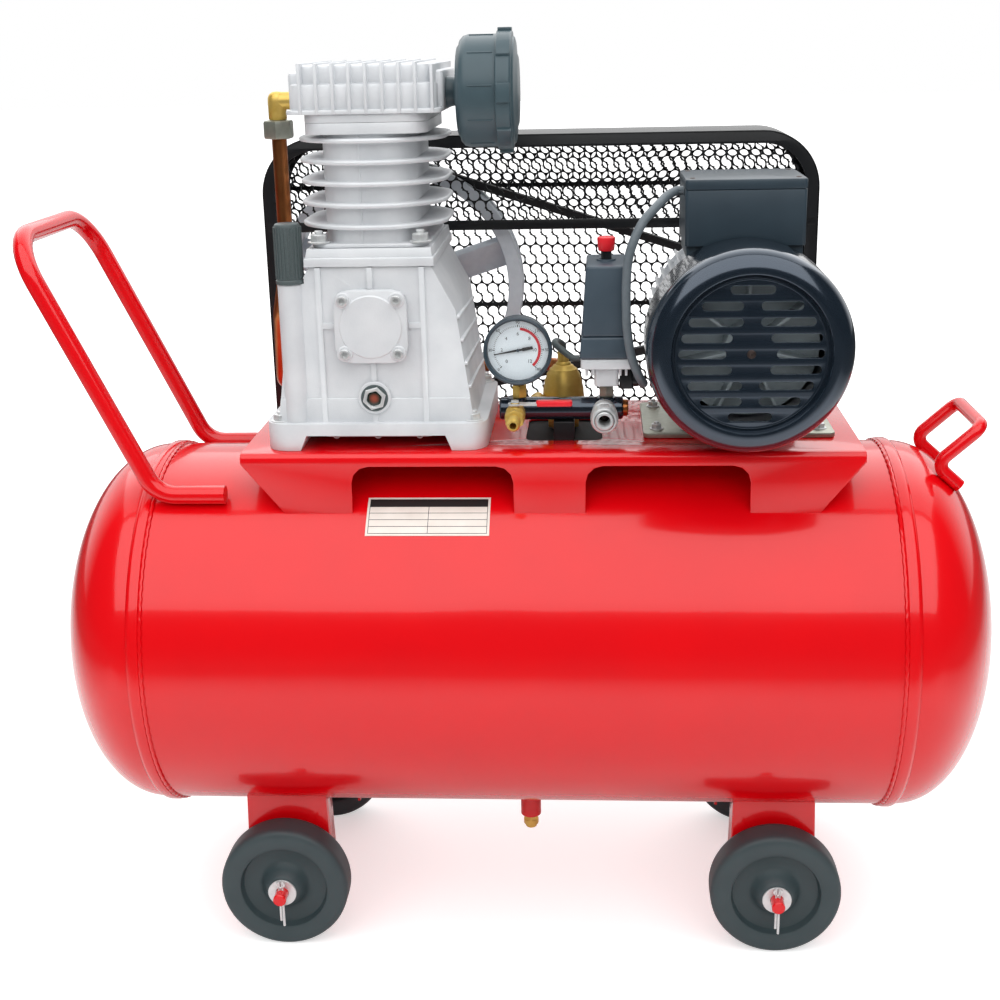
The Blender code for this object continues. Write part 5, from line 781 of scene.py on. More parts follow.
piece("oil_sight_glass", "frame", [(put(flange, place, TO_FRONT), 2), (put(seal, place, TO_FRONT), 3),
                                   (put(bezel, place, TO_FRONT @ Matrix.Rotation(HEXAGON_TURN, 4, "Z")), 0),
                                   (put(ring, place, TO_FRONT), 0), (put(dome, place, TO_FRONT), 1)],
      [zinc, oil_lens, cast_aluminium, dark_nylon], ["sight_glass"])
low, high = cap_low, cap_high
reach, length = (high.x - low.x) / 2, high.z - low.z
core = turned([(0, 0), (reach - 0.0004, 0), (reach - 0.0004, 0.003), (reach - 0.0014, 0.0042),
               (reach - 0.0014, length - 0.003), (reach - 0.0022, length - 0.0008),
               (reach - 0.0034, length), (0, length)], 66)
shapes = [(put(core, (neck_x, neck_y, low.z)), 0)]
shapes += around(lambda: slab((0.0016, 0.0016, length - 0.008), 0.0006, rounds=2), CAP_RIBS,
                 (reach - 0.0012, 0, length / 2 + 0.001), (neck_x, neck_y, low.z))
piece("breather_thimble", "filler_cap", shapes, [dark_nylon], ["breather_cap"])

# Cylinder block: cast aluminium for two bores in line, with five thin fins round a barrel and a parting line.
# The valve plate and the ribbed head lie flat on top of it, and bolts in its foot hold it down.
BARREL, BLOCK_TOP, BLOCK_CORNER = (0.088, 0.158), (0.112, 0.168, 0.010), 0.020
BLOCK_FOOT_SIZE = (0.110, 0.168, BLOCK_FOOT)
BARREL_CORNER, FIN_CORNER, FIN_TIP, FIN_ROOT = 0.036, 0.066, 0.0018, 0.0042
FIN_FIRST, FIN_PITCH, FIN_COUNT = 0.0185, 0.0192, 5
HEAD_RIBS, HEAD_RIB, HEAD_MARGINS, HEAD_CHAMFER, HEAD_CORNER = 9, 0.0028, (0.0150, 0.0075), 0.010, 0.010
HEAD_STEPS = ((0.0008, 0.004, 0.0006), (0.0045, 0.0265, 0.0030), (0.0100, 0.0425, 0.0030))
HEAD_LOBE, HEAD_GAP = (0.024, 0.120, 0.0360), 0.0002
low, high = block_low, block_high
middle = (low + high) / 2
height = high.z - low.z
barrel = slab((*BARREL, height - 0.004), BARREL_CORNER, rounds=16)
foot = slab(BLOCK_FOOT_SIZE, BLOCK_CORNER, 0.0012)
top = slab(BLOCK_TOP, BLOCK_CORNER, 0.0004)
shapes = [(put(barrel, middle), 0), (put(foot, (middle.x, middle.y, low.z + BLOCK_FOOT / 2)), 0),
          (put(top, (middle.x, middle.y, high.z - BLOCK_TOP[2] / 2)), 0)]
for i in range(FIN_COUNT):
    fin = slab((high.x - low.x, high.y - low.y, FIN_ROOT), FIN_CORNER, rounds=18)
    rims = [f for f in fin.faces if abs(f.normal.z) > 0.9]
    bmesh.ops.bevel(fin, geom=[e for f in rims for e in f.edges], offset=FIN_TIP, segments=3, profile=0.5,
                    affect="EDGES", material=-1)
    shapes.append((put(fin, (middle.x, middle.y, low.z + FIN_FIRST + i * FIN_PITCH)), 0))
for side in (low.y + (high.y - low.y - BARREL[1]) / 2, high.y - (high.y - low.y - BARREL[1]) / 2):
    seam = slab((0.0016, 0.0020, height - 0.012), ease=0.0003)
    shapes.append((put(seam, (middle.x - 0.006, side, middle.z - 0.002)), 0))
piece("cylinder_casting", "frame", shapes, [cast_aluminium], ["cylinder_block"])
low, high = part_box("valve_plate")
piece("valve_plate_sandwich", "frame", [(put(slab(high - low, BLOCK_CORNER, 0.0003), (low + high) / 2), 0)],
      [cast_aluminium], ["valve_plate"])
low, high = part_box("cylinder_head")
middle, size = (low + high) / 2, high - low
shapes = []
for inset, rise, ease in HEAD_STEPS:
    step = slab((size.x - 2 * inset, size.y - 2 * inset, rise), HEAD_CORNER, ease)
    shapes.append((put(step, (middle.x, middle.y, low.z + rise / 2)), 0))
for i in range(HEAD_RIBS):
    x = low.x + HEAD_MARGINS[0] + i * (size.x - sum(HEAD_MARGINS)) / (HEAD_RIBS - 1)
    cut = max(0.0, HEAD_CHAMFER - min(x - low.x, high.x - x))
    rib = slab((HEAD_RIB, size.y, size.z - cut - HEAD_GAP), ease=0.0006)
    shapes.append((put(rib, (x, middle.y, (low.z + high.z - cut + HEAD_GAP) / 2)), 0))
for x in (low.x + HEAD_LOBE[0] / 2, high.x - HEAD_LOBE[0] / 2):
    shapes.append((put(slab(HEAD_LOBE, 0.004, 0.0030), (x, middle.y, low.z + HEAD_LOBE[2] / 2)), 0))
piece("cylinder_head_casting", "frame", shapes, [cast_aluminium], ["cylinder_head"])

# Intake filter: a round moulded canister screwed into the head by its neck, with a twist-on cover.
# Block lugs stand round the cover, and thin ridges run along the canister.
FILTER_LUGS, FILTER_LUG = 8, (0.0042, 0.017, 0.0125)
FILTER_RIDGES, FILTER_RIDGE = 10, (0.0016, 0.0013, 0.022)

# Moulded polypropylene in blue-black: smooth satin with a soft sheen and faint flow marks.
FILTER_FLOW_MM = 32
filter_plastic = toned("moulded_blue_black_plastic", FILTER_FLOW_MM, "#374950", "#45585F", 3.0,
                       grain_mm=NYLON_GRAIN_MM, relief=(0.00008, 0.35), Roughness=0.36)
low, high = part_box("air_filter_body")
middle = (low + high) / 2
reach, length = (high.z - low.z) / 2, high.x - low.x
canister = turned([(0, length), (reach, length), (reach, 0.021), (reach - 0.0014, 0.0165),
                   (reach - 0.0046, 0.0135), (reach - 0.0085, 0.0125), (reach - 0.0105, 0.0108),
                   (0.0160, 0.0100), (0.0140, 0.0092), (0.0128, 0.0070), (0.0140, 0.0012), (0.0138, 0),
                   (0, 0)], 112)
foot = (low.x, middle.y, middle.z)
shapes = [(put(canister, foot, TO_RIGHT), 0)]
shapes += around(lambda: slab(FILTER_RIDGE, 0.0005, rounds=2), FILTER_RIDGES, (reach, 0, 0.0335), foot,
                 TO_RIGHT, share=0.3)
piece("filter_canister", "frame", shapes, [filter_plastic], ["air_filter_body"])
low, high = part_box("air_filter_cover")
depth = high.x - low.x
cover = turned([(0, depth), (0.030, depth), (0.034, depth - 0.0015), (0.044, depth - 0.0022),
                (0.0468, depth - 0.0030), (0.0480, depth - 0.0045), (0.0520, depth - 0.0050),
                (0.0533, depth - 0.0064), (0.0533, 0.0010), (0.0525, 0), (0, 0)], 112)
foot = (low.x, middle.y, middle.z)
shapes = [(put(cover, foot, TO_RIGHT), 0)]
shapes += around(lambda: slab(FILTER_LUG, ease=0.0007), FILTER_LUGS, (0.0534, 0, 0.0072), foot, TO_RIGHT)
piece("filter_cover_twist", "filter_cover", shapes, [filter_plastic], ["air_filter_cover"])

# Delivery line: a brass elbow in the head, a dull plated nut, a copper pipe round the pump
# and a cast brass check valve screwed into the receiver.
PIPE_RADIUS, PIPE_BEND, PIPE_TUCK, PIPE_KNEE, PIPE_SLANT = 0.007, 0.024, 0.010, 0.172, 0.118

# Drawn copper pipe: a brown-pink metal, darkened by heat in long soft clouds.
COPPER_CLOUD_MM = 24
copper = toned("drawn_copper", COPPER_CLOUD_MM, "#A65C2E", "#D68E58", 4.0, Metallic=1.0, Roughness=0.34)

# Dull nickel plate: a greenish grey metal, soft and slightly stained.
nickel = toned("dull_nickel_plate", ZINC_MOTTLE_MM, "#9C9F92", "#BFC1B4", 3.0, Metallic=0.85, Roughness=0.42)
low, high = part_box("delivery_elbow")
nut_low, nut_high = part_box("delivery_nut")
drop = Vector(((nut_low.x + nut_high.x) / 2, (nut_low.y + nut_high.y) / 2, low.z))
rise, radius = high.z - low.z, 0.0085
post = turned([(0, rise), (0.0040, rise - 0.0004), (0.0068, rise - 0.0024), (0.0082, rise - 0.0052),
               (radius, rise - radius), (radius, 0.0010), (0.0078, 0), (0, 0)], 48)
port_z = high.z - radius
spur = turned([(0, 0), (0.0080, 0), (0.0080, high.x - drop.x), (0, high.x - drop.x)], 40)
piece("delivery_elbow_brass", "frame", [(put(post, drop), 0),
                                        (put(spur, (drop.x, drop.y, port_z), TO_RIGHT), 0)],
      [brass], ["delivery_elbow"])
nut = hexagon((nut_high.x - nut_low.x) / 2, nut_high.z - nut_low.z, 0.0022)
piece("delivery_nut_plated", "frame", [(put(nut, (drop.x, drop.y, nut_low.z)), 0)], [nickel],
      ["delivery_nut"])
low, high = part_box("delivery_pipe")
valve_low, valve_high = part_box("check_valve")
valve = (valve_low + valve_high) / 2
run_z = low.z + PIPE_RADIUS
side_x = low.x + PIPE_RADIUS
hidden_x = side_x + PIPE_TUCK
route = [(drop.x, drop.y, high.z), (drop.x, drop.y, deck_z + PIPE_KNEE),
         (hidden_x, drop.y + PIPE_RADIUS, deck_z + PIPE_SLANT), (side_x, drop.y + 2 * PIPE_BEND, run_z),
         (side_x, high.y - PIPE_RADIUS, run_z), (valve.x, high.y - PIPE_RADIUS, run_z),
         (valve.x, valve_high.y + 0.0003, run_z)]
piece("delivery_pipe_copper", "frame", [(drawn(bent(route, PIPE_BEND, 10), PIPE_RADIUS, 8), 0)], [copper],
      ["delivery_pipe"])
foot = valve_low.z
body = turned([(0, 0.098), (0.0048, 0.098), (0.0056, 0.0970), (0.0056, 0.0880), (0.0072, 0.0866),
               (0.0076, 0.0850), (0.0100, 0.0840), (0.0112, 0.0822), (0.0136, 0.0806), (0.0146, 0.0780),
               (0.0164, 0.0756), (0.0170, 0.0724), (0.0186, 0.0690), (0.0190, 0.0650), (0.0200, 0.0612),
               (0.0202, 0.0566), (0.0207, 0.0530), (0.0207, 0.0345), (0.0196, 0.0325), (0.0150, 0.0318),
               (0.0110, 0.0230), (0.0110, 0), (0, 0)], 64)
collar = hexagon(0.0172, 0.0090, 0.0012)
band = turned([(0.0180, 0.0405), (0.0209, 0.0405), (0.0209, 0.0440), (0.0180, 0.0440)], 8, ring=True)
piece("check_valve_brass", "frame", [(put(body, (valve.x, valve.y, foot)), 0),
                                     (put(collar, (valve.x, valve.y, foot + 0.0230)), 0),
                                     (put(band, (valve.x, valve.y, foot)), 0)],
      [brass], ["check_valve"])

# Drive at the back: a cast flywheel whose five spokes are fan blades, a V-belt and the motor's pulley.
# The crank's ground nose carries the flywheel, and the belt runs in one groove of each wheel.
FLYWHEEL_RIM, FLYWHEEL_HALF, FLYWHEEL_HUB, SPOKES = 0.015, 0.019, 0.031, 5
SPOKE_SIZE, SPOKE_TILT, SPOKE_START = (0.034, 0.010), math.radians(32), 0.028
GROOVE_TOP, GROOVE_FOOT, GROOVE_DEPTH = 0.0070, 0.0050, 0.0099
BELT_THICKNESS, BELT_TOP, BELT_FOOT = 0.008, 0.0065, 0.0045
MOTOR_SHAFT, PULLEY_BORE = 0.012, 0.0123

# Machined grey iron: a mid-grey metal with a dull cast skin and faint turning marks.
IRON_SKIN_MM = 7
grey_iron = toned("machined_grey_iron", IRON_SKIN_MM, "#CBD2DA", "#E0E6EC", 5.0, relief=(0.0004, 0.3),
                  Metallic=0.1, Roughness=0.42)
low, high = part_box("crankshaft")
length = high.y - low.y
shaft = turned([(0, 0), (0.0185, 0), (0.0195, 0.001), (0.0195, length - 0.0475), (0.0188, length - 0.0468),
                (0.0125, length - 0.0468), (0.0125, length - 0.001), (0.0115, length), (0.004, length),
                (0.002, length - 0.004), (0, length - 0.004)], 64)
piece("crankshaft_ground", "flywheel_set", [(put(shaft, (pump_x, low.y, crank_z), TO_REAR), 0)], [zinc],
      ["crankshaft"])
low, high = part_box("flywheel")
reach = (high.x - low.x) / 2
belt_y = (low.y + high.y) / 2
inside = reach - FLYWHEEL_RIM


def grooved(reach, half, inside):
    """Profile of a wheel rim with one V groove, seen across the rim."""
    upper = [(inside, half - 0.001), (inside + 0.001, half), (reach - 0.001, half), (reach, half - 0.001),
             (reach, GROOVE_TOP + 0.0004), (reach - 0.0004, GROOVE_TOP), (reach - GROOVE_DEPTH, GROOVE_FOOT)]
    return upper + [(radius, -height) for radius, height in upper[::-1]]


middle = (pump_x, belt_y, crank_z)
shapes = [(put(turned(grooved(reach, FLYWHEEL_HALF, inside), 128, ring=True), middle, TO_REAR), 0)]
hub_half = (high.y - low.y) / 2
hub = turned([(0.0128, hub_half), (0.0285, hub_half), (FLYWHEEL_HUB, hub_half - 0.002),
              (FLYWHEEL_HUB + 0.0015, 0), (FLYWHEEL_HUB, 0.002 - hub_half), (0.0285, -hub_half),
              (0.0128, -hub_half)], 64, ring=True)
shapes.append((put(hub, middle, TO_REAR), 0))
spoke_length = inside - SPOKE_START + 0.002
tilt = Matrix.Rotation(SPOKE_TILT, 4, "Z")
shapes += around(lambda: put(slab((*SPOKE_SIZE, spoke_length), ease=0.0016), (0, 0, 0), tilt), SPOKES,
                 (0, 0, SPOKE_START + spoke_length / 2), middle, axis="Y")
piece("flywheel_cast", "flywheel_set", shapes, [grey_iron], ["flywheel"])
low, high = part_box("motor_pulley")
motor_x, motor_z = (low.x + high.x) / 2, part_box("motor_shaft")[0].z + MOTOR_SHAFT
pulley_reach = (high.x - low.x) / 2
pulley = turned(grooved(pulley_reach, (high.y - low.y) / 2, PULLEY_BORE), 96, ring=True)
piece("motor_pulley_cast", "rotor", [(put(pulley, (motor_x, belt_y, motor_z), TO_REAR), 0)], [grey_iron],
      ["motor_pulley"])

# Wrapped rubber V-belt: matt black with a fabric grain and paler worn flanks.
BELT_WEAVE_MM = 1.4
belt_rubber = toned("wrapped_belt_rubber", BELT_WEAVE_MM, "#17181A", "#2D2E30", relief=(0.0002, 0.5),
                    Roughness=0.75)
low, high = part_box("v_belt")
large, small = pump_x - low.x, high.x - motor_x
across = Vector((motor_x - pump_x, 0, motor_z - crank_z))
heading = math.atan2(across.z, across.x)
lean = math.acos((large - small) / across.length)
belt = bmesh.new()
section = [belt.verts.new((math.cos(heading + lean) * reach, y, math.sin(heading + lean) * reach))
           for reach, y in ((large, BELT_TOP), (large, -BELT_TOP), (large - BELT_THICKNESS, -BELT_FOOT),
                            (large - BELT_THICKNESS, BELT_FOOT))]
first = section + [belt.edges.new((section[i], section[i - 1])) for i in range(4)]


def edges_of(found):
    """The edges among the results of an operator."""
    return [item for item in found if isinstance(item, bmesh.types.BMEdge)]


first_turn = bmesh.ops.spin(belt, geom=first, axis=(0, -1, 0), cent=(0, 0, 0), angle=2 * math.pi - 2 * lean,
                            steps=72)
run = bmesh.ops.extrude_edge_only(belt, edges=edges_of(first_turn["geom_last"]))
ring = [v for v in run["geom"] if isinstance(v, bmesh.types.BMVert)]
leave = heading - lean
slide = across + Vector((math.cos(leave), 0, math.sin(leave))) * (small - large)
bmesh.ops.translate(belt, vec=slide, verts=ring)
ring += [e for e in belt.edges if e.verts[0] in ring and e.verts[1] in ring]
second_turn = bmesh.ops.spin(belt, geom=ring, axis=(0, -1, 0), cent=across, angle=2 * lean, steps=36)
last = edges_of(second_turn["geom_last"])
start = [e for e in belt.edges if e.verts[0] in section and e.verts[1] in section]
bmesh.ops.bridge_loops(belt, edges=start + last)
bmesh.ops.remove_doubles(belt, verts=belt.verts, dist=1e-7)
bmesh.ops.recalc_face_normals(belt, faces=belt.faces)
piece("v_belt_wrapped", "frame", [(put(belt, middle), 0)], [belt_rubber], ["v_belt"])

# Motor: a die-cast finned barrel on a pressed foot plate, end shields, and a ground shaft through both.
# The plastic fan sits on the front of the shaft, under the cowl.
MOTOR_FINS, FIN_WIDTH, BARREL_ROOT, BARREL_RADIUS = 46, 0.0022, 0.0742, 0.083
BORE, SHIELD_DEPTH, FAN_EASE = 0.0126, 0.016, 0.0005
FOOT_CENTRE, FOOT_BLOCK, FOOT_PLATE = 0.0863, (0.112, 0.110, 0.062), (0.182, 0.128, 0.0048)
FOOT_BLOCK_RISE, FOOT_PLATE_RISE = 0.036, 0.0028
MOTOR_BOLT, MOTOR_BOLT_X, MOTOR_BOLT_Y, MOTOR_BOLT_RISE = 0.0052, 0.078, 0.046, 0.0052
PAD_SIZE, PAD_BACK, PAD_DROP = (0.086, 0.066, 0.030), 0.0443, 0.0155
low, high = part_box("motor_housing")
front, rear = low.y, high.y - SHIELD_DEPTH
foot_y = low.y + FOOT_CENTRE
length = rear - front
barrel = turned([(BORE, 0), (BARREL_ROOT, 0), (BARREL_ROOT, length), (BORE, length)], 96, ring=True)
shapes = [(put(barrel, (motor_x, front, motor_z), TO_REAR), 0)]
fin_size = (BARREL_RADIUS - BARREL_ROOT + 0.002, length - 0.016, FIN_WIDTH)
fin_out = ((BARREL_RADIUS + BARREL_ROOT) / 2 - 0.001, 0, 0)
shapes += around(lambda: slab(fin_size, ease=0.0006), MOTOR_FINS, fin_out,
                 (motor_x, (front + rear) / 2 + 0.004, motor_z), axis="Y")
shield = turned([(BORE, 0.0), (0.0896, 0.0), (0.0896, 0.0112), (0.0884, 0.012), (BORE, 0.012)], 96, ring=True)
shapes.append((put(shield, (motor_x, front, motor_z), TO_REAR), 0))
shield = turned([(BORE, 0.016), (0.030, 0.016), (0.034, 0.0145), (0.058, 0.0090), (0.066, 0.0070),
                 (0.0775, 0.0040), (0.0785, -0.006), (BORE, -0.006)], 96, ring=True)
shapes.append((put(shield, (motor_x, rear, motor_z), TO_REAR), 0))
shapes.append((put(slab(FOOT_BLOCK, ease=0.002), (motor_x, foot_y, deck_z + FOOT_BLOCK_RISE)), 0))
shapes.append((put(slab(FOOT_PLATE, 0.006, 0.0010), (motor_x, foot_y, deck_z + FOOT_PLATE_RISE)), 2))
pad_low, pad_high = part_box("terminal_box")
pad_y = max((pad_low.y + pad_high.y) / 2, front + PAD_BACK)
shapes.append((put(slab(PAD_SIZE, ease=0.0015), (motor_x, pad_y, pad_low.z - PAD_DROP)), 0))
for x in (-MOTOR_BOLT_X, MOTOR_BOLT_X):
    for y in (-MOTOR_BOLT_Y, MOTOR_BOLT_Y):
        shapes += bolt((motor_x + x, foot_y + y, deck_z + MOTOR_BOLT_RISE), MOTOR_BOLT)
piece("motor_housing_cast", "frame", shapes, [cast_aluminium, zinc, nickel], ["motor_housing"])
low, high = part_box("motor_shaft")
length = high.y - low.y
shaft = turned([(0, 0.003), (0.002, 0.003), (0.004, 0), (MOTOR_SHAFT - 0.001, 0), (MOTOR_SHAFT, 0.001),
                (MOTOR_SHAFT, length - 0.001), (MOTOR_SHAFT - 0.001, length), (0, length)], 48)
piece("motor_shaft_ground", "rotor", [(put(shaft, (motor_x, low.y, motor_z), TO_REAR), 0)], [zinc],
      ["motor_shaft"])

# Moulded fan: pale grey polypropylene, dull, seen in strips through the cowl's slots.
fan_plastic = toned("moulded_grey_fan_plastic", FILTER_FLOW_MM, "#A3B0B6", "#BCC8CD", 3.0, Roughness=0.5)
low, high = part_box("motor_fan")
fan_back = turned([(0.0128, 0.002), (0.066, 0.0035), (0.0662, 0.0015), (0.030, 0), (0.0128, 0)], 72,
                  ring=True)
piece("motor_fan_moulded", "rotor", [(cad_copy("motor_fan", FAN_EASE), 0),
                                     (put(fan_back, (motor_x, high.y - 0.0005, motor_z), TO_FRONT), 0)],
      [fan_plastic], ["motor_fan"])

# Fan cowl: one steel pressing with a wide rolled shoulder and a flat face cut with rows of slots,
# sprayed gloss black; a screw closes its middle.
COWL_RADIUS, COWL_WALL, COWL_SHOULDER, COWL_FACE, COWL_SINK = 0.092, 0.0018, 0.020, 0.070, 0.006
SLOT_ROWS, SLOT_PITCH, SLOT_HALF, SLOT_END_SHARE = 9, 0.0142, 0.00375, 0.94
SLOT_MARGIN, SLOT_HUB, SLOT_START = 0.006, 0.022, 0.0075


def arc(centre, radius, start, end, count):
    """Points along a circular arc in a plane, from one angle in degrees to another."""
    angles = [math.radians(start + (end - start) * i / count) for i in range(count + 1)]
    return [(centre[0] + radius * math.cos(a), centre[1] + radius * math.sin(a)) for a in angles]


# Gloss black enamel on pressings: a deep blue-black under a bright, slightly uneven skin.
BLACK_WAVE_MM, BLACK_DRIFT_MM = 30, 45
black_gloss = toned("sprayed_black_enamel", BLACK_DRIFT_MM, "#111820", "#1A232C", 3.0, grain_mm=BLACK_WAVE_MM,
                    grain_detail=1.0, relief=(0.0004, 0.4), Roughness=0.18, Coat_Weight=0.6,
                    Coat_Roughness=0.06, Specular_IOR_Level=1.0, Specular_Tint=linear("#D2E6FF"))

# Black oxide on the small screws: a thin brown-black skin on steel, dull, with rubbed spots.
OXIDE_RUB_MM = 3
black_oxide = toned("black_oxide_steel", OXIDE_RUB_MM, "#2A2523", "#5B4C47", 3.0, Metallic=0.6,
                    Roughness=0.45)
low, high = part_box("fan_cowl")
depth = high.y - low.y
face = depth - COWL_SINK
crest = COWL_RADIUS - COWL_SHOULDER
profile = [(COWL_FACE - 0.0006, face - COWL_WALL), (COWL_FACE - 0.0006, face + 0.0004),
           (COWL_FACE, face + 0.0014), (COWL_FACE + 0.0002, depth - 0.0016),
           (COWL_FACE + 0.0009, depth - 0.0004)]
profile += arc((crest, depth - COWL_SHOULDER), COWL_SHOULDER, 90, 0, 18)
profile += [(COWL_RADIUS, 0.0006), (COWL_RADIUS - 0.0006, 0), (COWL_RADIUS - COWL_WALL, 0)]
profile += arc((crest, depth - COWL_SHOULDER), COWL_SHOULDER - COWL_WALL, 0, 84, 12)
profile += [(COWL_FACE + COWL_WALL, depth - 0.004), (COWL_FACE + COWL_WALL, face - COWL_WALL)]
cowl_place = (motor_x, high.y, motor_z)
shapes = [(put(turned(profile, 144, ring=True), cowl_place, TO_FRONT), 0)]
loops = [arc((0, 0), COWL_FACE - 0.0002, 0, 360 - 3, 119)]
for row in range(SLOT_ROWS):
    level = (row - (SLOT_ROWS - 1) / 2) * SLOT_PITCH
    end = math.sqrt((COWL_FACE - SLOT_MARGIN) ** 2 - (abs(level) + SLOT_HALF) ** 2)
    start = max(math.sqrt(max(SLOT_HUB ** 2 - level ** 2, 0.0)), SLOT_START)
    whole = end * SLOT_END_SHARE
    spans = [(-whole, whole)] if row in (0, SLOT_ROWS - 1) else [(start, end), (-end, -start)]
    for left, right in spans:
        loops.append(arc((right - SLOT_HALF, level), SLOT_HALF, -90, 90, 8)
                     + arc((left + SLOT_HALF, level), SLOT_HALF, 90, 270, 8))
grille = cut_sheet(loops, COWL_WALL, 0.0004)
shapes.append((put(grille, (motor_x, high.y - face + COWL_WALL / 2, motor_z), TO_FRONT), 0))
bead = turned(bead_section(COWL_FACE - 0.0035, 0.0012, 0.0009), 144, ring=True)
shapes.append((put(bead, (motor_x, high.y - face, motor_z), TO_FRONT), 0))
screw = turned([(0, 0.0010), (0.0012, 0.0010), (0.0014, 0.0016), (0.0030, 0.0014), (0.0040, 0), (0, 0)], 28)
shapes.append((put(screw, (motor_x, high.y - face, motor_z), TO_FRONT), 1))
piece("fan_cowl_pressed", "frame", shapes, [black_gloss, black_oxide], ["fan_cowl"])

# Terminal box: a moulded box with a shallow lid on the motor's pad, close behind the cowl's rim.
# It is dark slate; the lead to the pressure switch leaves it on the left.
LID_HEIGHT, LID_PROUD, LID_JOINT, SADDLE_DROP = 0.0098, 0.0002, 0.0002, 0.012
BOX_CORNER, BOX_SCREW_X, BOX_SCREW_Y = 0.004, 0.048, 0.038

# Moulded slate plastic: a blue-grey satin with faint flow marks, a little paler than the cowl.
box_slate = toned("moulded_slate_plastic", FILTER_FLOW_MM, "#293640", "#33424C", 3.0, relief=(0.0003, 0.3),
                  Roughness=0.38)
low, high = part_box("terminal_box")
middle = (low + high) / 2
size = high - low
tub = slab((size.x - 2 * LID_PROUD, size.y - 2 * LID_PROUD, size.z - LID_HEIGHT), BOX_CORNER, 0.0003, 6)
lid = slab((size.x, size.y, LID_HEIGHT - LID_JOINT), BOX_CORNER, 0.0016, 6)
shapes = [(put(tub, (middle.x, middle.y, low.z + (size.z - LID_HEIGHT) / 2)), 0),
          (put(lid, (middle.x, middle.y, high.z - (LID_HEIGHT - LID_JOINT) / 2)), 0)]
saddle = slab((size.x - 0.004, size.y - 0.012, SADDLE_DROP + 0.002), ease=0.0010)
shapes.append((put(saddle, (middle.x, middle.y, low.z + 0.001 - SADDLE_DROP / 2)), 0))
for x in (-BOX_SCREW_X, BOX_SCREW_X):
    for y in (-BOX_SCREW_Y, BOX_SCREW_Y):
        screw = turned([(0, 0.0016), (0.0022, 0.0014), (0.0034, 0.0004), (0.0034, 0), (0, 0)], 24)
        shapes.append((put(screw, (middle.x + x, middle.y + y, high.z - 0.0008)), 1))
piece("terminal_box_moulded", "frame", shapes, [box_slate, black_oxide], ["terminal_box"])

# Belt guard: a black steel rim with turned-in lips and a cross bar, and punched sheets behind the lips.
# Their holes join in slanting pairs; the rear sheet has two plain strips, the front one ends at the bar.
GUARD_CORNER, GUARD_SHEET, GUARD_LIP = 0.058, 0.002, 0.013
GUARD_BAR_LOW, GUARD_BAR_HIGH = 0.180, 0.190
HOLE_PITCH, HOLE_RADIUS, HOLE_STEPS, HOLE_NECK, NET_SHEET = 0.012, 0.0053, 24, 29, 0.0012
STRIP_EDGE, STRIP_PLAIN = 0.0058, 0.0032
PLAIN_STRIPS = (0.728, 0.600)
guard_low, guard_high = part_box("guard_frame")


def guard_outline(inset):
    """Outline of the guard seen from the front, drawn in by an inset: round on top, square below."""
    left, right = guard_low.x + inset, guard_high.x - inset
    top, low = guard_high.z - inset, guard_low.z + inset
    bend = GUARD_CORNER - inset
    return ([(left, low), (right, low)] + arc((right - bend, top - bend), bend, 0, 90, 16)
            + arc((left + bend, top - bend), bend, 90, 180, 16))


# Semi-gloss black enamel: plain, thin at the edges, with a slight orange peel.
BLACK_PEEL_MM = 3
guard_black = toned("semi_gloss_black_enamel", BLACK_DRIFT_MM, "#0E0F11", "#1A1C1F", 3.0,
                    grain_mm=BLACK_PEEL_MM, relief=(0.00008, 0.4), Roughness=0.36)
depth = guard_high.y - guard_low.y
mid_y = (guard_low.y + guard_high.y) / 2
band = cut_sheet([guard_outline(0), guard_outline(GUARD_SHEET)], depth, 0.0004)
shapes = [(put(band, (0, mid_y, 0), TO_FRONT), 0)]
for y in (guard_low.y + GUARD_SHEET / 2, guard_high.y - GUARD_SHEET / 2):
    lip = cut_sheet([guard_outline(0.0003), guard_outline(GUARD_LIP)], GUARD_SHEET, 0.0005)
    shapes.append((put(lip, (0, y, 0), TO_FRONT), 0))
bar = slab((guard_high.x - guard_low.x - 0.006, GUARD_SHEET, GUARD_BAR_HIGH - GUARD_BAR_LOW), ease=0.0005)
shapes.append((put(bar, ((guard_low.x + guard_high.x) / 2, guard_low.y + GUARD_SHEET / 2,
                         deck_z + (GUARD_BAR_LOW + GUARD_BAR_HIGH) / 2)), 0))
piece("guard_rim", "frame", shapes, [guard_black], ["guard_frame"])


def net_cell(flat, neck):
    """A hexagon cell with a round hole; a flat side ends a row at a strip, a neck opens to the next hole."""
    work = bmesh.new()
    for radius in (HOLE_RADIUS, HOLE_PITCH):
        bmesh.ops.create_circle(work, segments=HOLE_STEPS, radius=radius)
    for vertex in work.verts:
        if vertex.co.length > HOLE_RADIUS * 1.5:
            way = vertex.co.normalized()
            turn = math.degrees(math.atan2(way.y, way.x)) % 60
            reach = HOLE_PITCH / 2 / math.cos(math.radians(min(turn, 60 - turn)))
            if way.y * flat > 0.01:
                reach = min(HOLE_PITCH / 2 / max(abs(way.x), 0.001), STRIP_EDGE / abs(way.y))
            vertex.co = way * reach
    bmesh.ops.bridge_loops(work, edges=work.edges)
    if neck:
        opened = Vector((math.cos(math.radians(neck)), math.sin(math.radians(neck)), 0))
        faces = [f for f in work.faces if f.calc_center_median().angle(opened) < math.radians(HOLE_NECK)]
        bmesh.ops.delete(work, geom=faces, context="FACES")
    return work


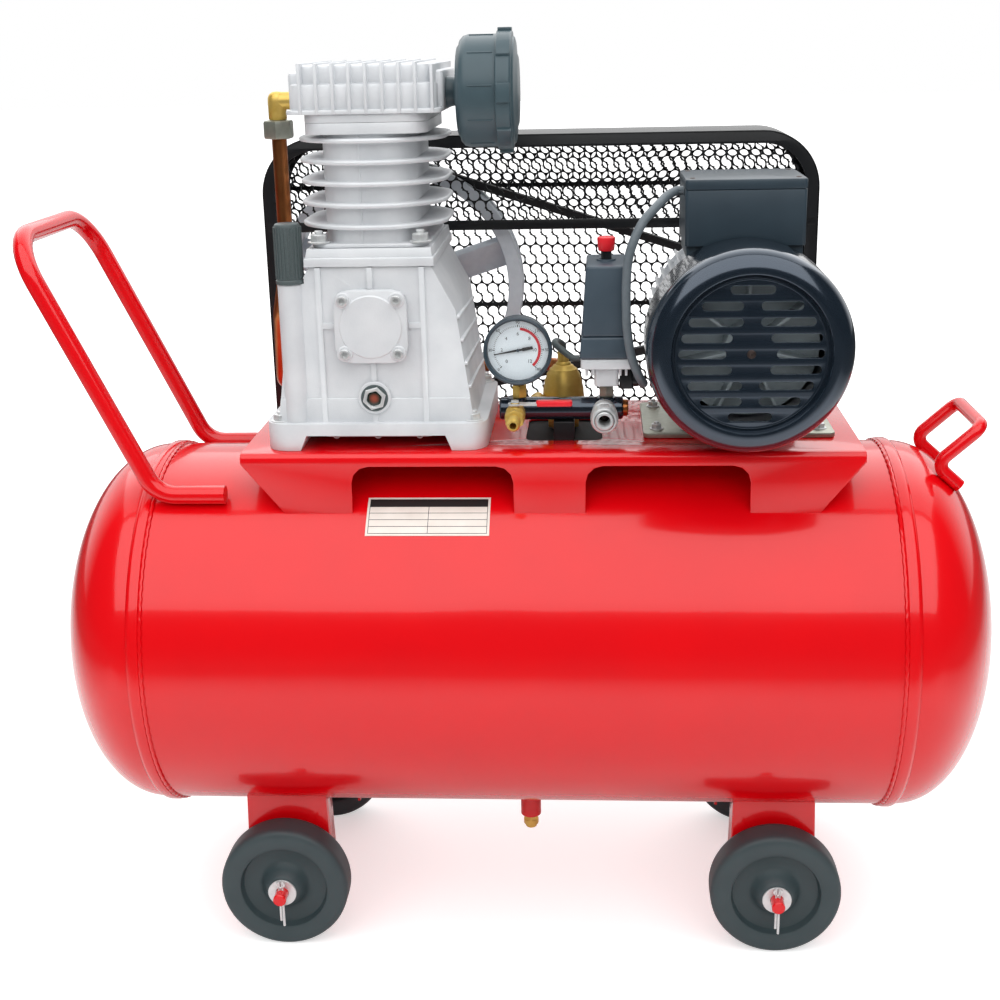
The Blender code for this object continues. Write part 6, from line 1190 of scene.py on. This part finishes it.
def net_rows(top, low_z, strips):
    """Rows of a punched sheet from the top down: height, flat side and neck; also the strips' heights."""
    row_pitch = HOLE_PITCH * math.sqrt(3) / 2
    panels, plain, z = [[top]], [], top
    while z - row_pitch > low_z:
        if any(z - row_pitch < strip <= z for strip in strips):
            plain.append(z - STRIP_EDGE - STRIP_PLAIN / 2)
            z -= 2 * STRIP_EDGE + STRIP_PLAIN
            panels.append([z])
        else:
            z -= row_pitch
            panels[-1].append(z)
    rows = []
    for number, panel in enumerate(panels):
        for i, level in enumerate(panel):
            last = i == len(panel) - 1
            flat = 1 if i == 0 and number else -1 if last and number < len(panels) - 1 else 0
            rows.append((level, flat, 120 if i % 2 else 0 if last else 300))
    return rows, plain


def perforated(low_z, strips):
    """A punched sheet inside the guard's rim, down to a height, with plain strips across it."""
    room = GUARD_SHEET + 0.0072
    bend = GUARD_CORNER - room
    middle = (guard_low.x + guard_high.x) / 2
    columns = int((guard_high.x - guard_low.x - 2 * room) / HOLE_PITCH / 2)
    rows, plain = net_rows(guard_high.z - room, low_z, strips)
    sheet = bmesh.new()
    mesh = bpy.data.meshes.new("cell")
    for row, (z, flat, neck) in enumerate(rows):
        cell = net_cell(flat, neck)
        cell.to_mesh(mesh)
        cell.free()
        line = bmesh.new()
        for column in range(-columns, columns + 1 - row % 2):
            x = middle + column * HOLE_PITCH + HOLE_PITCH / 2 * (row % 2)
            beside = max(guard_low.x + GUARD_CORNER - x, x - guard_high.x + GUARD_CORNER, 0)
            above = max(z - guard_high.z + GUARD_CORNER, 0)
            if math.hypot(beside, above) > bend and beside and above:
                continue
            mesh.transform(Matrix.Translation((x, z, 0)))
            line.from_mesh(mesh)
            mesh.transform(Matrix.Translation((-x, -z, 0)))
        line.to_mesh(mesh)
        sheet.from_mesh(mesh)
        line.free()
    bpy.data.meshes.remove(mesh)
    bmesh.ops.remove_doubles(sheet, verts=sheet.verts, dist=2e-5)
    bmesh.ops.recalc_face_normals(sheet, faces=sheet.faces)
    bmesh.ops.solidify(sheet, geom=sheet.faces, thickness=NET_SHEET)
    strip_size = ((2 * columns + 1) * HOLE_PITCH, STRIP_PLAIN + 0.0006, NET_SHEET)
    return [sheet] + [put(slab(strip_size), (middle, z, -NET_SHEET / 2)) for z in plain]


for side, low_z, strips in (("rear", guard_low.z + 0.009, PLAIN_STRIPS),
                            ("front", deck_z + GUARD_BAR_LOW + 0.006, ())):
    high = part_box("guard_mesh_" + side)[1]
    net = [(put(work, (0, high.y, 0), TO_FRONT), 0) for work in perforated(low_z, strips)]
    piece("guard_net_" + side, "frame", net, [guard_black], ["guard_mesh_" + side])

# Manifold: a black pipe across the deck on a square riser from the receiver, with a copper-coloured plug.
# A dark rubber sheet fills the hatch round the riser as painted shade for the opening, and a small brass
# relief valve stands behind.
HATCH_FORWARD, HATCH_DROP, HATCH_SHADE_SHEET, VALVE_NECK = -0.018, 0.0040, (0.042, 0.050, 0.0012), 0.0114
RISER_GAP, RISER_EASE, BOSS_PLACES = 0.0003, 0.0008, (0.016, 0.102)
low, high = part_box("manifold")
middle = (low + high) / 2
bar_z, bar_y = middle.z, middle.y
length = high.x - low.x
pipe = turned([(0, length - 0.005), (0.0098, length - 0.005), (0.0110, length - 0.0064), (0.0110, 0.0014),
               (0.0098, 0), (0, 0)], 64)
plug = turned([(0, length), (0.0068, length), (0.0080, length - 0.0010), (0.0080, length - 0.0060),
               (0, length - 0.0060)], 48)
shapes = [(put(pipe, (low.x, bar_y, bar_z), TO_RIGHT), 0), (put(plug, (low.x, bar_y, bar_z), TO_RIGHT), 1)]
for x in BOSS_PLACES:
    boss = turned([(0, 0.0112), (0.0090, 0.0112), (0.0098, 0.0102), (0.0098, 0.0), (0, 0.0)], 40)
    shapes.append((put(boss, (low.x + x, bar_y, bar_z)), 0))
piece("manifold_pipe", "frame", shapes, [black_gloss, copper], ["manifold"])
low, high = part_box("manifold_riser")
deck_low, deck_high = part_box("deck")
hatch_x, hatch_y = (low.x + high.x) / 2, (deck_low.y + deck_high.y) / 2 + HATCH_FORWARD
square = ((-1, -1), (1, -1), (1, 1), (-1, 1))
riser_half = (high - low) / 2 + Vector((RISER_GAP, RISER_GAP, 0))
hatch = [[(hatch_x + x * HATCH_SHADE_SHEET[0], hatch_y + y * HATCH_SHADE_SHEET[1]) for x, y in square],
         [(hatch_x + x * riser_half.x, (low.y + high.y) / 2 + y * riser_half.y) for x, y in square],
         arc((valve.x, valve.y), VALVE_NECK, 0, 350, 35)]
# Painted shade: the dark sheet just under the deck stands in for the shadow inside the hatch.
piece("hatch_painted_shade_sheet", "frame", [(put(cut_sheet(hatch, HATCH_SHADE_SHEET[2]), (0, 0, deck_z - HATCH_DROP)), 0)],
      [belt_rubber], [])
piece("manifold_riser_square", "frame", [(cad_copy("manifold_riser", RISER_EASE), 0)], [guard_black],
      ["manifold_riser"])
low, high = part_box("safety_valve")
middle = (low + high) / 2
length = high.y - low.y
relief = turned([(0, 0), (0.0066, 0), (0.0066, 0.004), (0.0078, 0.0046), (0.0080, 0.0060),
                 (0.0080, length - 0.0150), (0.0072, length - 0.0136), (0.0055, length - 0.0132),
                 (0.0055, length - 0.0012), (0.0044, length), (0, length)], 40)
piece("relief_valve_brass", "frame", [(put(relief, (middle.x, low.y, middle.z), TO_REAR), 0)], [brass],
      ["safety_valve"])

# Pressure gauge: a dark slate case on a brass stem, a white printed dial with plain numbers,
# a red sector, a black pointer on a pin and a clear lens.
DIAL_START, DIAL_SWEEP, DIAL_TOP, POINTER_LEAN = 225, 270, 12, math.radians(10)
ARC_INNER, ARC_OUTER, TICK_INNER = 0.0190, 0.0216, 0.0219
NUMBER_RINGS = ((0.0263, 15, 0.0038), (0.0154, 1, 0.0046))
GAUGE_DEPTH, CARD_BACK, INK_PROUD, INK = 0.028, 0.0190, 0.0003, 0.0001
FITTING_FOOT, STEM_HEXAGON, NECK_RISE = 0.0113, (0.0074, 0.0120, 0.0008), 0.010
TICK_LONG, TICK_SHORT = (0.0022, 0.0008, INK), (0.0014, 0.0004, INK)
SECTOR_START, SECTOR_END = 84, -47
low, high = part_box("gauge_case")
lens_low, lens_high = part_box("gauge_lens")
dial_x, dial_z = (lens_low.x + lens_high.x) / 2, (lens_low.z + lens_high.z) / 2
depth = GAUGE_DEPTH
back_y = low.y + depth
reach = (high.x - low.x) / 2
case = turned([(0, 0.0188), (0.0289, 0.0188), (0.0289, depth - 0.0018), (0.0296, depth - 0.0006),
               (0.0308, depth), (0.0318, depth - 0.0005), (reach, depth - 0.0020), (reach, depth - 0.0070),
               (reach - 0.0008, depth - 0.0082), (0.0306, depth - 0.0090), (0.0306, 0.0020), (0.0286, 0),
               (0, 0)], 96)
stem_low = bar_z + FITTING_FOOT
stem = hexagon(*STEM_HEXAGON)
neck = turned([(0, 0), (0.0052, 0), (0.0052, 0.026), (0, 0.026)], 32)

# Printed dial card: a matt cold white, faintly mottled, with black and red ink.
dial_card = toned("printed_dial_card", FOIL_CLOUD_MM, "#CFD9DF", "#DBE4E9", Roughness=0.6)
red_ink = toned("red_dial_ink", FOIL_CLOUD_MM, "#B90A22", "#C8142A", Roughness=0.55)
dial_y = back_y - CARD_BACK
ink_y = dial_y - INK_PROUD
shapes = [(put(case, (dial_x, back_y, dial_z), TO_FRONT), 0), (put(stem, (dial_x, bar_y, stem_low)), 1),
          (put(neck, (dial_x, bar_y, stem_low + NECK_RISE)), 1)]
card = turned([(0, 0.0004), (0.0287, 0.0004), (0.0287, 0), (0, 0)], 96)
shapes.append((put(card, (dial_x, dial_y + 0.0002, dial_z), TO_FRONT), 2))
pivot = turned([(0, 0.0038), (0.0010, 0.0037), (0.0014, 0.0032), (0.0014, 0), (0, 0)], 20)
shapes.append((put(pivot, (dial_x, dial_y, dial_z), TO_FRONT), 0))
for tick in range(DIAL_TOP * 5 + 1):
    size = TICK_SHORT if tick % 10 else TICK_LONG
    mark = put(slab(size), (TICK_INNER + size[0] / 2, 0, 0))
    turn = Matrix.Rotation(math.radians(DIAL_START - DIAL_SWEEP * tick / DIAL_TOP / 5), 4, "Z")
    shapes.append((put(mark, (dial_x, ink_y, dial_z), TO_FRONT @ turn), 3))
for ring, factor, height in NUMBER_RINGS:
    for number in range(0, DIAL_TOP + 1, 2):
        text = bpy.data.curves.new("number", "FONT")
        text.body = str(number * factor)
        text.size = height
        text.align_x, text.align_y = "CENTER", "CENTER"
        text.extrude = INK / 2
        angle = math.radians(DIAL_START - DIAL_SWEEP * number / DIAL_TOP)
        spot = (dial_x + ring * math.cos(angle), ink_y, dial_z + ring * math.sin(angle))
        shapes.append((put(from_curve(text), spot, TO_FRONT), 3))
sector = cut_sheet([arc((0, 0), ARC_OUTER, SECTOR_START, SECTOR_END, 40)
                    + arc((0, 0), ARC_INNER, SECTOR_END, SECTOR_START, 40)], INK)
shapes.append((put(sector, (dial_x, ink_y, dial_z), TO_FRONT), 4))
piece("gauge_case_and_dial", "frame", shapes, [box_slate, brass, dial_card, black_ink, red_ink],
      ["gauge_case"])
low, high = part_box("gauge_pointer")
half_blade = [(-0.0230, 0.0003), (-0.002, 0.0010), (0.0040, 0.0010), (0.0046, 0.0015), (0.0136, 0.0015),
              (0.0142, 0.0008)]
blade = cut_sheet([half_blade + [(x, -y) for x, y in half_blade[::-1]]], high.y - low.y)
piece("gauge_pointer_blade", "pointer", [(put(blade, (dial_x, (low.y + high.y) / 2, dial_z),
                                              TO_FRONT @ Matrix.Rotation(POINTER_LEAN, 4, "Z")), 0)],
      [black_ink], ["gauge_pointer"])

# Clear acrylic lens: nearly invisible, with a faint gloss and the lightest haze.
lens_clear = toned("clear_acrylic", FOIL_CLOUD_MM, "#E8EEF0", "#F4F8F9", Roughness=0.04, Alpha=0.015)
reach = (lens_high.x - lens_low.x) / 2
glass = turned([(0, 0.0020), (reach - 0.0008, 0.0016), (reach, 0.0010), (reach, 0), (0, 0)], 72)
piece("gauge_lens_clear", "frame", [(put(glass, (dial_x, lens_high.y, dial_z), TO_FRONT), 0)], [lens_clear],
      ["gauge_lens"])

# Pressure switch: a die-cast base on a plated nipple, a tapered slate cover with a joint line,
# a red push knob on a black stem, and a black gland for the motor's lead.
GLAND_FORWARD, GLAND_SIZE = 0.023, (0.0130, 0.0150, 0.0190)
BASE_PLATE, BASE_STEM, BASE_RIB = (0.0480, 0.078, 0.0098), (0.0230, 0.062, 0.0190), (0.0026, 0.066, 0.0100)
BASE_RIBS, BASE_TOP, BASE_BOSS_DROP = (-0.0185, -0.0130, 0.0130, 0.0185), 0.014, 0.0140
BASE_PLATE_RISE, BASE_STEM_DROP, BASE_RIB_RISE = 0.0090, 0.0045, 0.0020
GLAND_DROP, LEAD_DROP, NIPPLE = 0.0070, 0.0088, 0.0075
low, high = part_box("switch_base")
cover_low, cover_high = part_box("switch_cover")
switch_x, switch_y = (cover_low.x + cover_high.x) / 2, (cover_low.y + cover_high.y) / 2
base_z = high.z - BASE_TOP
shapes = [(put(slab(BASE_PLATE, 0.003, 0.0012, 4), (switch_x, switch_y, base_z + BASE_PLATE_RISE)), 0),
          (put(slab(BASE_STEM, 0.004, 0.0016, 4), (switch_x, switch_y, base_z - BASE_STEM_DROP)), 0)]
boss = turned([(0, 0), (0.0100, 0), (0.0110, 0.0012), (0.0112, 0.0148), (0, 0.0148)], 48)
shapes.append((put(boss, (switch_x, bar_y, base_z - BASE_BOSS_DROP)), 0))
for x in BASE_RIBS:
    rib = slab(BASE_RIB, 0.001, 0.0008, 3)
    shapes.append((put(rib, (switch_x + x, switch_y, base_z + BASE_RIB_RISE)), 0))
nipple = hexagon(NIPPLE, base_z - BASE_BOSS_DROP - bar_z - FITTING_FOOT)
shapes.append((put(nipple, (switch_x, bar_y, bar_z + FITTING_FOOT)), 1))
gland_x, gland_y, gland_z = high.x - GLAND_SIZE[0] / 2, switch_y - GLAND_FORWARD, base_z - LEAD_DROP
shapes.append((put(slab(GLAND_SIZE, 0.003, 0.0012, 4), (gland_x, gland_y, base_z - GLAND_DROP)), 2))
collar = turned([(0.0043, 0), (0.0068, 0), (0.0066, 0.0050), (0.0056, 0.0064), (0.0043, 0.0064)], 32,
                ring=True)
shapes.append((put(collar, (high.x - 0.0010, gland_y, gland_z), TO_RIGHT), 2))
piece("switch_base_cast", "frame", shapes, [cast_aluminium, nickel, guard_black], ["switch_base"])

# Moulded ABS: blue-grey, smooth satin, with slight sink marks.
ABS_SINK_MM = 16
grey_abs = toned("moulded_blue_grey_abs", ABS_SINK_MM, "#36444F", "#42505B", relief=(0.0002, 0.3),
                 Roughness=0.4)
SWITCH_SPLIT, SWITCH_FOOT, SWITCH_TOP = 0.24, Vector((0.049, 0.082)), Vector((0.037, 0.080))
height = cover_high.z - cover_low.z
split = height * SWITCH_SPLIT


def tapered(start, end, swell):
    """A stretch of the cover's taper between two heights, swelled a little sideways."""
    work = bmesh.new()
    bmesh.ops.create_cube(work, size=1.0)
    for vertex in work.verts:
        rise = start + (vertex.co.z + 0.5) * (end - start)
        size = SWITCH_FOOT.lerp(SWITCH_TOP, rise / height) + Vector((swell, swell))
        vertex.co = (vertex.co.x * size.x, vertex.co.y * size.y, rise)
    return eased(work, 0.0022, 3)


cap = tapered(split + 0.0004, height, 0.0)
skirt = tapered(0.0, split, 0.0006)
rim = turned([(0.0056, 0.0), (0.0092, 0.0), (0.0088, 0.0016), (0.0056, 0.0016)], 40, ring=True)
place = (switch_x, switch_y, cover_low.z)
piece("switch_cover_moulded", "frame", [(put(cap, place), 0), (put(skirt, place), 0),
                                        (put(rim, (switch_x, switch_y, cover_high.z - 0.0002)), 0)],
      [grey_abs], ["switch_cover"])

# Moulded red plastic: a bright glossy red with a slightly paler wash in thin places.
RED_FLOW_MM = 8
red_plastic = toned("moulded_red_plastic", RED_FLOW_MM, "#D6121F", "#EA2431", Roughness=0.32)
low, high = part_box("switch_knob")
full = high.z - low.z
knob = turned([(0, full), (0.0070, full), (0.0082, full - 0.0007), (0.0085, full - 0.0020),
               (0.0076, full - 0.0122), (0.0070, full - 0.0130), (0, full - 0.0130)], 48)
stem = turned([(0, full - 0.0128), (0.0050, full - 0.0128), (0.0050, 0.0006), (0.0044, 0), (0, 0)], 32)
piece("switch_push_knob", "knob", [(put(knob, (switch_x, switch_y, low.z)), 0),
                                   (put(stem, (switch_x, switch_y, low.z)), 1)],
      [red_plastic, guard_black], ["switch_knob"])

# Motor lead: a round mid-grey PVC cable from the terminal box down to the switch's gland.
LEAD_RADIUS, UNLOADER_RADIUS, CORD_STEPS, CORD_ROUNDS = 0.0042, 0.0032, 10, 6
LEAD_BOX_DROP, CORD_STUB, WHIP_SIDE, WHIP_GAP, WHIP_PORT = 0.0117, 0.006, 0.012, 0.0008, 0.007
LEAD_POINTS = ((0.656, -0.009, 0.977), (0.414, -0.027, 0.928), (0.173, -0.041, 0.869),
               (-0.02, -0.0475, 0.776), (-0.136, -0.0485, 0.668), (-0.169, -0.0485, 0.542),
               (-0.167, -0.0485, 0.405), (-0.151, -0.0485, 0.308), (-0.07, -0.0475, 0.167),
               (0.0855, -0.0435, 0.051), (0.195, -0.034, -0.007))


def smooth(route):
    """A smooth curve through a route's points; its first and last stretches stay straight."""
    ends = [Vector(point) for point in route]
    path = [ends[0]]
    for a, b, c, d in zip(ends, ends[1:], ends[2:], ends[3:]):
        for i in range(CORD_STEPS):
            t = i / CORD_STEPS
            path.append(0.5 * (2 * b + (c - a) * t + (2 * a - 5 * b + 4 * c - d) * t ** 2
                               + (3 * b - a - 3 * c + d) * t ** 3))
    return path + ends[-2:]


def hose(name, route, radius, finish, node):
    """A free cord along a route, from one piece of the object into another."""
    path = smooth(route)
    curve = round_bar(name, path, radius, CORD_ROUNDS)
    curve.materials.append(finish)
    made = bpy.data.objects.new(name, curve)
    bpy.context.scene.collection.objects.link(made)
    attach(made, "frame")
    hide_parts(node)


# Extruded PVC sheath: mid grey, soft satin, with fine drag lines.
pvc = toned("extruded_grey_pvc", RED_FLOW_MM, "#565F65", "#6A7379", 3.0, relief=(0.0001, 0.3), Roughness=0.45)
box_x, gland_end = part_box("motor_lead")[1].x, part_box("switch_base")[1].x + 0.0003
box_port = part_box("terminal_box")[1].z - LEAD_BOX_DROP
span, fall = box_x - gland_end, box_port - gland_z
lead = [(box_x, switch_y, box_port), (box_x - CORD_STUB, switch_y, box_port)]
lead += [(gland_end + along * span, switch_y + forward, gland_z + up * fall)
         for along, forward, up in LEAD_POINTS]
lead += [(gland_end + CORD_STUB, gland_y, gland_z), (gland_end, gland_y, gland_z)]
hose("motor_lead_cable", lead, LEAD_RADIUS, pvc, "motor_lead")
low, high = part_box("unloader_tube")
crest = high.z - UNLOADER_RADIUS - WHIP_GAP
port_z = base_z + WHIP_PORT
whip = [(high.x, switch_y, port_z), (high.x - CORD_STUB, switch_y, port_z),
        (valve.x - CORD_STUB, switch_y + WHIP_SIDE, crest), (valve.x - CORD_STUB, valve.y - WHIP_SIDE, crest),
        (valve.x, valve.y, crest - CORD_STUB), (valve.x, valve.y, crest - 2 * CORD_STUB)]
hose("unloader_hose", whip, UNLOADER_RADIUS, dark_nylon, "unloader_tube")

# Outlets: a brass ball valve with a ribbed hose barb and a steel lever in a red sleeve,
# and a plated quick coupler with a sliding ring.
TAP_HEXAGONS, TAP_HEXAGON = (0.0100, 0.0296), (0.0095, 0.0060, 0.0008)
BARB_TEETH, BARB_PITCH = 4, 0.0044
LEVER_LENGTH, LEVER_HALF, LEVER_SHEET, LEVER_EYE, LEVER_BORE = 0.053, 0.0034, 0.0018, 0.0064, 0.0043
GRIP_SIZE, GRIP_OUT, GRIP_RISE = (0.034, 0.0098, 0.0052), 0.0370, 0.0006
SLEEVE_RIDGES, SLEEVE_RIDGE = 24, (0.0007, 0.0010, 0.0100)
low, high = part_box("ball_valve_body")
tap_x = (low.x + high.x) / 2
start_y = high.y
body = turned([(0, 0), (0.0082, 0), (0.0082, 0.0080), (0.0095, 0.0092), (0.0095, 0.0280), (0.0084, 0.0296),
               (0.0084, 0.0340), (0, 0.0340)], 48)
shapes = [(put(body, (tap_x, start_y, bar_z), TO_FRONT), 0)]
for y in TAP_HEXAGONS:
    shapes.append((put(hexagon(*TAP_HEXAGON), (tap_x, start_y - y, bar_z), TO_FRONT), 0))
barb = [(0.0032, 0.0300), (0.0032, 0.0580), (0.0044, 0.0580), (0.0058, 0.0545)]
for i in range(BARB_TEETH):
    barb += [(0.0062, 0.0540 - i * BARB_PITCH), (0.0050, 0.0532 - i * BARB_PITCH)]
barb += [(0.0050, 0.0300)]
shapes.append((put(turned(barb, 40, ring=True), (tap_x, start_y, bar_z), TO_FRONT), 0))
stem = turned([(0, 0), (0.0039, 0), (0.0039, 0.0126), (0.0030, 0.0136), (0, 0.0136)], 32)
lever_low, lever_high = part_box("ball_valve_lever")
stem_y = (lever_low.y + lever_high.y) / 2
shapes.append((put(stem, (tap_x, stem_y, bar_z)), 0))
shapes.append((put(hexagon(0.0042, 0.0022, 0.0005), (tap_x, stem_y, lever_high.z + 0.0002)), 1))
piece("ball_valve_brass", "frame", shapes, [brass, zinc], ["ball_valve_body"])
outline = [(LEVER_LENGTH, -LEVER_HALF), (LEVER_LENGTH, LEVER_HALF)] + arc((0, 0), LEVER_EYE, 40, 320, 20)
blade = cut_sheet([outline, arc((0, 0), LEVER_BORE, 0, 345, 23)], LEVER_SHEET, 0.0003)
lever_z = (lever_low.z + lever_high.z) / 2
grip = put(slab(GRIP_SIZE, 0.0030, 0.0014, 5), (tap_x + GRIP_OUT, stem_y, lever_z + GRIP_RISE))
piece("ball_valve_lever_grip", "tap_lever", [(put(blade, (tap_x, stem_y, lever_z)), 1), (grip, 0)],
      [red_plastic, zinc], ["ball_valve_lever"])
low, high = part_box("coupler_body")
coupler_x = (low.x + high.x) / 2
length = high.y - low.y
body = turned([(0, 0.019), (0.0055, 0.019), (0.0055, length - 0.001), (0.0062, length), (0.0078, length),
               (0.0087, length - 0.001), (0.0087, 0.0084), (0.0105, 0.0080), (0.0112, 0.0070),
               (0.0112, 0.0006), (0.0105, 0), (0, 0)], 56)
nut = hexagon(0.0115, 0.0078, 0.0010)
# The valve core in the bore is black oxide steel, dark partly as painted shade for the deep bore.
core = turned([(0, 0.0075), (0.0010, 0.0070), (0.0022, 0.0035), (0.0034, 0.0028), (0.0054, 0.0010),
               (0.0054, 0), (0, 0)], 24)
piece("coupler_body_plated", "frame", [(put(body, (coupler_x, high.y, bar_z), TO_FRONT), 0),
                                       (put(nut, (coupler_x, high.y, bar_z), TO_FRONT), 0),
                                       (put(core, (coupler_x, high.y - 0.0192, bar_z), TO_FRONT), 1)],
      [zinc, black_oxide], ["coupler_body"])
low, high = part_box("coupler_sleeve")
length = high.y - low.y
sleeve = turned([(0.0092, 0), (0.0116, 0), (0.0124, 0.0010), (0.0126, 0.0034), (0.0118, 0.0042),
                 (0.0118, 0.0060), (0.0127, 0.0068), (0.0127, length - 0.0040), (0.0122, length - 0.0012),
                 (0.0110, length), (0.0096, length), (0.0092, length - 0.0008)], 64, ring=True)
shapes = [(put(sleeve, (coupler_x, high.y, bar_z), TO_FRONT), 0)]
shapes += around(lambda: slab(SLEEVE_RIDGE, 0.0003, rounds=1), SLEEVE_RIDGES, (0.0127, 0, 0.0135),
                 (coupler_x, high.y, bar_z), TO_FRONT)
piece("coupler_sleeve_ring", "sleeve", shapes, [zinc], ["coupler_sleeve"])
